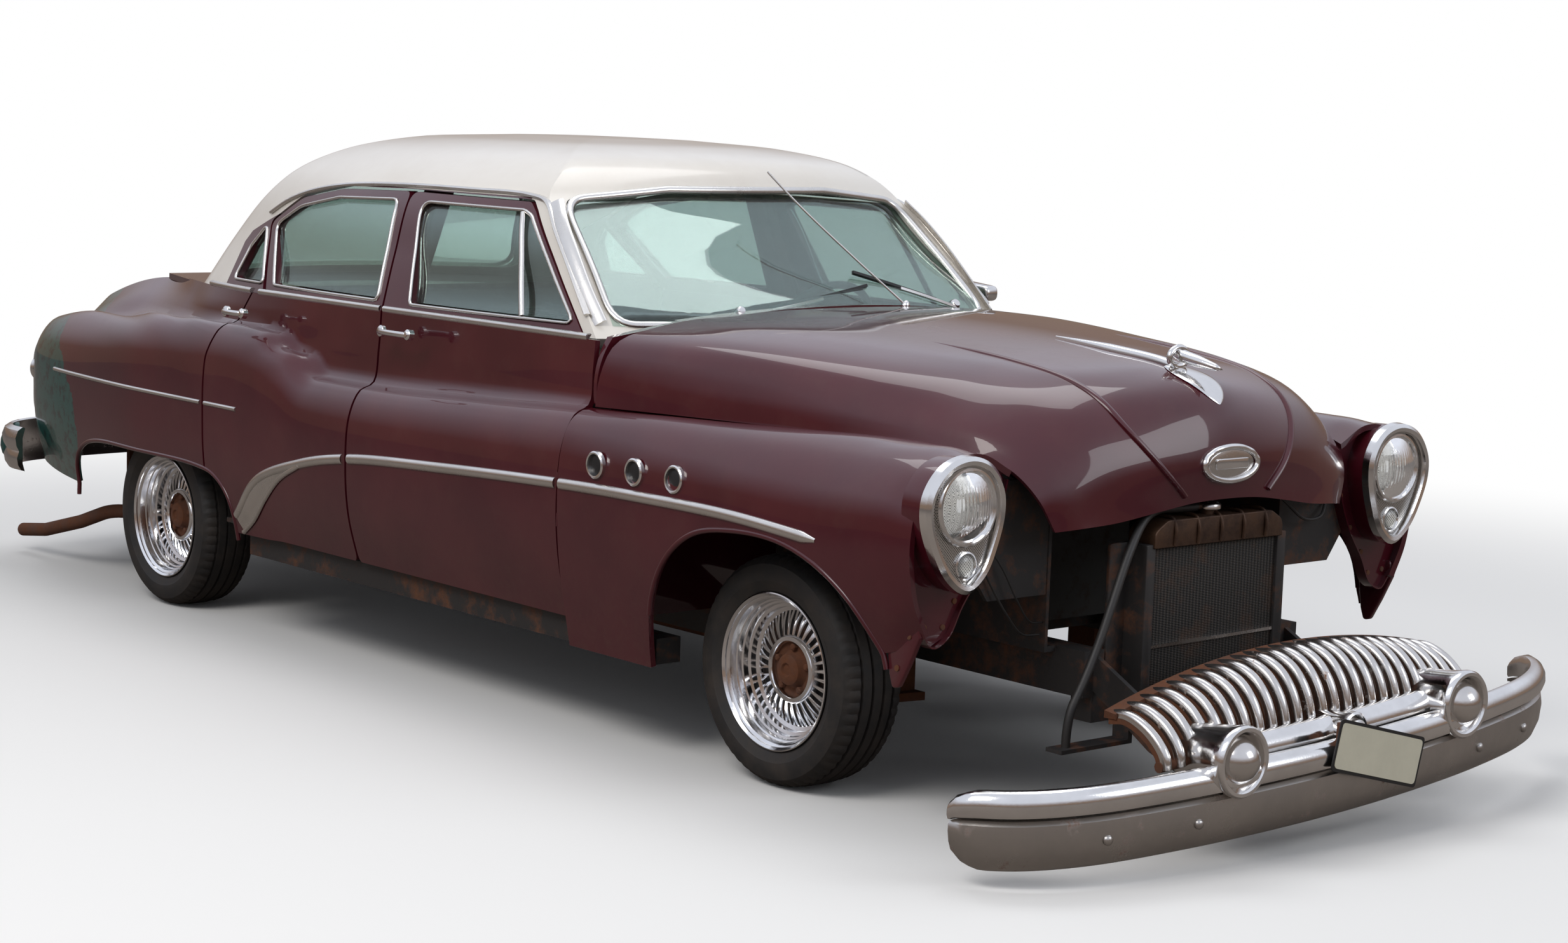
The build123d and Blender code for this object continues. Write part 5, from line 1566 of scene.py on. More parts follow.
@dataclass
class Hood:
    """The long hood, with its raised bead, bright centre ornament and bare oval."""

    # long lines from the cowl to the lip: x, y, z in millimetres
    lines: tuple = (
        (
            (846, 848, 908), (1180, 802, 914), (1543, 727, 915), (1905, 667, 914), (2080, 636, 904),
            (2180, 612, 880), (2240, 575, 815), (2262, 535, 735),
        ),
        (
            (858, 846, 985), (1180, 796, 985), (1543, 718, 978), (1905, 646, 970), (2090, 604, 952),
            (2190, 566, 912), (2256, 520, 840), (2286, 478, 742),
        ),
        (
            (882, 812, 1078), (1180, 758, 1080), (1543, 672, 1066), (1905, 572, 1048), (2110, 500, 1022),
            (2215, 446, 975), (2284, 396, 880), (2306, 366, 752),
        ),
        (
            (908, 660, 1128), (1180, 610, 1130), (1543, 520, 1118), (1905, 432, 1096), (2125, 350, 1066),
            (2240, 300, 1012), (2312, 258, 900), (2322, 236, 772),
        ),
        (
            (928, 340, 1156), (1180, 320, 1156), (1543, 275, 1142), (1905, 225, 1118), (2138, 180, 1090),
            (2262, 150, 1035), (2331, 126, 900), (2331, 116, 788),
        ),
        (
            (936, 0, 1166), (1180, 0, 1166), (1543, 0, 1152), (1905, 0, 1128), (2145, 0, 1100),
            (2275, 0, 1046), (2338, 0, 905), (2334, 0, 792),
        ),
    )
    wall: float = 0.014
    along: int = 96
    across: int = 72

    def surface(self) -> np.ndarray:
        """The skin's points, rows along the car and columns from left to right.

        Returns:
            An array of rows, columns and three.
        """
        long_lines = np.array([spline(mm(line), self.along) for line in self.lines])
        mirror = long_lines[-2::-1] * (1, -1, 1)
        ribs = np.concatenate([long_lines, mirror]).transpose(1, 0, 2)
        return np.array([spline(rib, self.across + 1) for rib in ribs])

    def at(self, y: float, z_or_x: float, by: str = "x") -> np.ndarray:
        """The skin's point nearest to a place given by (x, y), or by (z, y) at the nose.

        Args:
            y: The distance out from the middle, in metres.
            z_or_x: The height or the place along the car.
            by: Which of the two it is: x or z.

        Returns:
            The point.
        """
        flat = self.surface().reshape(-1, 3)
        axis = 0 if by == "x" else 2
        score = np.abs(flat[:, axis] - z_or_x) + np.abs(flat[:, 1] - y)
        return flat[int(np.argmin(score))]

    def build(self) -> None:
        """Makes the hood and what is fixed to it."""
        grid = self.surface()
        skin = grid_piece("hood_skin", grid)
        if skin.data.polygons[100].normal.z < 0:
            skin.data.flip_normals()
        thicken(skin, self.wall)
        fitted(crisp(skin), Look.MAROON, "hood")
        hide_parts("hood")
        self.beads(grid)
        self.ornament(grid)
        self.oval(grid)

    def beads(self, grid: np.ndarray) -> None:
        """The raised bead that frames the hood's middle and turns in over the nose.

        Args:
            grid: The skin's points.
        """
        for side, sign in SIDES:
            shares = spline(
                [(0.42, 0.30), (0.62, 0.285), (0.76, 0.27), (0.86, 0.262), (0.93, 0.30), (0.985, 0.36)], 60,
            )
            path = []
            for u, v in shares:
                column = v if sign > 0 else 1 - v
                row, place = u * (self.along - 1), column * self.across
                i, j = int(row), int(place)
                near = grid[min(i + 1, self.along - 1), j] * (row - i) + grid[i, j] * (1 - row + i)
                beside = grid[i, min(j + 1, self.across)] - grid[i, j]
                path.append(near + beside * (place - j) - (0, 0, 0.002))
            bead = swept(
                f"hood_bead_{side}", np.array(path), circle(0.011, 12, 0.7),
                scale=lambda s: 0.25 + 0.75 * min(1, 5 * s),
            )
            fitted(bead, Look.MAROON, "hood")

    def ornament(self, grid: np.ndarray) -> None:
        """The bright strip, hoop and teardrop foot along the hood's centre.

        Args:
            grid: The skin's points.
        """
        middle = grid[:, self.across // 2]
        run = middle[(middle[:, 0] > 1.72) & (middle[:, 0] < 2.15)] + (0, 0, 0.004)
        strip = swept(
            "ornament_strip", resample(run, 40), half_round(0.026, 0.012),
            scale=lambda s: 0.15 + 0.85 * min(1, 2.2 * s),
        )
        top = np.array([2.150, 0, float(np.interp(2.150, middle[:, 0], middle[:, 2])) + 0.030])
        ring = [
            top + (0, 0.033 * math.cos(t), 0.024 * math.sin(t)) for t in np.linspace(0, 2 * math.pi, 28)[:-1]
        ]
        hoop = swept("ornament_hoop", np.array(ring), circle(0.0085, 10), up=(1, 0, 0), closed=True)
        dart = lathed(
            "ornament_dart",
            [(-0.03, 0.0), (-0.02, 0.010), (0.02, 0.017), (0.07, 0.015), (0.125, 0.009), (0.15, 0.0)],
            top + (0, 0, 0.006),
            (0.985, 0, -0.17),
            24,
        )
        base_line = middle[(middle[:, 0] > 2.13) & (middle[:, 0] < 2.30)]
        foot = swept(
            "ornament_foot",
            resample(base_line + (0, 0, 0.001), 24),
            half_round(0.11, 0.006),
            scale=lambda s: max(0.05, math.sin(math.pi * min(1.0, 0.12 + 0.88 * s)) ** 0.6),
        )
        for piece in (strip, hoop, dart, foot):
            fitted(piece, Look.CHROME, "hood")

    def oval(self, grid: np.ndarray) -> None:
        """A bright oval ring on the nose round a bare field.

        Args:
            grid: The skin's points.
        """
        centre = self.at(0.0, 0.880, "z")
        turns = np.linspace(0, 2 * math.pi, 56, endpoint=False)
        flat = grid.reshape(-1, 3)
        path = []
        for t in turns:
            y, z = 0.098 * math.cos(t), 0.880 + 0.042 * math.sin(t)
            near = flat[np.argsort((flat[:, 1] - y) ** 2 + (flat[:, 2] - z) ** 2)[:4]]
            path.append((max(near[:, 0].mean(), centre[0] - 0.02) + 0.004, y, z))
        ring = swept("nose_oval", np.array(path), circle(0.0085, 12), up=(1, 0, 0), closed=True)
        field_line = [(p[1] * 0.86, 0.880 + (p[2] - 0.880) * 0.86) for p in path]
        plate = prism("nose_oval_field", field_line, centre[0] - 0.006, centre[0] + 0.001, axis="x")
        bar = prism(
            "nose_oval_bar",
            rounded([(-0.060, 0.868), (0.060, 0.868), (0.060, 0.894), (-0.060, 0.894)], 0.006),
            centre[0],
            centre[0] + 0.006,
            axis="x",
        )
        fitted(ring, Look.CHROME, "hood")
        fitted(eased(plate, 0.002), Look.PITTED, "hood")
        fitted(eased(bar, 0.002), Look.CHROME, "hood")


# ------------------------------------------------------------------ front end
@dataclass
class SlungFrame:
    """The plane of the bumper and grille, which hang low and rolled, the right end down."""

    roll: float = math.radians(2.75)
    lift: float = 0.185

    def world(self, points: Sequence) -> np.ndarray:
        """Points of the hanging unit in the car's frame.

        Args:
            points: Points in the unit's own frame.

        Returns:
            The points in metres.
        """
        p = np.asarray(points, float)
        c, s = math.cos(self.roll), math.sin(self.roll)
        return np.stack(
            [p[..., 0], p[..., 1] * c - p[..., 2] * s, self.lift + p[..., 1] * s + p[..., 2] * c], axis=-1,
        )

    def up(self) -> tuple[float, float, float]:
        """The unit's own upward direction."""
        return (0.0, -math.sin(self.roll), math.cos(self.roll))


SLUNG = SlungFrame()


@dataclass
class FrontBumper:
    """The heavy bumper: a bright roll over a dull apron, with two bullets and a cross tube."""

    line: tuple = (
        (2.470, -1.046), (2.520, -1.030), (2.600, -0.960), (2.672, -0.820), (2.728, -0.560), (2.758, -0.280),
        (2.768, 0.0), (2.758, 0.280), (2.728, 0.560), (2.672, 0.820), (2.600, 0.960), (2.520, 1.030),
        (2.470, 1.046),
    )
    bullet_y: float = 0.420
    bullet_z: float = 0.100
    bullet_tail: float = 2.612
    tube_z: float = 0.092

    def path(self, count: int = 110) -> np.ndarray:
        """The bumper's line in the car's frame."""
        flat = spline(self.line, count)
        return SLUNG.world(np.hstack([flat, np.zeros((count, 1))]))

    def build(self) -> None:
        """Makes the bumper's pieces."""
        roll = [
            (-0.014, 0.040), (-0.015, 0.076), (-0.004, 0.093), (0.012, 0.0945), (0.026, 0.086),
            (0.034, 0.070), (0.035, 0.052), (0.029, 0.036), (0.016, 0.030), (-0.008, 0.030),
        ]
        apron = [
            (-0.013, 0.024), (0.014, 0.025), (0.024, 0.016), (0.027, -0.010), (0.022, -0.050),
            (0.008, -0.084), (-0.004, -0.094), (-0.012, -0.088), (0.002, -0.060), (0.010, -0.020),
            (0.006, 0.008), (-0.012, 0.012),
        ]
        line = self.path()

        def ends(share: float) -> float:
            """The section's size, drawn in at the curled ends."""
            return 0.62 + 0.38 * min(1.0, min(share, 1 - share) / 0.030) ** 0.5

        for name, profile, finish in (
            ("bumper_roll", roll, Look.CHROME), ("bumper_apron", apron, Look.DULL_APRON),
        ):
            piece = swept(name, line, profile, up=SLUNG.up(), scale=ends)
            fitted(piece, finish, "root")
            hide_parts("front_bumper")
        self.bullets()
        self.bolts(line)
        self.plate()

    def bullets(self) -> None:
        """Two ringed bullets, the small middle one and the tube that joins them."""
        forward = (1, 0, 0)
        shell = [
            (0.0, 0.0), (0.0, 0.060), (0.006, 0.067), (0.09, 0.074), (0.140, 0.081), (0.160, 0.0855),
            (0.172, 0.0855), (0.178, 0.081), (0.178, 0.073), (0.171, 0.067), (0.160, 0.064), (0.150, 0.060),
            (0.148, 0.057),
        ]
        dome = [(0.146, 0.058), (0.160, 0.056), (0.178, 0.048), (0.194, 0.034), (0.203, 0.018), (0.206, 0.0)]
        for side, sign in SIDES:
            centre = SLUNG.world((self.bullet_tail, sign * self.bullet_y, self.bullet_z))
            for name, profile, finish in (("shell", shell, Look.CHROME), ("dome", dome, Look.PITTED)):
                fitted(
                    lathed(f"bullet_{name}_{side}", profile, centre, forward, 56), finish, "root",
                )
        centre = SLUNG.world((2.640, 0.0, self.bullet_z))
        small = [
            (0.0, 0.0), (0.0, 0.034), (0.08, 0.040), (0.118, 0.047), (0.130, 0.047), (0.134, 0.042),
            (0.128, 0.036), (0.122, 0.033),
        ]
        fitted(lathed("middle_bullet", small, centre, forward, 44), Look.CHROME, "root")
        lamp = [(0.120, 0.034), (0.140, 0.030), (0.150, 0.018), (0.154, 0.0)]
        fitted(lathed("middle_lamp", lamp, centre, forward, 36), Look.PITTED, "root")
        ends = SLUNG.world(
            [
                (2.690, -self.bullet_y, self.tube_z), (2.705, 0.0, self.tube_z),
                (2.690, self.bullet_y, self.tube_z),
            ]
        )
        tube = swept("cross_tube", spline(ends, 30), circle(0.040, 28), up=(1, 0, 0))
        fitted(tube, Look.CHROME, "root")

    def bolts(self, line: np.ndarray) -> None:
        """Round bolt heads along the apron.

        Args:
            line: The bumper's line.
        """
        head = [(0.0, 0.0125), (0.004, 0.0120), (0.008, 0.008), (0.010, 0.0)]
        heads = []
        for share in (0.16, 0.27, 0.73, 0.84):
            here = line[int(share * (len(line) - 1))]
            ahead = line[int(share * (len(line) - 1)) + 1] - here
            out = np.cross(ahead, (0, 0, 1))
            out /= np.linalg.norm(out)
            heads.append(lathed("bolt", head, here + out * 0.024 - (0, 0, 0.030), out, 18))
        fitted(joined("bumper_bolts", heads), Look.DULL_APRON, "root")

    def plate(self) -> None:
        """A blank cream plate with a dark rim, hung askew."""
        wide, high, corner = 0.330, 0.118, 0.012
        tilt = math.radians(14.5)
        centre = np.array([2.808, 0.040, 0.232])
        for name, grow, low, top, finish in (
            ("plate_rim", 0.004, 0.0, 0.003, Look.DARK), ("plate_face", -0.004, 0.0025, 0.0045, Look.CREAM),
        ):
            half_w, half_h = wide / 2 + grow, high / 2 + grow
            flat = rounded(
                [(-half_w, -half_h), (half_w, -half_h), (half_w, half_h), (-half_w, half_h)], corner,
            )
            turned = [
                (a * math.cos(tilt) + b * math.sin(tilt), -a * math.sin(tilt) + b * math.cos(tilt))
                for a, b in flat
            ]
            outline = [(centre[1] + a, centre[2] + b) for a, b in turned]
            fitted(
                prism(name, outline, centre[0] + low, centre[0] + top, axis="x"), finish, "root",
            )
        for offset in (-0.11, 0.11):
            spot = centre + (0, offset * math.cos(tilt), -offset * math.sin(tilt) + 0.035)
            stay = prism(
                f"plate_stay_{'a' if offset < 0 else 'b'}",
                [
                    (spot[1] - 0.008, spot[2] - 0.02), (spot[1] + 0.008, spot[2] - 0.02),
                    (spot[1] + 0.008, spot[2] + 0.02), (spot[1] - 0.008, spot[2] + 0.02),
                ],
                2.770, 2.809, axis="x",
            )
            fitted(stay, Look.RUSTY, "root")


@dataclass
class Grille:
    """The toothed grille that hangs with the bumper."""

    bars: int = 25
    half_width: float = 0.560
    side_drop: float = 0.070

    def bar_path(self, y: float, sink: float = 0.0) -> np.ndarray:
        """One tooth's curve, from the top rail down behind the bumper.

        Args:
            y: The distance out from the middle, in metres.
            sink: How far below the first tooth line it lies.

        Returns:
            The curve's points.
        """
        drop = self.side_drop * (y / self.half_width) ** 2
        local = [
            (2.500, y, 0.256 - drop - sink), (2.552, y, 0.262 - drop - sink), (2.610, y, 0.242 - drop - sink),
            (2.652, y, 0.196 - drop * 0.8 - sink * 0.4), (2.672, y, 0.140 - drop * 0.4), (2.676, y, 0.085),
        ]
        return SLUNG.world(spline(local, 26))

    def build(self) -> None:
        """Makes the teeth, their rusty backs and the two rails."""
        faces, backs = [], []
        section = [
            (-0.0125, -0.010), (-0.0125, 0.001), (-0.0105, 0.006), (-0.005, 0.0095), (0.0, 0.0105),
            (0.005, 0.0095), (0.0105, 0.006), (0.0125, 0.001), (0.0125, -0.010),
        ]
        back = [(-0.0115, -0.024), (-0.0115, -0.009), (0.0115, -0.009), (0.0115, -0.024)]
        for i in range(self.bars):
            y = self.half_width * (2 * i / (self.bars - 1) - 1)
            line = self.bar_path(y)
            faces.append(swept("tooth", line, section, up=(0.75, 0, 0.66)))
            backs.append(swept("tooth_back", line, back, up=(0.75, 0, 0.66)))
        teeth = fitted(joined("grille_teeth", faces), Look.PITTED, "root")
        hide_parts("grille")
        fitted(joined("grille_backs", backs), Look.RUSTY, "root")
        share = np.linspace(-1, 1, 50)
        rail = SLUNG.world(
            [(2.500, y * (self.half_width + 0.018), 0.256 - self.side_drop * y**2 + 0.002) for y in share]
        )
        flange = swept(
            "grille_flange", rail, [(-0.010, -0.012), (0.030, -0.010), (0.030, 0.004), (-0.004, 0.008)],
            up=(0, 0, 1),
        )
        fitted(flange, Look.RUSTY, "root")
        low = SLUNG.world([(2.662, y * (self.half_width + 0.015), 0.090) for y in share])
        fitted(
            swept("grille_low_rail", low, circle(0.013, 10), up=(0, 0, 1)), Look.RUSTY, "root",
        )


@dataclass
class Headlamps:
    """Egg-shaped bezels, each round a ribbed lamp over a small round one."""

    x: float = 2.190
    y: float = 0.802
    z: float = 0.811
    lens: float = 0.085

    def egg(self, grow: float, x: float, count: int = 64) -> np.ndarray:
        """The bezel's outline on the left, moved out by grow.

        Args:
            grow: How far it is moved out.
            x: The place along the car, in metres.
            count: Points on the outline.

        Returns:
            The points.
        """
        points = [
            (0.0, 0.114), (0.075, 0.094), (0.124, 0.036), (0.130, -0.020), (0.104, -0.094), (0.055, -0.168),
            (-0.004, -0.200), (-0.056, -0.166), (-0.092, -0.094), (-0.112, -0.020), (-0.108, 0.036),
            (-0.068, 0.092),
        ]
        ring = spline(points, count + 1, closed=True)[:-1]
        size = 1 + grow / 0.12
        return np.array([(x, self.y + a * size, self.z - 0.003 + b * size) for a, b in ring])

    def build(self) -> None:
        """Makes both lamps."""
        for side, sign in SIDES:
            for piece in self.pieces(side):
                if sign < 0:
                    twin = mirrored(piece, piece.name)
                    finish = piece.data.materials[0]
                    removed(piece)
                    piece = twin
                    piece.data.materials.clear()
                    piece.data.materials.append(finish)
                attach(piece, "root")
                if piece.name.startswith("lamp_bezel"):
                    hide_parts("headlamps")

    def pieces(self, side: str) -> list[Piece]:
        """One lamp's pieces, made on the left.

        Args:
            side: The name of the side, left or right.

        Returns:
            The dressed pieces.
        """
        bezel = swept(
            f"lamp_bezel_{side}", self.egg(-0.006, self.x + 0.042),
            [
                (-0.016, -0.014), (-0.014, 0.006), (-0.004, 0.015), (0.006, 0.012), (0.012, 0.0),
                (0.014, -0.014),
            ],
            up=(1, 0, 0), closed=True,
        )
        rows = [self.egg(0.002, self.x - 0.040), self.egg(0.003, self.x), self.egg(0.0, self.x + 0.034)]
        housing = grid_piece(f"lamp_housing_{side}", np.array(rows), close_columns=True)
        face_points = self.egg(-0.010, self.x + 0.034)
        outline = [(p[1], p[2]) for p in face_points]
        plate = prism(f"lamp_plate_{side}", outline, self.x + 0.026, self.x + 0.036, axis="x")
        here = (self.x + 0.034, self.y, self.z)
        ahead = (1, 0, 0)
        ring = lathed(
            f"lamp_ring_{side}",
            [(0.0, 0.094), (0.010, 0.096), (0.016, 0.092), (0.017, 0.087), (0.010, 0.084)], here, ahead, 56,
        )
        bowl = lathed(
            f"lamp_bowl_{side}", [(0.002, 0.084), (-0.002, 0.06), (0.001, 0.03), (0.004, 0.0)], here, ahead,
            40,
        )
        glass = self.ribbed(f"lamp_glass_{side}", here)
        low = (self.x + 0.034, self.y - 0.005, self.z - 0.140)
        turn_ring = lathed(
            f"turn_ring_{side}", [(0.0, 0.034), (0.007, 0.034), (0.009, 0.030), (0.004, 0.027)], low, ahead,
            36,
        )
        turn = lathed(
            f"turn_lens_{side}", [(0.003, 0.028), (0.009, 0.022), (0.013, 0.011), (0.014, 0.0)], low, ahead,
            32,
        )
        pairs = (
            (bezel, Look.CHROME), (housing, Look.MAROON), (plate, MESH_PLATE), (ring, Look.CHROME),
            (bowl, Look.ALLOY), (glass, Look.LENS), (turn_ring, Look.CHROME), (turn, Look.LENS),
        )
        return [dressed(piece, finish) for piece, finish in pairs]

    def ribbed(self, name: str, centre: Point) -> Piece:
        """The big lens: a shallow dome with upright flutes.

        Args:
            name: The object's name.
            centre: The middle of its back.

        Returns:
            The lens.
        """
        rings, spokes = 26, 72
        points = []
        for i in range(rings):
            r = self.lens * (i / (rings - 1)) ** 0.9
            row = []
            for j in range(spokes):
                t = 2 * math.pi * j / spokes
                y, z = r * math.cos(t), r * math.sin(t)
                flute = 0.0009 * math.cos(y * 2 * math.pi / 0.0105) if abs(z) < 0.055 else 0.0
                dome = 0.026 * (1 - (r / self.lens) ** 2)
                row.append((centre[0] + 0.010 + dome + flute, centre[1] + y, centre[2] + z))
            points.append(row)
        return grid_piece(name, np.array(points), close_columns=True)


@dataclass(frozen=True)
class Perforated(Finish):
    """Bright sheet with rows of small holes, painted near-black as painted shade."""

    pitch: float = 0.0072

    def shade(self, shader: Shader) -> None:
        """Wires the holes.

        Args:
            shader: The material to wire.
        """
        place = shader.place()
        across = shader.math(
            "SINE", shader.math("MULTIPLY", shader.part(place, "Y"), 2 * math.pi / self.pitch),
        )
        up = shader.math("SINE", shader.math("MULTIPLY", shader.part(place, "Z"), 2 * math.pi / self.pitch))
        hole = shader.math("GREATER_THAN", shader.math("MULTIPLY", across, up), 0.30)
        # the holes are painted near-black: painted shade in place of the dark behind them
        shader.set(Base_Color=shader.mix(hole, (0.62, 0.60, 0.57), (0.02, 0.018, 0.016)))
        shader.set(Metallic=shader.math("SUBTRACT", 1.0, hole), Roughness=0.28)
        shader.bump(shader.math("SUBTRACT", 1.0, hole), 0.5, 0.001)


MESH_PLATE = Perforated("lamp_mesh")


@dataclass
class NosePanels:
    """The inner faces of the fenders and their screw flanges, the fenders' lower ends and loose lamp wires.
    """

    def build(self) -> None:
        """Makes both sides' panels."""
        self.faces()
        self.tails()
        self.wires()

    def faces(self) -> None:
        """The closing panel under each lamp, with a turned flange and its screw holes."""
        section = FLANK.section_at(FLANK.fender, 2.188)
        outer = [(float(y) - 0.002, float(z)) for y, z in section[6::4]]
        inner = [
            (0.842, 0.470), (0.792, 0.492), (0.752, 0.560), (0.690, 0.648), (0.642, 0.760), (0.616, 0.858),
        ]
        face = prism("fender_face_left", outer + inner, 2.148, 2.162, axis="x")
        edge = [(2.155, y, z) for y, z in spline(inner[::-1] + [(0.872, 0.500)], 40)]
        flange = swept(
            "fender_flange_left", np.array(edge),
            [(-0.002, -0.012), (0.002, -0.012), (0.002, 0.022), (-0.002, 0.022)], up=(1, 0, 0),
        )
        for piece in (face, flange):
            fitted(crisp(piece), Look.MAROON, "root")
            fitted(mirrored(piece, piece.name.replace("left", "right")), Look.MAROON, "root")
        for side, sign in SIDES:
            heads = []
            for y, z in (
                (0.86, 0.520), (0.80, 0.515), (0.765, 0.575), (0.712, 0.645), (0.665, 0.735), (0.636, 0.820),
            ):
                heads.append(
                    lathed(
                        "screw", [(0.0, 0.0075), (0.003, 0.007), (0.004, 0.0)], (2.162, sign * y, z),
                        (1, 0, 0), 14,
                    )
                )
            fitted(joined(f"face_screws_{side}", heads), Look.RUSTY, "root")

    def tails(self) -> None:
        """The short lower end of each fender ahead of the wheel, with its two screws."""
        outline = [
            (2.066, 0.520), (2.176, 0.545), (2.184, 0.500), (2.150, 0.430), (2.118, 0.372), (2.096, 0.366),
            (2.084, 0.400),
        ]
        tail = eased(
            prism("fender_tail_left", rounded([(x, z, 0.012) for x, z in outline], 0.012), 0.878, 0.894),
            0.004,
        )
        for piece in (tail, mirrored(tail, "fender_tail_right")):
            fitted(piece, Look.MAROON, "root")
        for side, sign in SIDES:
            heads = [
                lathed(
                    "screw", [(0.0, 0.008), (0.003, 0.0075), (0.004, 0.0)], (x, sign * 0.8935, z),
                    (0, sign, 0), 14,
                )
                for x, z in ((2.118, 0.486), (2.150, 0.500), (2.112, 0.418))
            ]
            fitted(joined(f"tail_screws_{side}", heads), Look.RUSTY, "root")

    def wires(self) -> None:
        """Loose lamp wires that hang inside the nose."""
        routes = (
            (
                "lamp_wire_a",
                [
                    (2.150, -0.690, 0.690), (2.158, -0.640, 0.600), (2.160, -0.580, 0.520),
                    (2.150, -0.520, 0.470), (2.14, -0.45, 0.46),
                ],
                0.0028,
            ),
            (
                "lamp_wire_b",
                [
                    (2.150, -0.670, 0.720), (2.165, -0.610, 0.640), (2.168, -0.560, 0.560),
                    (2.156, -0.500, 0.500), (2.14, -0.44, 0.49),
                ],
                0.0024,
            ),
            (
                "loom_left",
                [
                    (2.150, 0.640, 0.760), (2.175, 0.570, 0.735), (2.185, 0.500, 0.745),
                    (2.176, 0.430, 0.790), (2.150, 0.36, 0.82),
                ],
                0.0065,
            ),
            (
                "loom_left_b",
                [
                    (2.150, 0.620, 0.730), (2.182, 0.560, 0.690), (2.190, 0.480, 0.690),
                    (2.180, 0.410, 0.740), (2.150, 0.35, 0.79),
                ],
                0.0045,
            ),
        )
        for name, points, radius in routes:
            fitted(
                swept(name, spline(points, 40), circle(radius, 8), up=(1, 0, 0)), Look.HOSE, "root",
            )


@dataclass
class Radiator:
    """The bare radiator: finned core, ribbed bronze tank, side plates, cap and light strip."""

    def build(self) -> None:
        """Makes the radiator."""
        core_x = (2.238, 2.304)
        core = prism(
            "radiator_core", [(-0.232, 0.300), (0.232, 0.300), (0.232, 0.682), (-0.232, 0.682)], *core_x,
            axis="x",
        )
        fitted(eased(core, 0.002), Look.CORE, "root")
        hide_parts("radiator")
        for side, sign in SIDES:
            strut = prism(
                f"radiator_side_{side}",
                rounded(
                    [
                        (sign * 0.230, 0.296), (sign * 0.262, 0.296), (sign * 0.262, 0.690),
                        (sign * 0.230, 0.690),
                    ],
                    0.004,
                ),
                2.232, 2.312, axis="x",
            )
            fitted(eased(strut, 0.002), Look.BLACK, "root")
            wing = prism(
                f"radiator_wing_{side}",
                rounded(
                    [
                        (sign * 0.255, 0.300), (sign * 0.322, 0.300), (sign * 0.322, 0.690),
                        (sign * 0.255, 0.690),
                    ],
                    0.010,
                ),
                2.236, 2.246, axis="x",
            )
            fitted(eased(wing, 0.002), Look.BLACK, "root")
        tank = rounded(
            [
                (-0.240, 0.680, 0.004), (0.240, 0.680, 0.004), (0.240, 0.722, 0.040), (0.195, 0.748, 0.030),
                (-0.195, 0.748, 0.030), (-0.240, 0.722, 0.040),
            ],
            0.01, 7,
        )
        fitted(
            eased(prism("radiator_tank", tank, 2.228, 2.318, axis="x"), 0.008, 3), Look.BRONZE, "root",
        )
        ribs = []
        for y in (-0.17, -0.085, 0.0, 0.085, 0.17):
            line = [
                (2.320, y, 0.684), (2.322, y, 0.725), (2.310, y, 0.749), (2.273, y, 0.752), (2.236, y, 0.749),
            ]
            ribs.append(swept("rib", spline(line, 22), circle(0.005, 8), up=(0, 1, 0)))
        fitted(joined("radiator_ribs", ribs), Look.BRONZE, "root")
        foot = (2.2725, 0, 0.745)
        neck = lathed("radiator_neck", [(0.0, 0.024), (0.018, 0.024), (0.020, 0.026)], foot, (0, 0, 1), 30)
        cap = lathed(
            "radiator_cap",
            [
                (0.016, 0.0), (0.016, 0.033), (0.026, 0.033), (0.030, 0.030), (0.032, 0.018), (0.036, 0.016),
                (0.036, 0.0),
            ],
            foot, (0, 0, 1), 30,
        )
        spout = swept(
            "radiator_spout", np.array([(2.2725, -0.018, 0.767), (2.2725, -0.052, 0.767)]),
            circle(0.0085, 14),
        )
        fitted(neck, Look.BRONZE, "root")
        fitted(cap, Look.PITTED, "root")
        fitted(spout, Look.BRONZE, "root")
        strip = prism(
            "radiator_strip",
            rounded([(-0.236, 0.430), (0.236, 0.436), (0.236, 0.444), (-0.236, 0.438)], 0.001), 2.303, 2.309,
            axis="x",
        )
        fitted(strip, Look.STAINLESS, "root")


@dataclass
class OverflowHose:
    """The black hose from the radiator's neck, over and down to its tab."""

    route: tuple = (
        (2.2725, -0.046, 0.767), (2.2725, -0.116, 0.767), (2.280, -0.190, 0.773), (2.295, -0.262, 0.755),
        (2.317, -0.336, 0.672), (2.333, -0.398, 0.570), (2.341, -0.450, 0.470), (2.346, -0.505, 0.378),
        (2.347, -0.556, 0.305), (2.347, -0.556, 0.232),
    )
    diameter: float = 0.022
    length: float = 0.831

    def build(self) -> None:
        """Makes the hose on one smooth curve."""
        curve = bpy.data.curves.new("overflow_hose_line", "CURVE")
        curve.dimensions = "3D"
        curve.resolution_u = 16
        line = curve.splines.new("NURBS")
        line.points.add(len(self.route) - 1)
        for point, place in zip(line.points, self.route):
            point.co = (*place, 1)
        line.order_u = 3
        line.use_endpoint_u = True
        curve.bevel_depth = self.diameter / 2
        curve.bevel_resolution = 5
        curve.use_fill_caps = True
        hose = bpy.data.objects.new("hose_rubber_tube", curve)
        bpy.context.scene.collection.objects.link(hose)
        curve.materials.append(Look.HOSE.material())
        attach(hose, "root")
        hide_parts("overflow_hose")


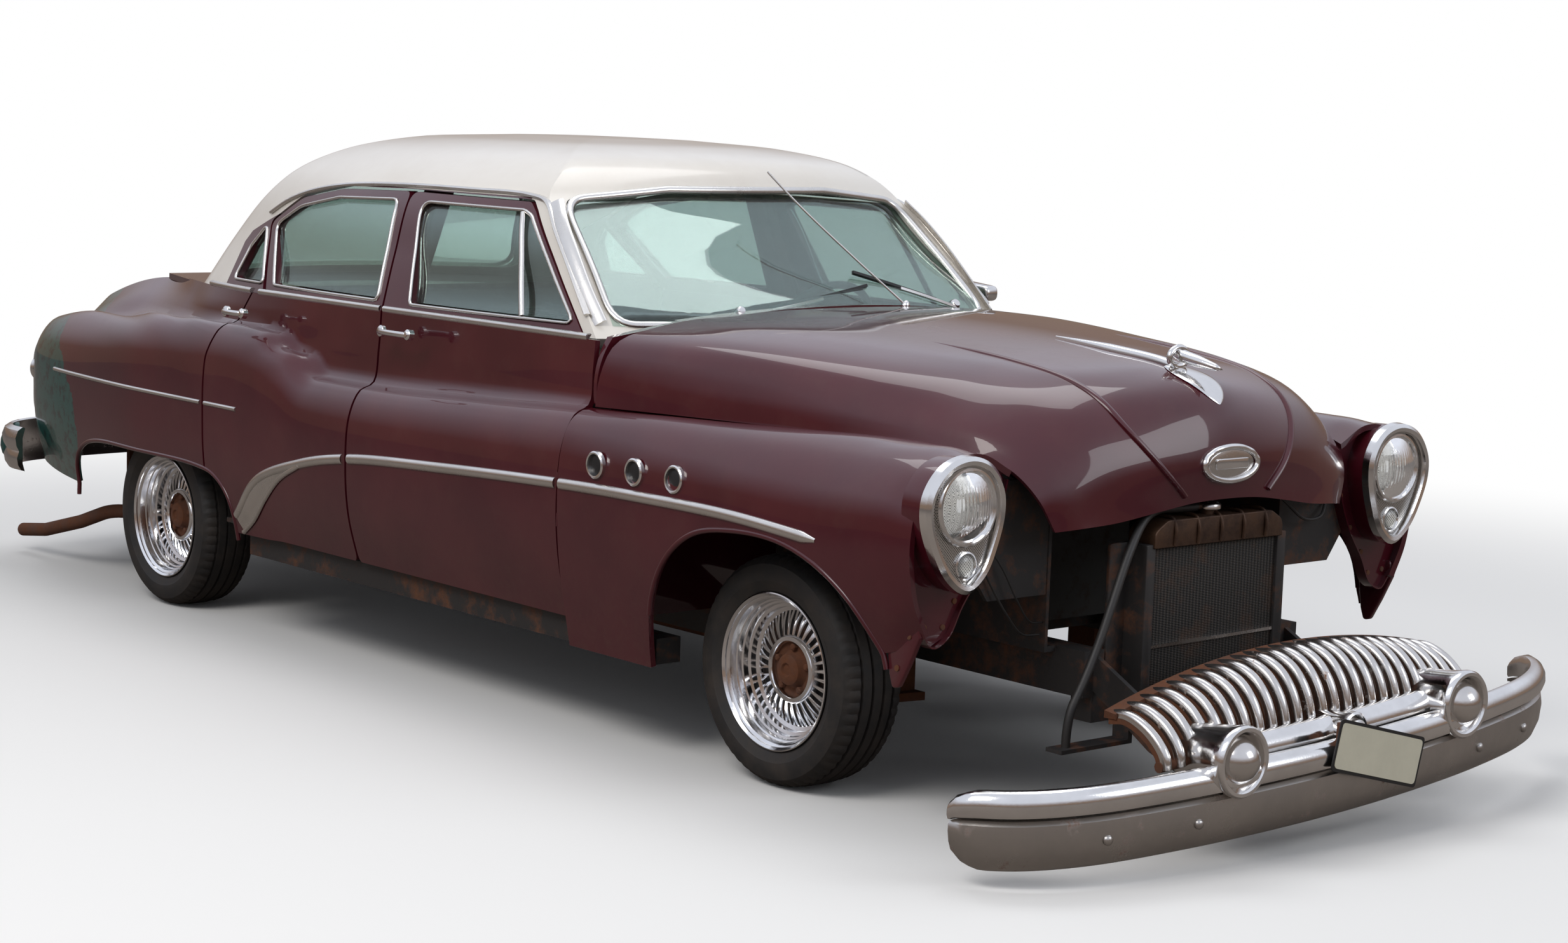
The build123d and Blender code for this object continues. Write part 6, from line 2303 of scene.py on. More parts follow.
# ------------------------------------------------------------------ wheels
@dataclass
class Wheel:
    """A road wheel: grooved tyre, deep polished rim, wire-look spokes and a rusty hub.

    Distances along the axle run outwards from the tyre's middle.
    """

    side: str
    place: str
    sign: int
    x: float
    y: float
    radius: float = 0.300
    width: float = 0.205
    bead: float = 0.192
    spokes: int = 30

    def build(self) -> None:
        """Makes the wheel and sets it on its body."""
        self.centre = (self.x, self.sign * self.y, self.radius)
        self.axis = (0, self.sign, 0)
        tyre = self.tyre()
        rim = self.rim()
        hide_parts(f"tyre_{self.place}_{self.side}")
        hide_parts(f"rim_{self.place}_{self.side}")
        self.spider()
        self.hub()

    def fit(self, piece: Piece, finish: Finish) -> Piece:
        """Sets a piece on this wheel's body."""
        return fitted(piece, finish, f"wheel_{self.place}_{self.side}")

    def named(self, what: str) -> str:
        """A piece's name on this wheel."""
        return f"{what}_{self.place}_{self.side}"

    def tyre(self) -> Piece:
        """The tyre, with four grooves, sidewall rings and cross sipes in its shoulders.

        Returns:
            The tyre.
        """
        half = self.width / 2
        profile = [
            (-0.064, self.bead), (-0.082, 0.200), (-0.097, 0.224), (-half, 0.248), (-0.099, 0.268),
            (-0.088, 0.285), (-0.074, 0.294),
        ]
        for groove in (-0.052, -0.018, 0.018, 0.052):
            crown = 0.300 - 0.0055 * (groove / 0.074) ** 2
            profile += [
                (groove - 0.0050, crown), (groove - 0.0035, crown - 0.0075),
                (groove + 0.0035, crown - 0.0075), (groove + 0.0050, crown),
            ]
        profile += [
            (0.074, 0.294), (0.088, 0.285), (0.094, 0.2775), (0.0965, 0.2755), (0.0985, 0.268), (half, 0.248),
            (0.1005, 0.232), (0.0995, 0.2305), (0.097, 0.224), (0.086, 0.205), (0.0815, 0.2035),
            (0.0805, 0.199), (0.064, self.bead),
        ]
        turns = 180
        piece = lathed(self.named("tyre"), profile, self.centre, self.axis, turns)
        places = np.array([v.co for v in piece.data.vertices]) - self.centre
        along = places[:, 1] * self.sign
        flat = np.hypot(places[:, 0], places[:, 2])
        angle = np.arctan2(places[:, 2], places[:, 0])
        step = np.round(angle / (2 * math.pi) * turns).astype(int) % 3 == 0
        tread = (np.abs(along) > 0.055) & (np.abs(along) < 0.092) & (flat > 0.280)
        shrink = np.where(step & tread, 1 - 0.0038 / flat, 1.0)
        places[:, 0] *= shrink
        places[:, 2] *= shrink
        piece.data.vertices.foreach_set("co", (places + self.centre).ravel())
        piece.data.update()
        return self.fit(crisp(piece, 24), Look.TYRE)

    def rim(self) -> Piece:
        """The deep stepped rim.

        Returns:
            The rim.
        """
        profile = [
            (0.064, 0.1915), (0.088, 0.1935), (0.0935, 0.2000), (0.0925, 0.2030), (0.0890, 0.2035),
            (0.0860, 0.2000), (0.0840, 0.1930), (0.078, 0.1860), (0.060, 0.1830), (0.058, 0.1790),
            (0.046, 0.1770), (0.044, 0.1720), (0.030, 0.1700), (0.027, 0.1620), (0.012, 0.1600),
            (0.008, 0.1500), (0.000, 0.1460), (-0.012, 0.1450), (-0.050, 0.1600), (-0.070, 0.1850),
            (-0.064, 0.1915),
        ]
        piece = lathed(self.named("rim_barrel"), profile, self.centre, self.axis, 96, closed_profile=True)
        return self.fit(piece, Look.ALLOY)

    def spider(self) -> None:
        """Short crossed spokes between the rim and the hub ring."""
        bars = []
        for i in range(self.spokes):
            for lean in (-1, 1):
                turn = 2 * math.pi * (i + 0.25 * lean) / self.spokes
                foot = turn + lean * 0.055
                outer = self.at(turn, 0.149, 0.004)
                knee = self.at((turn + foot) / 2, 0.118, 0.018)
                inner = self.at(foot, 0.083, 0.026)
                bars.append(swept("spoke", spline([outer, knee, inner], 6), circle(0.0032, 6), up=self.axis))
        self.fit(joined(self.named("spokes"), bars), Look.ALLOY)
        disc = lathed(
            self.named("back_disc"), [(-0.010, 0.150), (-0.008, 0.149), (-0.004, 0.08), (-0.004, 0.0)],
            self.centre, self.axis, 48,
        )
        self.fit(disc, Look.BLACK)

    def at(self, turn: float, radius: float, along: float) -> np.ndarray:
        """A point by its angle, its radius and its place along the axle."""
        return np.array(self.centre) + (radius * math.cos(turn), self.sign * along, radius * math.sin(turn))

    def hub(self) -> None:
        """The ringed hub with its five nuts and rusty cup."""
        ring = lathed(
            self.named("hub_ring"),
            [(0.012, 0.090), (0.028, 0.089), (0.034, 0.084), (0.035, 0.074), (0.030, 0.070), (0.022, 0.069)],
            self.centre, self.axis, 60,
        )
        self.fit(ring, Look.ALLOY)
        cup = lathed(
            self.named("hub_cup"),
            [
                (0.020, 0.071), (0.018, 0.050), (0.024, 0.044), (0.040, 0.040), (0.046, 0.032),
                (0.047, 0.018), (0.042, 0.014), (0.041, 0.0),
            ],
            self.centre, self.axis, 44,
        )
        self.fit(cup, Look.RUSTY)
        nuts = []
        for i in range(5):
            spot = self.at(2 * math.pi * (i + 0.2) / 5, 0.0585, 0.018)
            nuts.append(
                lathed(
                    "nut", [(0.0, 0.0095), (0.012, 0.0095), (0.015, 0.006), (0.015, 0.0)], spot, self.axis, 6,
                )
            )
        self.fit(joined(self.named("wheel_nuts"), nuts), Look.RUSTY)


def road_wheels() -> list[Wheel]:
    """The four wheels, at their CAD tyres.

    Returns:
        The wheels.
    """
    wheels = []
    for place in ("front", "rear"):
        for side, sign in SIDES:
            low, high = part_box(f"tyre_{place}_{side}")
            wheels.append(Wheel(side, place, sign, (low.x + high.x) / 2, abs(low.y + high.y) / 2))
    return wheels


# ------------------------------------------------------------------ bright trims
@dataclass
class SideTrims:
    """The mouldings, handles, portholes and window beads of both flanks."""

    spear: tuple = (
        (1871, 693), (1556, 712), (1170, 713), (895, 708), (295, 683), (-221, 650), (-488, 604), (-750, 520),
        (-893, 394),
    )
    # where each side panel begins and ends along the car, and its body
    spans: tuple = (
        ("fender", 0.838, 1.900, None), ("front_door", -0.213, 0.824, "door_front"),
        ("rear_door", -1.20, -0.232, "door_rear"),
    )

    def build(self) -> None:
        """Makes every trim on the left, with its twin on the right."""
        self.spears()
        self.gravel_guard()
        self.belts()
        self.window_beads()
        self.drip_rail()
        self.portholes()
        self.handles()
        self.tail_strip()

    def pair(self, piece: Piece, finish: Finish, body: Optional[str] = None) -> None:
        """Fits a left piece and its mirrored twin.

        Args:
            piece: The left piece.
            finish: The finish.
            body: The body without its side, or nothing for the car itself.
        """
        twin = mirrored(piece, piece.name.replace("left", "right"))
        for part, side in ((piece, "left"), (twin, "right")):
            fitted(part, finish, f"{body}_{side}" if body else "root")

    def on_flank(self, points: np.ndarray, proud: float = 0.0) -> np.ndarray:
        """Side view points set on the flank."""
        return np.array([(x, FLANK.out(float(x), float(z)) + proud, z) for x, z in points])

    def spears(self) -> None:
        """The long side moulding that sweeps down ahead of the rear wheel."""
        whole = spline(mm(self.spear), 260)
        for name, low, high, body in self.spans:
            part = whole[(whole[:, 0] > low) & (whole[:, 0] < high)]
            line = self.on_flank(part, -0.001)

            def narrow(share: float, name: str = name) -> float:
                """Draws the moulding in at its front tip."""
                return min(1.0, 0.35 + share * 14) if name == "fender" else 1.0

            bead = swept(f"spear_{name}_left", line, half_round(0.030, 0.011, 11), up=(0, 1, 0), scale=narrow)
            self.pair(crisp(bead), Look.STAINLESS, body)

    def gravel_guard(self) -> None:
        """The broad bright guard under the rear end of the spear."""
        top = spline(mm(self.spear), 260)
        top = top[(top[:, 0] < -0.480)]
        low = spline(mm([(-480, 600), (-600, 545), (-700, 470), (-790, 392), (-862, 344)]), 60)
        steps = 46
        a, b = resample(top, steps), resample(low, steps)
        rows = []
        for t in np.linspace(0, 1, 9):
            line = a * (1 - t) + b * t
            rows.append(self.on_flank(line, 0.0035 * math.sin(math.pi * min(1.0, t + 0.25)) + 0.001))
        guard = grid_piece("gravel_guard_left", np.array(rows))
        if guard.data.polygons[steps].normal.y < 0:
            guard.data.flip_normals()
        thicken(guard, 0.004)
        edge = swept("guard_edge_left", self.on_flank(b, 0.002), half_round(0.016, 0.008, 9), up=(0, 1, 0))
        self.pair(crisp(guard), Look.STAINLESS, "door_rear")
        self.pair(edge, Look.STAINLESS, "door_rear")

    def belts(self) -> None:
        """The moulding under the windows."""
        for name, low, high, body in (
            ("front", -0.213, 0.790, "door_front"), ("rear", -0.935, -0.232, "door_rear"),
            ("quarter", -1.330, -0.985, None),
        ):
            rows = []
            for x in np.linspace(low, high, 60):
                side = FLANK.section_at(FLANK.flank, float(x))
                rows.append((x, float(side[0, 0]) - 0.008, 1.088))
            bead = swept(f"belt_{name}_left", np.array(rows), half_round(0.022, 0.014, 9), up=(0, 0.8, 0.6))
            self.pair(bead, Look.STAINLESS, body)

    def window_beads(self) -> None:
        """A thin bright bead round each side window, and the front vent's bars."""
        for name, window, body in (
            ("front", Window.FRONT, "door_front"), ("rear", Window.REAR, "door_rear"),
            ("quarter", Window.QUARTER, None),
        ):
            flat = rounded([(x / 1000, z / 1000, r / 1000) for x, z, r in window.value], 0, 7)
            ring = resample(np.array(flat + flat[:1]), 150)[:-1]
            path = np.array([(x, CANOPY.out(float(x), float(z)) + 0.0005, z) for x, z in ring])
            bead = swept(
                f"window_bead_{name}_left", path, half_round(0.011, 0.006, 7), up=(0, 0.9, 0.4), closed=True,
            )
            self.pair(bead, Look.STAINLESS, body)
        foot, head = mm((425, 1117)), mm((289, 1398))
        points = [foot * (1 - t) + head * t for t in np.linspace(0, 1, 12)]
        path = np.array([(x, CANOPY.out(float(x), float(z)) - 0.004, z) for x, z in points])
        bar = swept("vent_bar_left", path, half_round(0.020, 0.010, 7), up=(0, 1, 0))
        self.pair(bar, Look.STAINLESS, "door_front")

    def drip_rail(self) -> None:
        """The gutter above the doors."""
        points = spline(
            mm(
                [
                    (-1140, 1330), (-1040, 1374), (-913, 1408), (-690, 1438), (-369, 1452), (1, 1454),
                    (290, 1450), (380, 1432), (470, 1352), (580, 1248), (690, 1140),
                ]
            ),
            110,
        )
        path = np.array([(x, CANOPY.out(float(x), float(z)) + 0.001, z) for x, z in points])
        rail = swept(
            "drip_rail_left", path,
            [(-0.006, -0.004), (-0.006, 0.010), (0.0, 0.013), (0.005, 0.008), (0.005, -0.004)], up=(0, 1, 0),
        )
        self.pair(rail, Look.STAINLESS)

    def portholes(self) -> None:
        """Three ringed ports high on each fender."""
        for index, x in enumerate((1.000, 1.164, 1.324)):
            z = 0.775
            y = FLANK.out(x, z)
            lean = FLANK.out(x, z - 0.03) - FLANK.out(x, z + 0.03)
            axis = Vector((0, 1, lean / 0.06)).normalized()
            ring = lathed(
                f"port_ring_{index}_left",
                [(-0.004, 0.037), (0.006, 0.0365), (0.009, 0.033), (0.008, 0.029), (-0.002, 0.027)],
                (x, y, z), tuple(axis), 44,
            )
            cup = lathed(
                f"port_cup_{index}_left", [(-0.001, 0.028), (0.001, 0.022), (0.0015, 0.010), (0.002, 0.0)],
                (x, y, z), tuple(axis), 36,
            )
            self.pair(ring, Look.CHROME)
            self.pair(cup, Look.DARK)

    def handles(self) -> None:
        """Push-button pull handles."""
        for name, low, high, z, body in (
            ("front", -0.122, 0.066, 1.036, "door_front"), ("rear", -0.944, -0.806, 1.032, "door_rear"),
        ):
            xs = np.linspace(low + 0.012, high - 0.012, 22)
            path = []
            for x in xs:
                share = (x - xs[0]) / (xs[-1] - xs[0])
                lift = 0.030 * math.sin(math.pi * min(max(share, 0.0), 1.0)) ** 0.45
                path.append((x, FLANK.out(float(x), z) + lift, z + 0.002 * math.sin(math.pi * share)))
            bar = swept(f"handle_{name}_left", np.array(path), circle(0.0085, 14, 0.7), up=(0, 1, 0))
            boss = lathed(
                f"handle_boss_{name}_left", [(-0.004, 0.017), (0.006, 0.0165), (0.010, 0.012), (0.011, 0.0)],
                (low + 0.016, FLANK.out(low + 0.016, z) + 0.001, z), (0, 1, 0.15), 30,
            )
            boss2 = lathed(
                f"handle_button_{name}_left",
                [
                    (-0.004, 0.016), (0.012, 0.0155), (0.016, 0.012), (0.017, 0.009), (0.019, 0.0085),
                    (0.020, 0.0),
                ],
                (high - 0.018, FLANK.out(high - 0.018, z) + 0.001, z), (0, 1, 0.15), 30,
            )
            for piece in (bar, boss, boss2):
                self.pair(piece, Look.CHROME, body)

    def tail_strip(self) -> None:
        """The upper moulding along the rear fender and door."""
        for name, low, high, body in (
            ("door", -1.055, -0.860, "door_rear"), ("quarter", -2.185, -1.083, None),
        ):
            line = np.array([(x, 0.732 - 0.004 * (x + 0.9)) for x in np.linspace(low, high, 60)])
            bead = swept(
                f"tail_strip_{name}_left", self.on_flank(line, -0.001), half_round(0.014, 0.007, 7),
                up=(0, 1, 0),
            )
            self.pair(bead, Look.STAINLESS, body)


@dataclass
class ScreenTrims:
    """The windscreen's and back window's bright surrounds, wipers, aerial and mirror."""

    def build(self) -> None:
        """Makes them."""
        self.surround()
        self.pillar_trims()
        self.wipers()
        self.aerial()
        self.mirror()

    def surround(self) -> None:
        """A bright bead round the windscreen and the back window."""
        front = rounded(
            [
                (-0.708, 1.114, 0.05), (0.708, 1.114, 0.05), (0.634, 1.440, 0.09), (0.30, 1.472, 0.3),
                (-0.30, 1.472, 0.3), (-0.634, 1.440, 0.09),
            ],
            0.05, 10,
        )
        ring = resample(np.array(front + front[:1]), 220)[:-1]
        path = np.array([(CANOPY.ahead(float(y), float(z)) + 0.001, y, z) for y, z in ring])
        fitted(
            swept("screen_surround", path, half_round(0.024, 0.010, 9), up=(1, 0, 0.5), closed=True),
            Look.STAINLESS, "root",
        )
        back = rounded(
            [
                (-0.608, 1.110, 0.05), (0.608, 1.110, 0.05), (0.505, 1.390, 0.08), (0.2, 1.412, 0.3),
                (-0.2, 1.412, 0.3), (-0.505, 1.390, 0.08),
            ],
            0.05, 10,
        )
        ring = resample(np.array(back + back[:1]), 200)[:-1]
        path = np.array([(CANOPY.behind(float(y), float(z)) - 0.001, y, z) for y, z in ring])
        fitted(
            swept("back_window_surround", path, half_round(0.022, 0.010, 9), up=(-1, 0, 0.5), closed=True),
            Look.STAINLESS, "root",
        )

    def pillar_trims(self) -> None:
        """The broad bright strips up both front pillars."""
        for side, sign in SIDES:
            path = spline(
                [
                    (0.722, sign * 0.746, 1.116), (0.640, sign * 0.737, 1.200), (0.545, sign * 0.718, 1.300),
                    (0.460, sign * 0.694, 1.382), (0.404, sign * 0.668, 1.434),
                ],
                40,
            )
            strip = swept(
                f"pillar_trim_{side}", path, half_round(0.046, 0.008, 9), up=(0.55, sign * 0.80, 0.20),
            )
            fitted(strip, Look.STAINLESS, "root")

    def wipers(self) -> None:
        """Two wipers parked up the glass."""
        for name, pivot, tip in (
            ("right", (-0.335, 1.140), (0.150, 1.205)), ("left", (0.545, 1.140), (0.170, 1.240)),
        ):
            reach = np.linspace(0, 1, 16)
            arm = []
            for t in reach:
                y, z = pivot[0] + (tip[0] - pivot[0]) * t * 0.62, pivot[1] + (tip[1] - pivot[1]) * t * 0.62
                arm.append((CANOPY.ahead(y, z) + 0.016 + 0.008 * math.sin(math.pi * t), y, z))
            fitted(
                swept(
                    f"wiper_arm_{name}", np.array(arm),
                    [(-0.005, -0.002), (0.005, -0.002), (0.004, 0.003), (-0.004, 0.003)], up=(1, 0, 0.4),
                ),
                Look.STAINLESS, "root",
            )
            blade = []
            for t in np.linspace(0.22, 1.05, 20):
                y, z = pivot[0] + (tip[0] - pivot[0]) * t, pivot[1] + (tip[1] - pivot[1]) * t + 0.004
                blade.append((CANOPY.ahead(y, z) + 0.009, y, z))
            fitted(
                swept(
                    f"wiper_blade_{name}", np.array(blade),
                    [(-0.006, -0.006), (0.006, -0.006), (0.004, 0.004), (-0.004, 0.004)], up=(1, 0, 0.4),
                ),
                Look.DARK, "root",
            )
            foot = (CANOPY.ahead(*pivot) - 0.004, pivot[0], pivot[1])
            fitted(
                lathed(
                    f"wiper_pivot_{name}", [(0.0, 0.020), (0.014, 0.018), (0.024, 0.012), (0.027, 0.0)], foot,
                    (0.75, 0, 0.66), 24,
                ),
                Look.CHROME, "root",
            )

    def aerial(self) -> None:
        """The rod aerial that lies back over the windscreen's middle."""
        rod = spline(
            [(0.905, 0.216, 1.166), (0.780, 0.130, 1.290), (0.640, 0.040, 1.430), (0.540, -0.010, 1.530)], 30,
        )
        fitted(
            swept("aerial_rod", rod, circle(0.0032, 8), up=(0, 1, 0)), Look.STAINLESS, "root",
        )
        foot = lathed(
            "aerial_foot", [(0.0, 0.016), (0.010, 0.015), (0.024, 0.008), (0.030, 0.0)],
            (0.905, 0.216, 1.150), (0.3, 0, 0.95), 24,
        )
        fitted(foot, Look.CHROME, "root")

    def mirror(self) -> None:
        """The round door mirror on the left door."""
        outline = rounded(
            [(0.470, 1.130, 0.02), (0.600, 1.140, 0.03), (0.600, 1.185, 0.03), (0.470, 1.196, 0.02)], 0.02,
        )
        shell = eased(prism("mirror_shell", outline, 0.850, 0.902), 0.010, 3)
        back = rounded([(0.856, 1.136), (0.896, 1.136), (0.896, 1.190), (0.856, 1.190)], 0.008)
        glass = prism("mirror_glass", back, 0.4675, 0.4695, axis="x")
        stem = swept(
            "mirror_stem", spline([(0.560, 0.846, 1.072), (0.556, 0.856, 1.110), (0.534, 0.866, 1.150)], 12),
            circle(0.0065, 10), up=(0, 1, 0),
        )
        for piece, finish in ((shell, Look.CHROME), (glass, Look.ALLOY), (stem, Look.CHROME)):
            fitted(piece, finish, "door_front_left")


@dataclass
class TailEnd:
    """The rear bumper with its guards, the tail lamps and the odd-coloured patch."""

    line: tuple = (
        (-2.440, -0.902), (-2.520, -0.900), (-2.620, -0.860), (-2.710, -0.740), (-2.765, -0.450),
        (-2.780, 0.0), (-2.765, 0.450), (-2.710, 0.740), (-2.620, 0.860), (-2.520, 0.900), (-2.440, 0.902),
    )

    def build(self) -> None:
        """Makes the rear end."""
        flat = spline(self.line, 90)
        path = np.hstack([flat, np.full((90, 1), 0.425)])
        blade = [
            (-0.004, -0.078), (0.010, -0.074), (0.022, -0.055), (0.026, -0.030), (0.018, -0.006),
            (0.028, 0.014), (0.032, 0.042), (0.022, 0.068), (0.004, 0.080), (-0.006, 0.076), (0.004, 0.040),
            (0.004, -0.050),
        ]
        bumper = swept("rear_bumper_blade", path, [(-a, b) for a, b in blade], up=(0, 0, 1))
        fitted(crisp(bumper), Look.PITTED, "root")
        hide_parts("rear_bumper")
        for side, sign in SIDES:
            guard = lathed(
                f"rear_guard_{side}",
                [(0.0, 0.0), (0.0, 0.044), (0.03, 0.050), (0.06, 0.044), (0.08, 0.026), (0.086, 0.0)],
                (-2.722, sign * 0.56, 0.430), (-1, 0, 0), 36,
            )
            fitted(guard, Look.PITTED, "root")
            self.lamp(side, sign)
        self.tail_caps()
        self.lid_handle()
        self.patch()

    def lamp(self, side: str, sign: int) -> None:
        """A tall tail lamp with a bright rim.

        Args:
            side: The name of the side, left or right.
            sign: 1 on the left, -1 on the right.
        """
        section = FLANK.section_at(FLANK.flank, -2.540)
        y = float(section[:, 0].max()) - 0.055
        centre = (-2.572, sign * y, 0.700)
        rim = lathed(
            f"tail_rim_{side}", [(0.0, 0.048), (0.018, 0.047), (0.022, 0.042), (0.018, 0.037)], centre,
            (-1, sign * 0.25, 0.05), 40,
        )
        lens = lathed(
            f"tail_lens_{side}", [(0.010, 0.040), (0.022, 0.036), (0.034, 0.022), (0.038, 0.0)], centre,
            (-1, sign * 0.25, 0.05), 40,
        )
        low = (centre[0], sign * (y - 0.004), 0.600)
        small = lathed(
            f"tail_small_{side}", [(0.008, 0.030), (0.018, 0.026), (0.026, 0.015), (0.028, 0.0)], low,
            (-1, sign * 0.25, 0.05), 32,
        )
        ring = lathed(
            f"tail_small_rim_{side}", [(0.0, 0.037), (0.012, 0.036), (0.015, 0.031), (0.010, 0.028)], low,
            (-1, sign * 0.25, 0.05), 32,
        )
        for piece, finish in (
            (rim, Look.CHROME), (lens, Look.RED_LENS), (small, Look.LENS), (ring, Look.CHROME),
        ):
            fitted(piece, finish, "root")

    def tail_caps(self) -> None:
        """The crowned ends that close the rear fenders behind the lamps."""
        section = [(float(y) - 0.003, float(z)) for y, z in FLANK.section_at(FLANK.flank, -2.552)[::4]]
        ring = np.array(section + [(0.576, 0.505), (0.576, 0.700)])
        middle = ring.mean(axis=0)
        rows = []
        for share, back in (
            (1.0, -2.548), (0.97, -2.560), (0.88, -2.570), (0.6, -2.578), (0.3, -2.581), (0.04, -2.582),
        ):
            inset = middle + (ring - middle) * share
            rows.append([(back, y, z) for y, z in inset])
        cap = fix_normals(grid_piece("tail_cap_left", np.array(rows), close_columns=True))
        for piece in (cap, mirrored(cap, "tail_cap_right")):
            fitted(piece, Look.TAIL, "root")

    def lid_handle(self) -> None:
        """A plain bright handle low on the trunk lid."""
        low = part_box("trunk_lid")[0]
        foot = (low.x + 0.012, 0.0, 0.700)
        path = spline(
            [
                (foot[0], -0.055, 0.700), (foot[0] - 0.022, -0.035, 0.702), (foot[0] - 0.026, 0.0, 0.703),
                (foot[0] - 0.022, 0.035, 0.702), (foot[0], 0.055, 0.700),
            ],
            24,
        )
        fitted(
            swept("lid_handle", path, circle(0.0075, 12), up=(0, 0, 1)), Look.CHROME, "trunk_lid",
        )
        boss = lathed(
            "lid_lock", [(-0.004, 0.018), (0.008, 0.017), (0.012, 0.011), (0.013, 0.0)],
            (foot[0] + 0.004, 0.0, 0.760), (-1, 0, 0.3), 28,
        )
        fitted(boss, Look.CHROME, "trunk_lid")

    def patch(self) -> None:
        """The small dome on the bumper's right end, teal as a painted reflection."""
        # the dome's teal is a painted reflection
        dome = lathed(
            "bumper_end_dome", [(0.0, 0.070), (0.014, 0.068), (0.036, 0.050), (0.048, 0.026), (0.052, 0.0)],
            (-2.640, -0.838, 0.430), (-0.35, -0.9, 0.2), 36,
        )
        fitted(dome, Look.TEAL, "root")


# ------------------------------------------------------------------ seats
@dataclass
class Cushion:
    """A crowned pad whose sides pull in, with sewn channels and piping."""

    name: str
    centre: Point
    size: Point
    lean: float
    body: str = "root"
    channels: int = 9
    grid: int = 26
    puff: float = 0.010

    def shape(self, p: np.ndarray) -> np.ndarray:
        """Moves points of a unit cube's faces onto the pad.

        Args:
            p: Points on the cube's faces, from -1 to 1.

        Returns:
            Points in metres round the middle of the pad.
        """
        roundness = 7.0
        reach = (np.abs(p) ** roundness).sum(axis=-1, keepdims=True) ** (1 / roundness)
        q = p / reach
        crown = (1 - q[..., 0] ** 2) * (1 - q[..., 1] ** 2)
        edge = 1 - 0.030 * (1 - q[..., 1:2] ** 2) * np.abs(q[..., 0:1])
        top = q[..., 2] * (0.80 + 0.20 * crown)
        q = np.concatenate([q[..., 0:1] * edge, q[..., 1:2], top[..., None]], axis=-1)
        return q * np.array(self.size) / 2

    def seat(self, local: np.ndarray) -> np.ndarray:
        """Turns local points by the lean and sets them in place.

        Args:
            local: Points round the middle of the pad.

        Returns:
            The points in the car's frame.
        """
        c, s = math.cos(self.lean), math.sin(self.lean)
        x, y, z = local[..., 0], local[..., 1], local[..., 2]
        return np.stack([x * c + z * s, y, -x * s + z * c], axis=-1) + np.array(self.centre)

    def blank(self) -> Piece:
        """The closed pad before it is filled.

        Returns:
            The pad.
        """
        n = self.grid
        line = np.linspace(-1, 1, n + 1)
        verts, faces = [], []
        for axis in range(3):
            for sign in (-1.0, 1.0):
                a, b = np.meshgrid(line, line, indexing="ij")
                p = np.zeros((n + 1, n + 1, 3))
                p[..., axis] = sign
                p[..., (axis + 1) % 3], p[..., (axis + 2) % 3] = (a, b) if sign > 0 else (b, a)
                start = len(verts)
                verts.extend(self.seat(self.shape(p)).reshape(-1, 3))
                faces.extend([start + i for i in face] for face in grid_faces(n + 1, n + 1))
        piece = mesh_piece(self.name, np.array(verts), faces)
        work = bmesh.new()
        work.from_mesh(piece.data)
        bmesh.ops.remove_doubles(work, verts=work.verts, dist=0.0005)
        bmesh.ops.recalc_face_normals(work, faces=work.faces)
        work.to_mesh(piece.data)
        work.free()
        return piece

    def fill(self, piece: Piece) -> None:
        """Fills the pad by a short cloth simulation with its movement capped.

        Args:
            piece: The pad.
        """
        rest = np.array([v.co for v in piece.data.vertices])
        cloth = piece.modifiers.new("fill", "CLOTH")
        cloth.settings.use_pressure = True
        cloth.settings.uniform_pressure_force = 4
        cloth.settings.effector_weights.gravity = 0
        scene = bpy.context.scene
        for step in range(1, 21):
            scene.frame_set(step)
        shown = piece.evaluated_get(bpy.context.evaluated_depsgraph_get())
        moved = np.array([v.co for v in shown.data.vertices]) - rest
        reach = np.linalg.norm(moved, axis=1, keepdims=True)
        moved *= np.minimum(1.0, self.puff / np.maximum(reach, 1e-9))
        piece.modifiers.remove(cloth)
        piece.data.vertices.foreach_set("co", (rest + moved).ravel())
        piece.data.update()
        scene.frame_set(1)

    def sew(self, piece: Piece) -> None:
        """Presses the channels into both faces.

        Args:
            piece: The pad.
        """
        smooth = piece.modifiers.new("smooth", "SUBSURF")
        smooth.levels = smooth.render_levels = 1
        applied(piece)
        normals = np.array([v.normal for v in piece.data.vertices])
        places = np.array([v.co for v in piece.data.vertices])
        half = self.size[1] / 2
        pitch = 2 * half * 0.86 / self.channels
        across = places[:, 1] - self.centre[1]
        inside = np.abs(across) < half * 0.90
        phase = across / pitch
        gap = np.abs(phase - np.round(phase)) * pitch
        c, s = math.cos(self.lean), math.sin(self.lean)
        facing = np.abs(normals @ np.array((s, 0, c)))
        depth = 0.007 * np.exp(-((gap / 0.010) ** 2)) * inside * np.clip((facing - 0.5) * 3, 0, 1)
        piece.data.vertices.foreach_set("co", (places - normals * depth[:, None]).ravel())
        piece.data.update()

    def piping(self) -> Piece:
        """Cord-edged seams round the two faces.

        Returns:
            The piping.
        """
        loops = []
        for level in (-0.86, 0.86):
            line = np.linspace(-1, 1, 40)
            ring = np.concatenate([
                np.stack([line, np.full(40, -1.0), np.full(40, level)], axis=1)[:-1],
                np.stack([np.full(40, 1.0), line, np.full(40, level)], axis=1)[:-1],
                np.stack([-line, np.full(40, 1.0), np.full(40, level)], axis=1)[:-1],
                np.stack([np.full(40, -1.0), -line, np.full(40, level)], axis=1)[:-1],
            ])
            path = self.seat(self.shape(ring) * (1.004, 1.002, 1.0))
            loops.append(swept("piping", path, circle(0.0055, 8), up=self.up(), closed=True))
        return joined(f"{self.name}_piping", loops)

    def up(self) -> Point:
        """The pad's own upward direction."""
        return (math.sin(self.lean), 0.0, math.cos(self.lean))

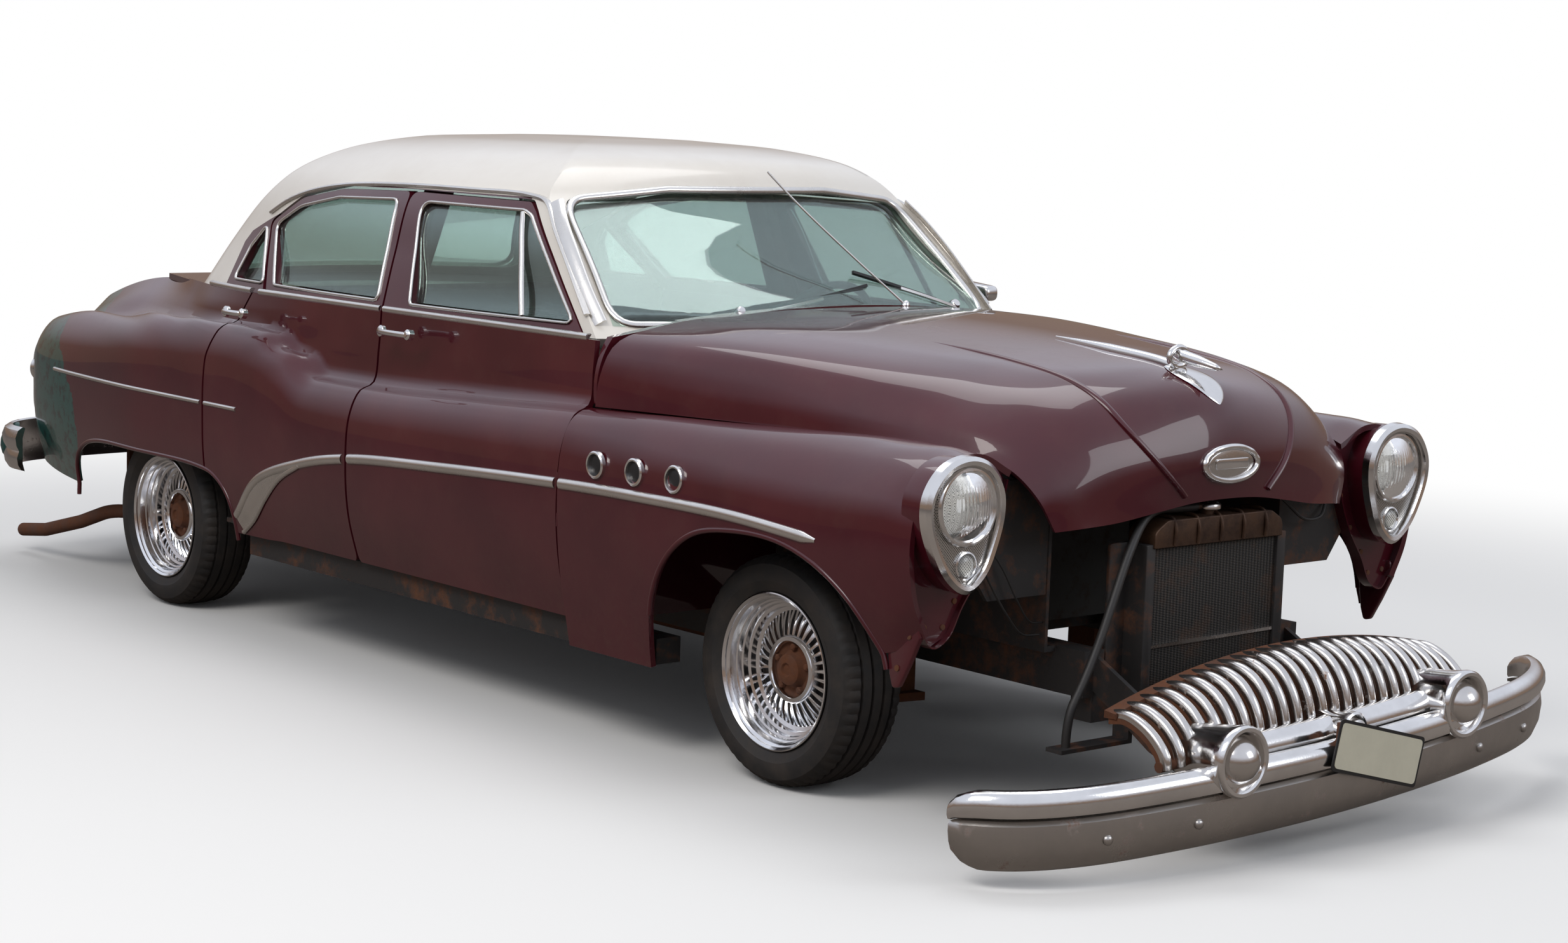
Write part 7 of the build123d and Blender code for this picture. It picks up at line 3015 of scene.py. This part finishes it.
    def build(self) -> Piece:
        """Makes the pad and its piping.

        Returns:
            The pad.
        """
        piece = self.blank()
        self.fill(piece)
        self.sew(piece)
        fitted(piece, Look.CLOTH, self.body)
        fitted(self.piping(), Look.SEAL, self.body)
        return piece


@dataclass
class Seats:
    """The two bench seats, each a cushion and a back over a plinth."""

    def build(self) -> None:
        """Makes both benches."""
        for node, half, cushion, back, plinth in (
            (
                "front_seat", 0.680, ((0.010, 0, 0.530), (0.490, 1.350, 0.110), -0.055),
                ((-0.290, 0, 0.800), (0.480, 1.340, 0.100), -1.33),
                ((-0.300, 0.350), (0.215, 0.350), (0.215, 0.500), (-0.300, 0.480)),
            ),
            (
                "rear_seat", 0.590, ((-0.860, 0, 0.520), (0.440, 1.170, 0.110), -0.06),
                ((-1.130, 0, 0.770), (0.440, 1.160, 0.100), -1.42),
                ((-0.960, 0.350), (-0.660, 0.350), (-0.660, 0.480), (-0.960, 0.460)),
            ),
        ):
            for what, (centre, size, lean) in (("cushion", cushion), ("back", back)):
                piece = Cushion(f"{node}_{what}", centre, size, lean).build()
                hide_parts(node)
            base = prism(f"{node}_plinth", rounded([(x, z, 0.012) for x, z in plinth], 0.012), -half, half)
            fitted(eased(base, 0.004), Look.CLOTH, "root")


# ------------------------------------------------------------------ solids that stay
@dataclass
class CarriedSolids:
    """The solids that show as they are, with their finishes."""

    finishes: dict = field(
        default_factory=lambda: {
            "roof_canopy": Look.TWO_TONE,
            "body_glass": Look.GLASS,
            "cowl": Look.MAROON,
            "trunk_lid": Look.MAROON,
            "rear_deck": Look.MAROON,
            "floor_pan": Look.BLACK,
            "frame": Look.BLACK,
            "engine": Look.GREY_CASTING,
            "inner_fenders": Look.BLACK,
            "front_suspension": Look.RUSTY,
            "rear_axle": Look.RUSTY,
            "exhaust": Look.RUSTY,
            "bumper_irons": Look.BLACK,
            "hood": Look.MAROON,
            "radiator": Look.BRONZE,
            "dashboard": Look.DASH,
            "steering_wheel": Look.DARK,
            "front_bumper": Look.CHROME,
            "rear_bumper": Look.CHROME,
            "grille": Look.PITTED,
            "headlamps": Look.CHROME,
            "front_seat": Look.CLOTH,
            "rear_seat": Look.CLOTH,
        }
    )

    def build(self) -> None:
        """Gives every CAD node a finish."""
        for name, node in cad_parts.items():
            finish = self.finishes.get(name)
            if finish is None:
                finish = self.by_kind(name)
            node.data.materials.clear()
            node.data.materials.append(finish.material())
            crisp(node, 30)

    def by_kind(self, name: str) -> Finish:
        """The finish of a node that comes in pairs.

        Args:
            name: The node's name.

        Returns:
            The finish.
        """
        for start, finish in (
            ("door_glass", Look.GLASS),
            ("door", Look.MAROON),
            ("fender", Look.MAROON),
            ("quarter", Look.MAROON),
            ("tyre", Look.TYRE),
            ("rim", Look.ALLOY),
            ("knuckle", Look.RUSTY),
            ("overflow", Look.HOSE),
        ):
            if name.startswith(start):
                return finish
        return Look.BLACK


# ------------------------------------------------------------------ camera, floor and light
@dataclass
class Studio:
    """The camera, the pale floor and the soft light."""

    eye: Point = (6.9474726, -5.44037356, 1.72506698)
    azimuth: float = 49.196
    elevation: float = 7.2938
    roll: float = 1.8827
    focal_px: float = 4502.2
    picture_width: float = 2467.0
    sensor: float = 36.0
    floor_size: float = 60.0
    floor_near: float = 3.2
    floor_far: float = 6.5
    white: float = 1.0
    ground: Point = (0.25, 0.215, 0.19)
    horizon: Point = (0.24, 0.17, 0.13)
    overhead: Point = (0.80, 0.84, 0.95)
    horizon_at: float = 0.10
    overhead_at: float = 0.42
    sky_level: float = 0.46

    def build(self) -> None:
        """Makes everything round the car."""
        self.camera()
        self.floor()
        self.lights()
        bpy.context.scene.view_settings.view_transform = "Standard"

    def camera(self) -> None:
        """The camera, from its place, its bearing and its roll."""
        az, el, roll = (math.radians(a) for a in (self.azimuth, self.elevation, self.roll))
        back = Vector((math.sin(az) * math.cos(el), -math.cos(az) * math.cos(el), math.sin(el)))
        level = Vector((math.cos(az), math.sin(az), 0))
        upright = back.cross(level)
        right = math.cos(roll) * level + math.sin(roll) * upright
        up = -math.sin(roll) * level + math.cos(roll) * upright
        lens = bpy.data.cameras.new("camera")
        lens.sensor_width = self.sensor
        lens.sensor_fit = "HORIZONTAL"
        lens.lens = self.focal_px / self.picture_width * self.sensor
        lens.clip_end = 200
        holder = bpy.data.objects.new("camera", lens)
        bpy.context.scene.collection.objects.link(holder)
        turn = holder.matrix_world.copy()
        for column, axis in enumerate((right, up, back)):
            for row in range(3):
                turn[row][column] = axis[row]
        for row in range(3):
            turn[row][3] = self.eye[row]
        holder.matrix_world = turn
        bpy.context.scene.camera = holder

    def see_white(
        self, tree: bpy.types.NodeTree, shader: Socket, output: Socket, kinds: tuple, level: float,
    ) -> None:
        """Shows a plain glow to some kinds of ray, and the shader to the rest.

        Args:
            tree: The node tree.
            shader: The socket that every other ray sees.
            output: The socket to feed.
            kinds: The kinds of ray that see the glow.
            level: The glow's strength.
        """
        path = tree.nodes.new("ShaderNodeLightPath")
        kinds = [path.outputs[k] for k in kinds]
        seen = kinds[0]
        for other in kinds[1:]:
            most = tree.nodes.new("ShaderNodeMath")
            most.operation = "MAXIMUM"
            tree.links.new(seen, most.inputs[0])
            tree.links.new(other, most.inputs[1])
            seen = most.outputs[0]
        glow = tree.nodes.new("ShaderNodeBackground")
        glow.inputs["Color"].default_value = (1, 1, 1, 1)
        glow.inputs["Strength"].default_value = level
        blend = tree.nodes.new("ShaderNodeMixShader")
        tree.links.new(seen, blend.inputs[0])
        tree.links.new(shader, blend.inputs[1])
        tree.links.new(glow.outputs[0], blend.inputs[2])
        tree.links.new(blend.outputs[0], output)

    def floor(self) -> None:
        """A wide pale floor that keeps the car's shadow."""
        half = self.floor_size / 2
        corners = np.array([(-half, -half, 0), (half, -half, 0), (half, half, 0), (-half, half, 0)])
        piece = mesh_piece("studio_floor", corners, [(0, 1, 2, 3)], smooth=False)
        shader = Shader("studio_floor")
        sight = shader.node("ShaderNodeLightPath")
        seen = shader.math("MAXIMUM", sight.outputs["Is Camera Ray"], sight.outputs["Is Transmission Ray"])
        shader.set(
            Base_Color=shader.mix(seen, self.ground, (0.92, 0.92, 0.92)), Roughness=0.9,
            Specular_IOR_Level=0.1,
        )
        place = shader.place()
        reach = shader.node("ShaderNodeVectorMath", operation="LENGTH")
        shader.link(place, reach.inputs[0])
        far = shader.node("ShaderNodeMapRange", interpolation_type="SMOOTHSTEP")
        far.inputs["From Min"].default_value = self.floor_near
        far.inputs["From Max"].default_value = self.floor_far
        shader.link(reach.outputs["Value"], far.inputs["Value"])
        glow = shader.node("ShaderNodeEmission")
        glow.inputs["Color"].default_value = (1, 1, 1, 1)
        blend = shader.node("ShaderNodeMixShader")
        shader.link(shader.math("MULTIPLY", far.outputs[0], seen), blend.inputs[0])
        shader.link(shader.body.outputs[0], blend.inputs[1])
        shader.link(glow.outputs[0], blend.inputs[2])
        shader.link(blend.outputs[0], shader.tree.nodes["Material Output"].inputs["Surface"])
        piece.data.materials.append(shader.material)

    def surroundings(self, tree: bpy.types.NodeTree) -> Socket:
        """What glossy faces see: a dim brown horizon under a pale sky.

        Args:
            tree: The world's node tree.

        Returns:
            The background's socket.
        """
        place = tree.nodes.new("ShaderNodeTexCoord")
        parts = tree.nodes.new("ShaderNodeSeparateXYZ")
        tree.links.new(place.outputs["Generated"], parts.inputs[0])
        ramp = tree.nodes.new("ShaderNodeValToRGB")
        ramp.color_ramp.elements[0].position = self.horizon_at
        ramp.color_ramp.elements[0].color = (*self.horizon, 1)
        ramp.color_ramp.elements[1].position = self.overhead_at
        ramp.color_ramp.elements[1].color = (*self.overhead, 1)
        tree.links.new(parts.outputs["Z"], ramp.inputs[0])
        glow = tree.nodes.new("ShaderNodeBackground")
        tree.links.new(ramp.outputs[0], glow.inputs["Color"])
        return glow.outputs[0]

    def lights(self) -> None:
        """A pale sky and three broad lamps."""
        world = bpy.data.worlds.new("sky")
        bpy.context.scene.world = world
        world.use_nodes = True
        tree = world.node_tree
        sky = tree.nodes["Background"]
        sky.inputs["Color"].default_value = (0.93, 0.95, 1.0, 1)
        sky.inputs["Strength"].default_value = self.sky_level
        bright = self.surroundings(tree)
        mirrored = tree.nodes.new("ShaderNodeMixShader")
        path = tree.nodes.new("ShaderNodeLightPath")
        tree.links.new(path.outputs["Is Glossy Ray"], mirrored.inputs[0])
        tree.links.new(sky.outputs[0], mirrored.inputs[1])
        tree.links.new(bright, mirrored.inputs[2])
        out = tree.nodes["World Output"].inputs["Surface"]
        self.see_white(tree, mirrored.outputs[0], out, ("Is Camera Ray", "Is Transmission Ray"), self.white)
        for name, place, size, power, tint in (
            ("key", (2.5, -6.5, 6.5), (5.0, 3.0), 300, (1.0, 0.97, 0.93)),
            ("fill", (8.5, 3.0, 4.5), (4.0, 3.0), 110, (0.94, 0.97, 1.0)),
            ("top", (-1.0, 1.0, 7.5), (6.0, 3.5), 150, (1.0, 1.0, 1.0)),
        ):
            lamp = bpy.data.lights.new(name, "AREA")
            lamp.shape = "RECTANGLE"
            lamp.size, lamp.size_y = size
            lamp.energy = power
            lamp.color = tint
            holder = bpy.data.objects.new(name, lamp)
            holder.location = place
            holder.rotation_euler = (Vector((0, 0, 0.6)) - Vector(place)).to_track_quat("-Z", "Y").to_euler()
            bpy.context.scene.collection.objects.link(holder)


ASSEMBLIES = (
    CarriedSolids(), OverflowHose(), Shell(), Hood(), SideTrims(), ScreenTrims(), FrontBumper(), Grille(),
    Headlamps(), NosePanels(), Radiator(), TailEnd(), Seats(), *road_wheels(),
)


def main() -> None:
    """Builds the car and what stands round it, one sub-assembly at a time."""
    logging.basicConfig(level=logging.INFO, format="%(message)s")
    Studio().build()
    for part in ASSEMBLIES:
        part.build()
        log.info("%s made", type(part).__name__)


if __name__ == "__main__":
    main()
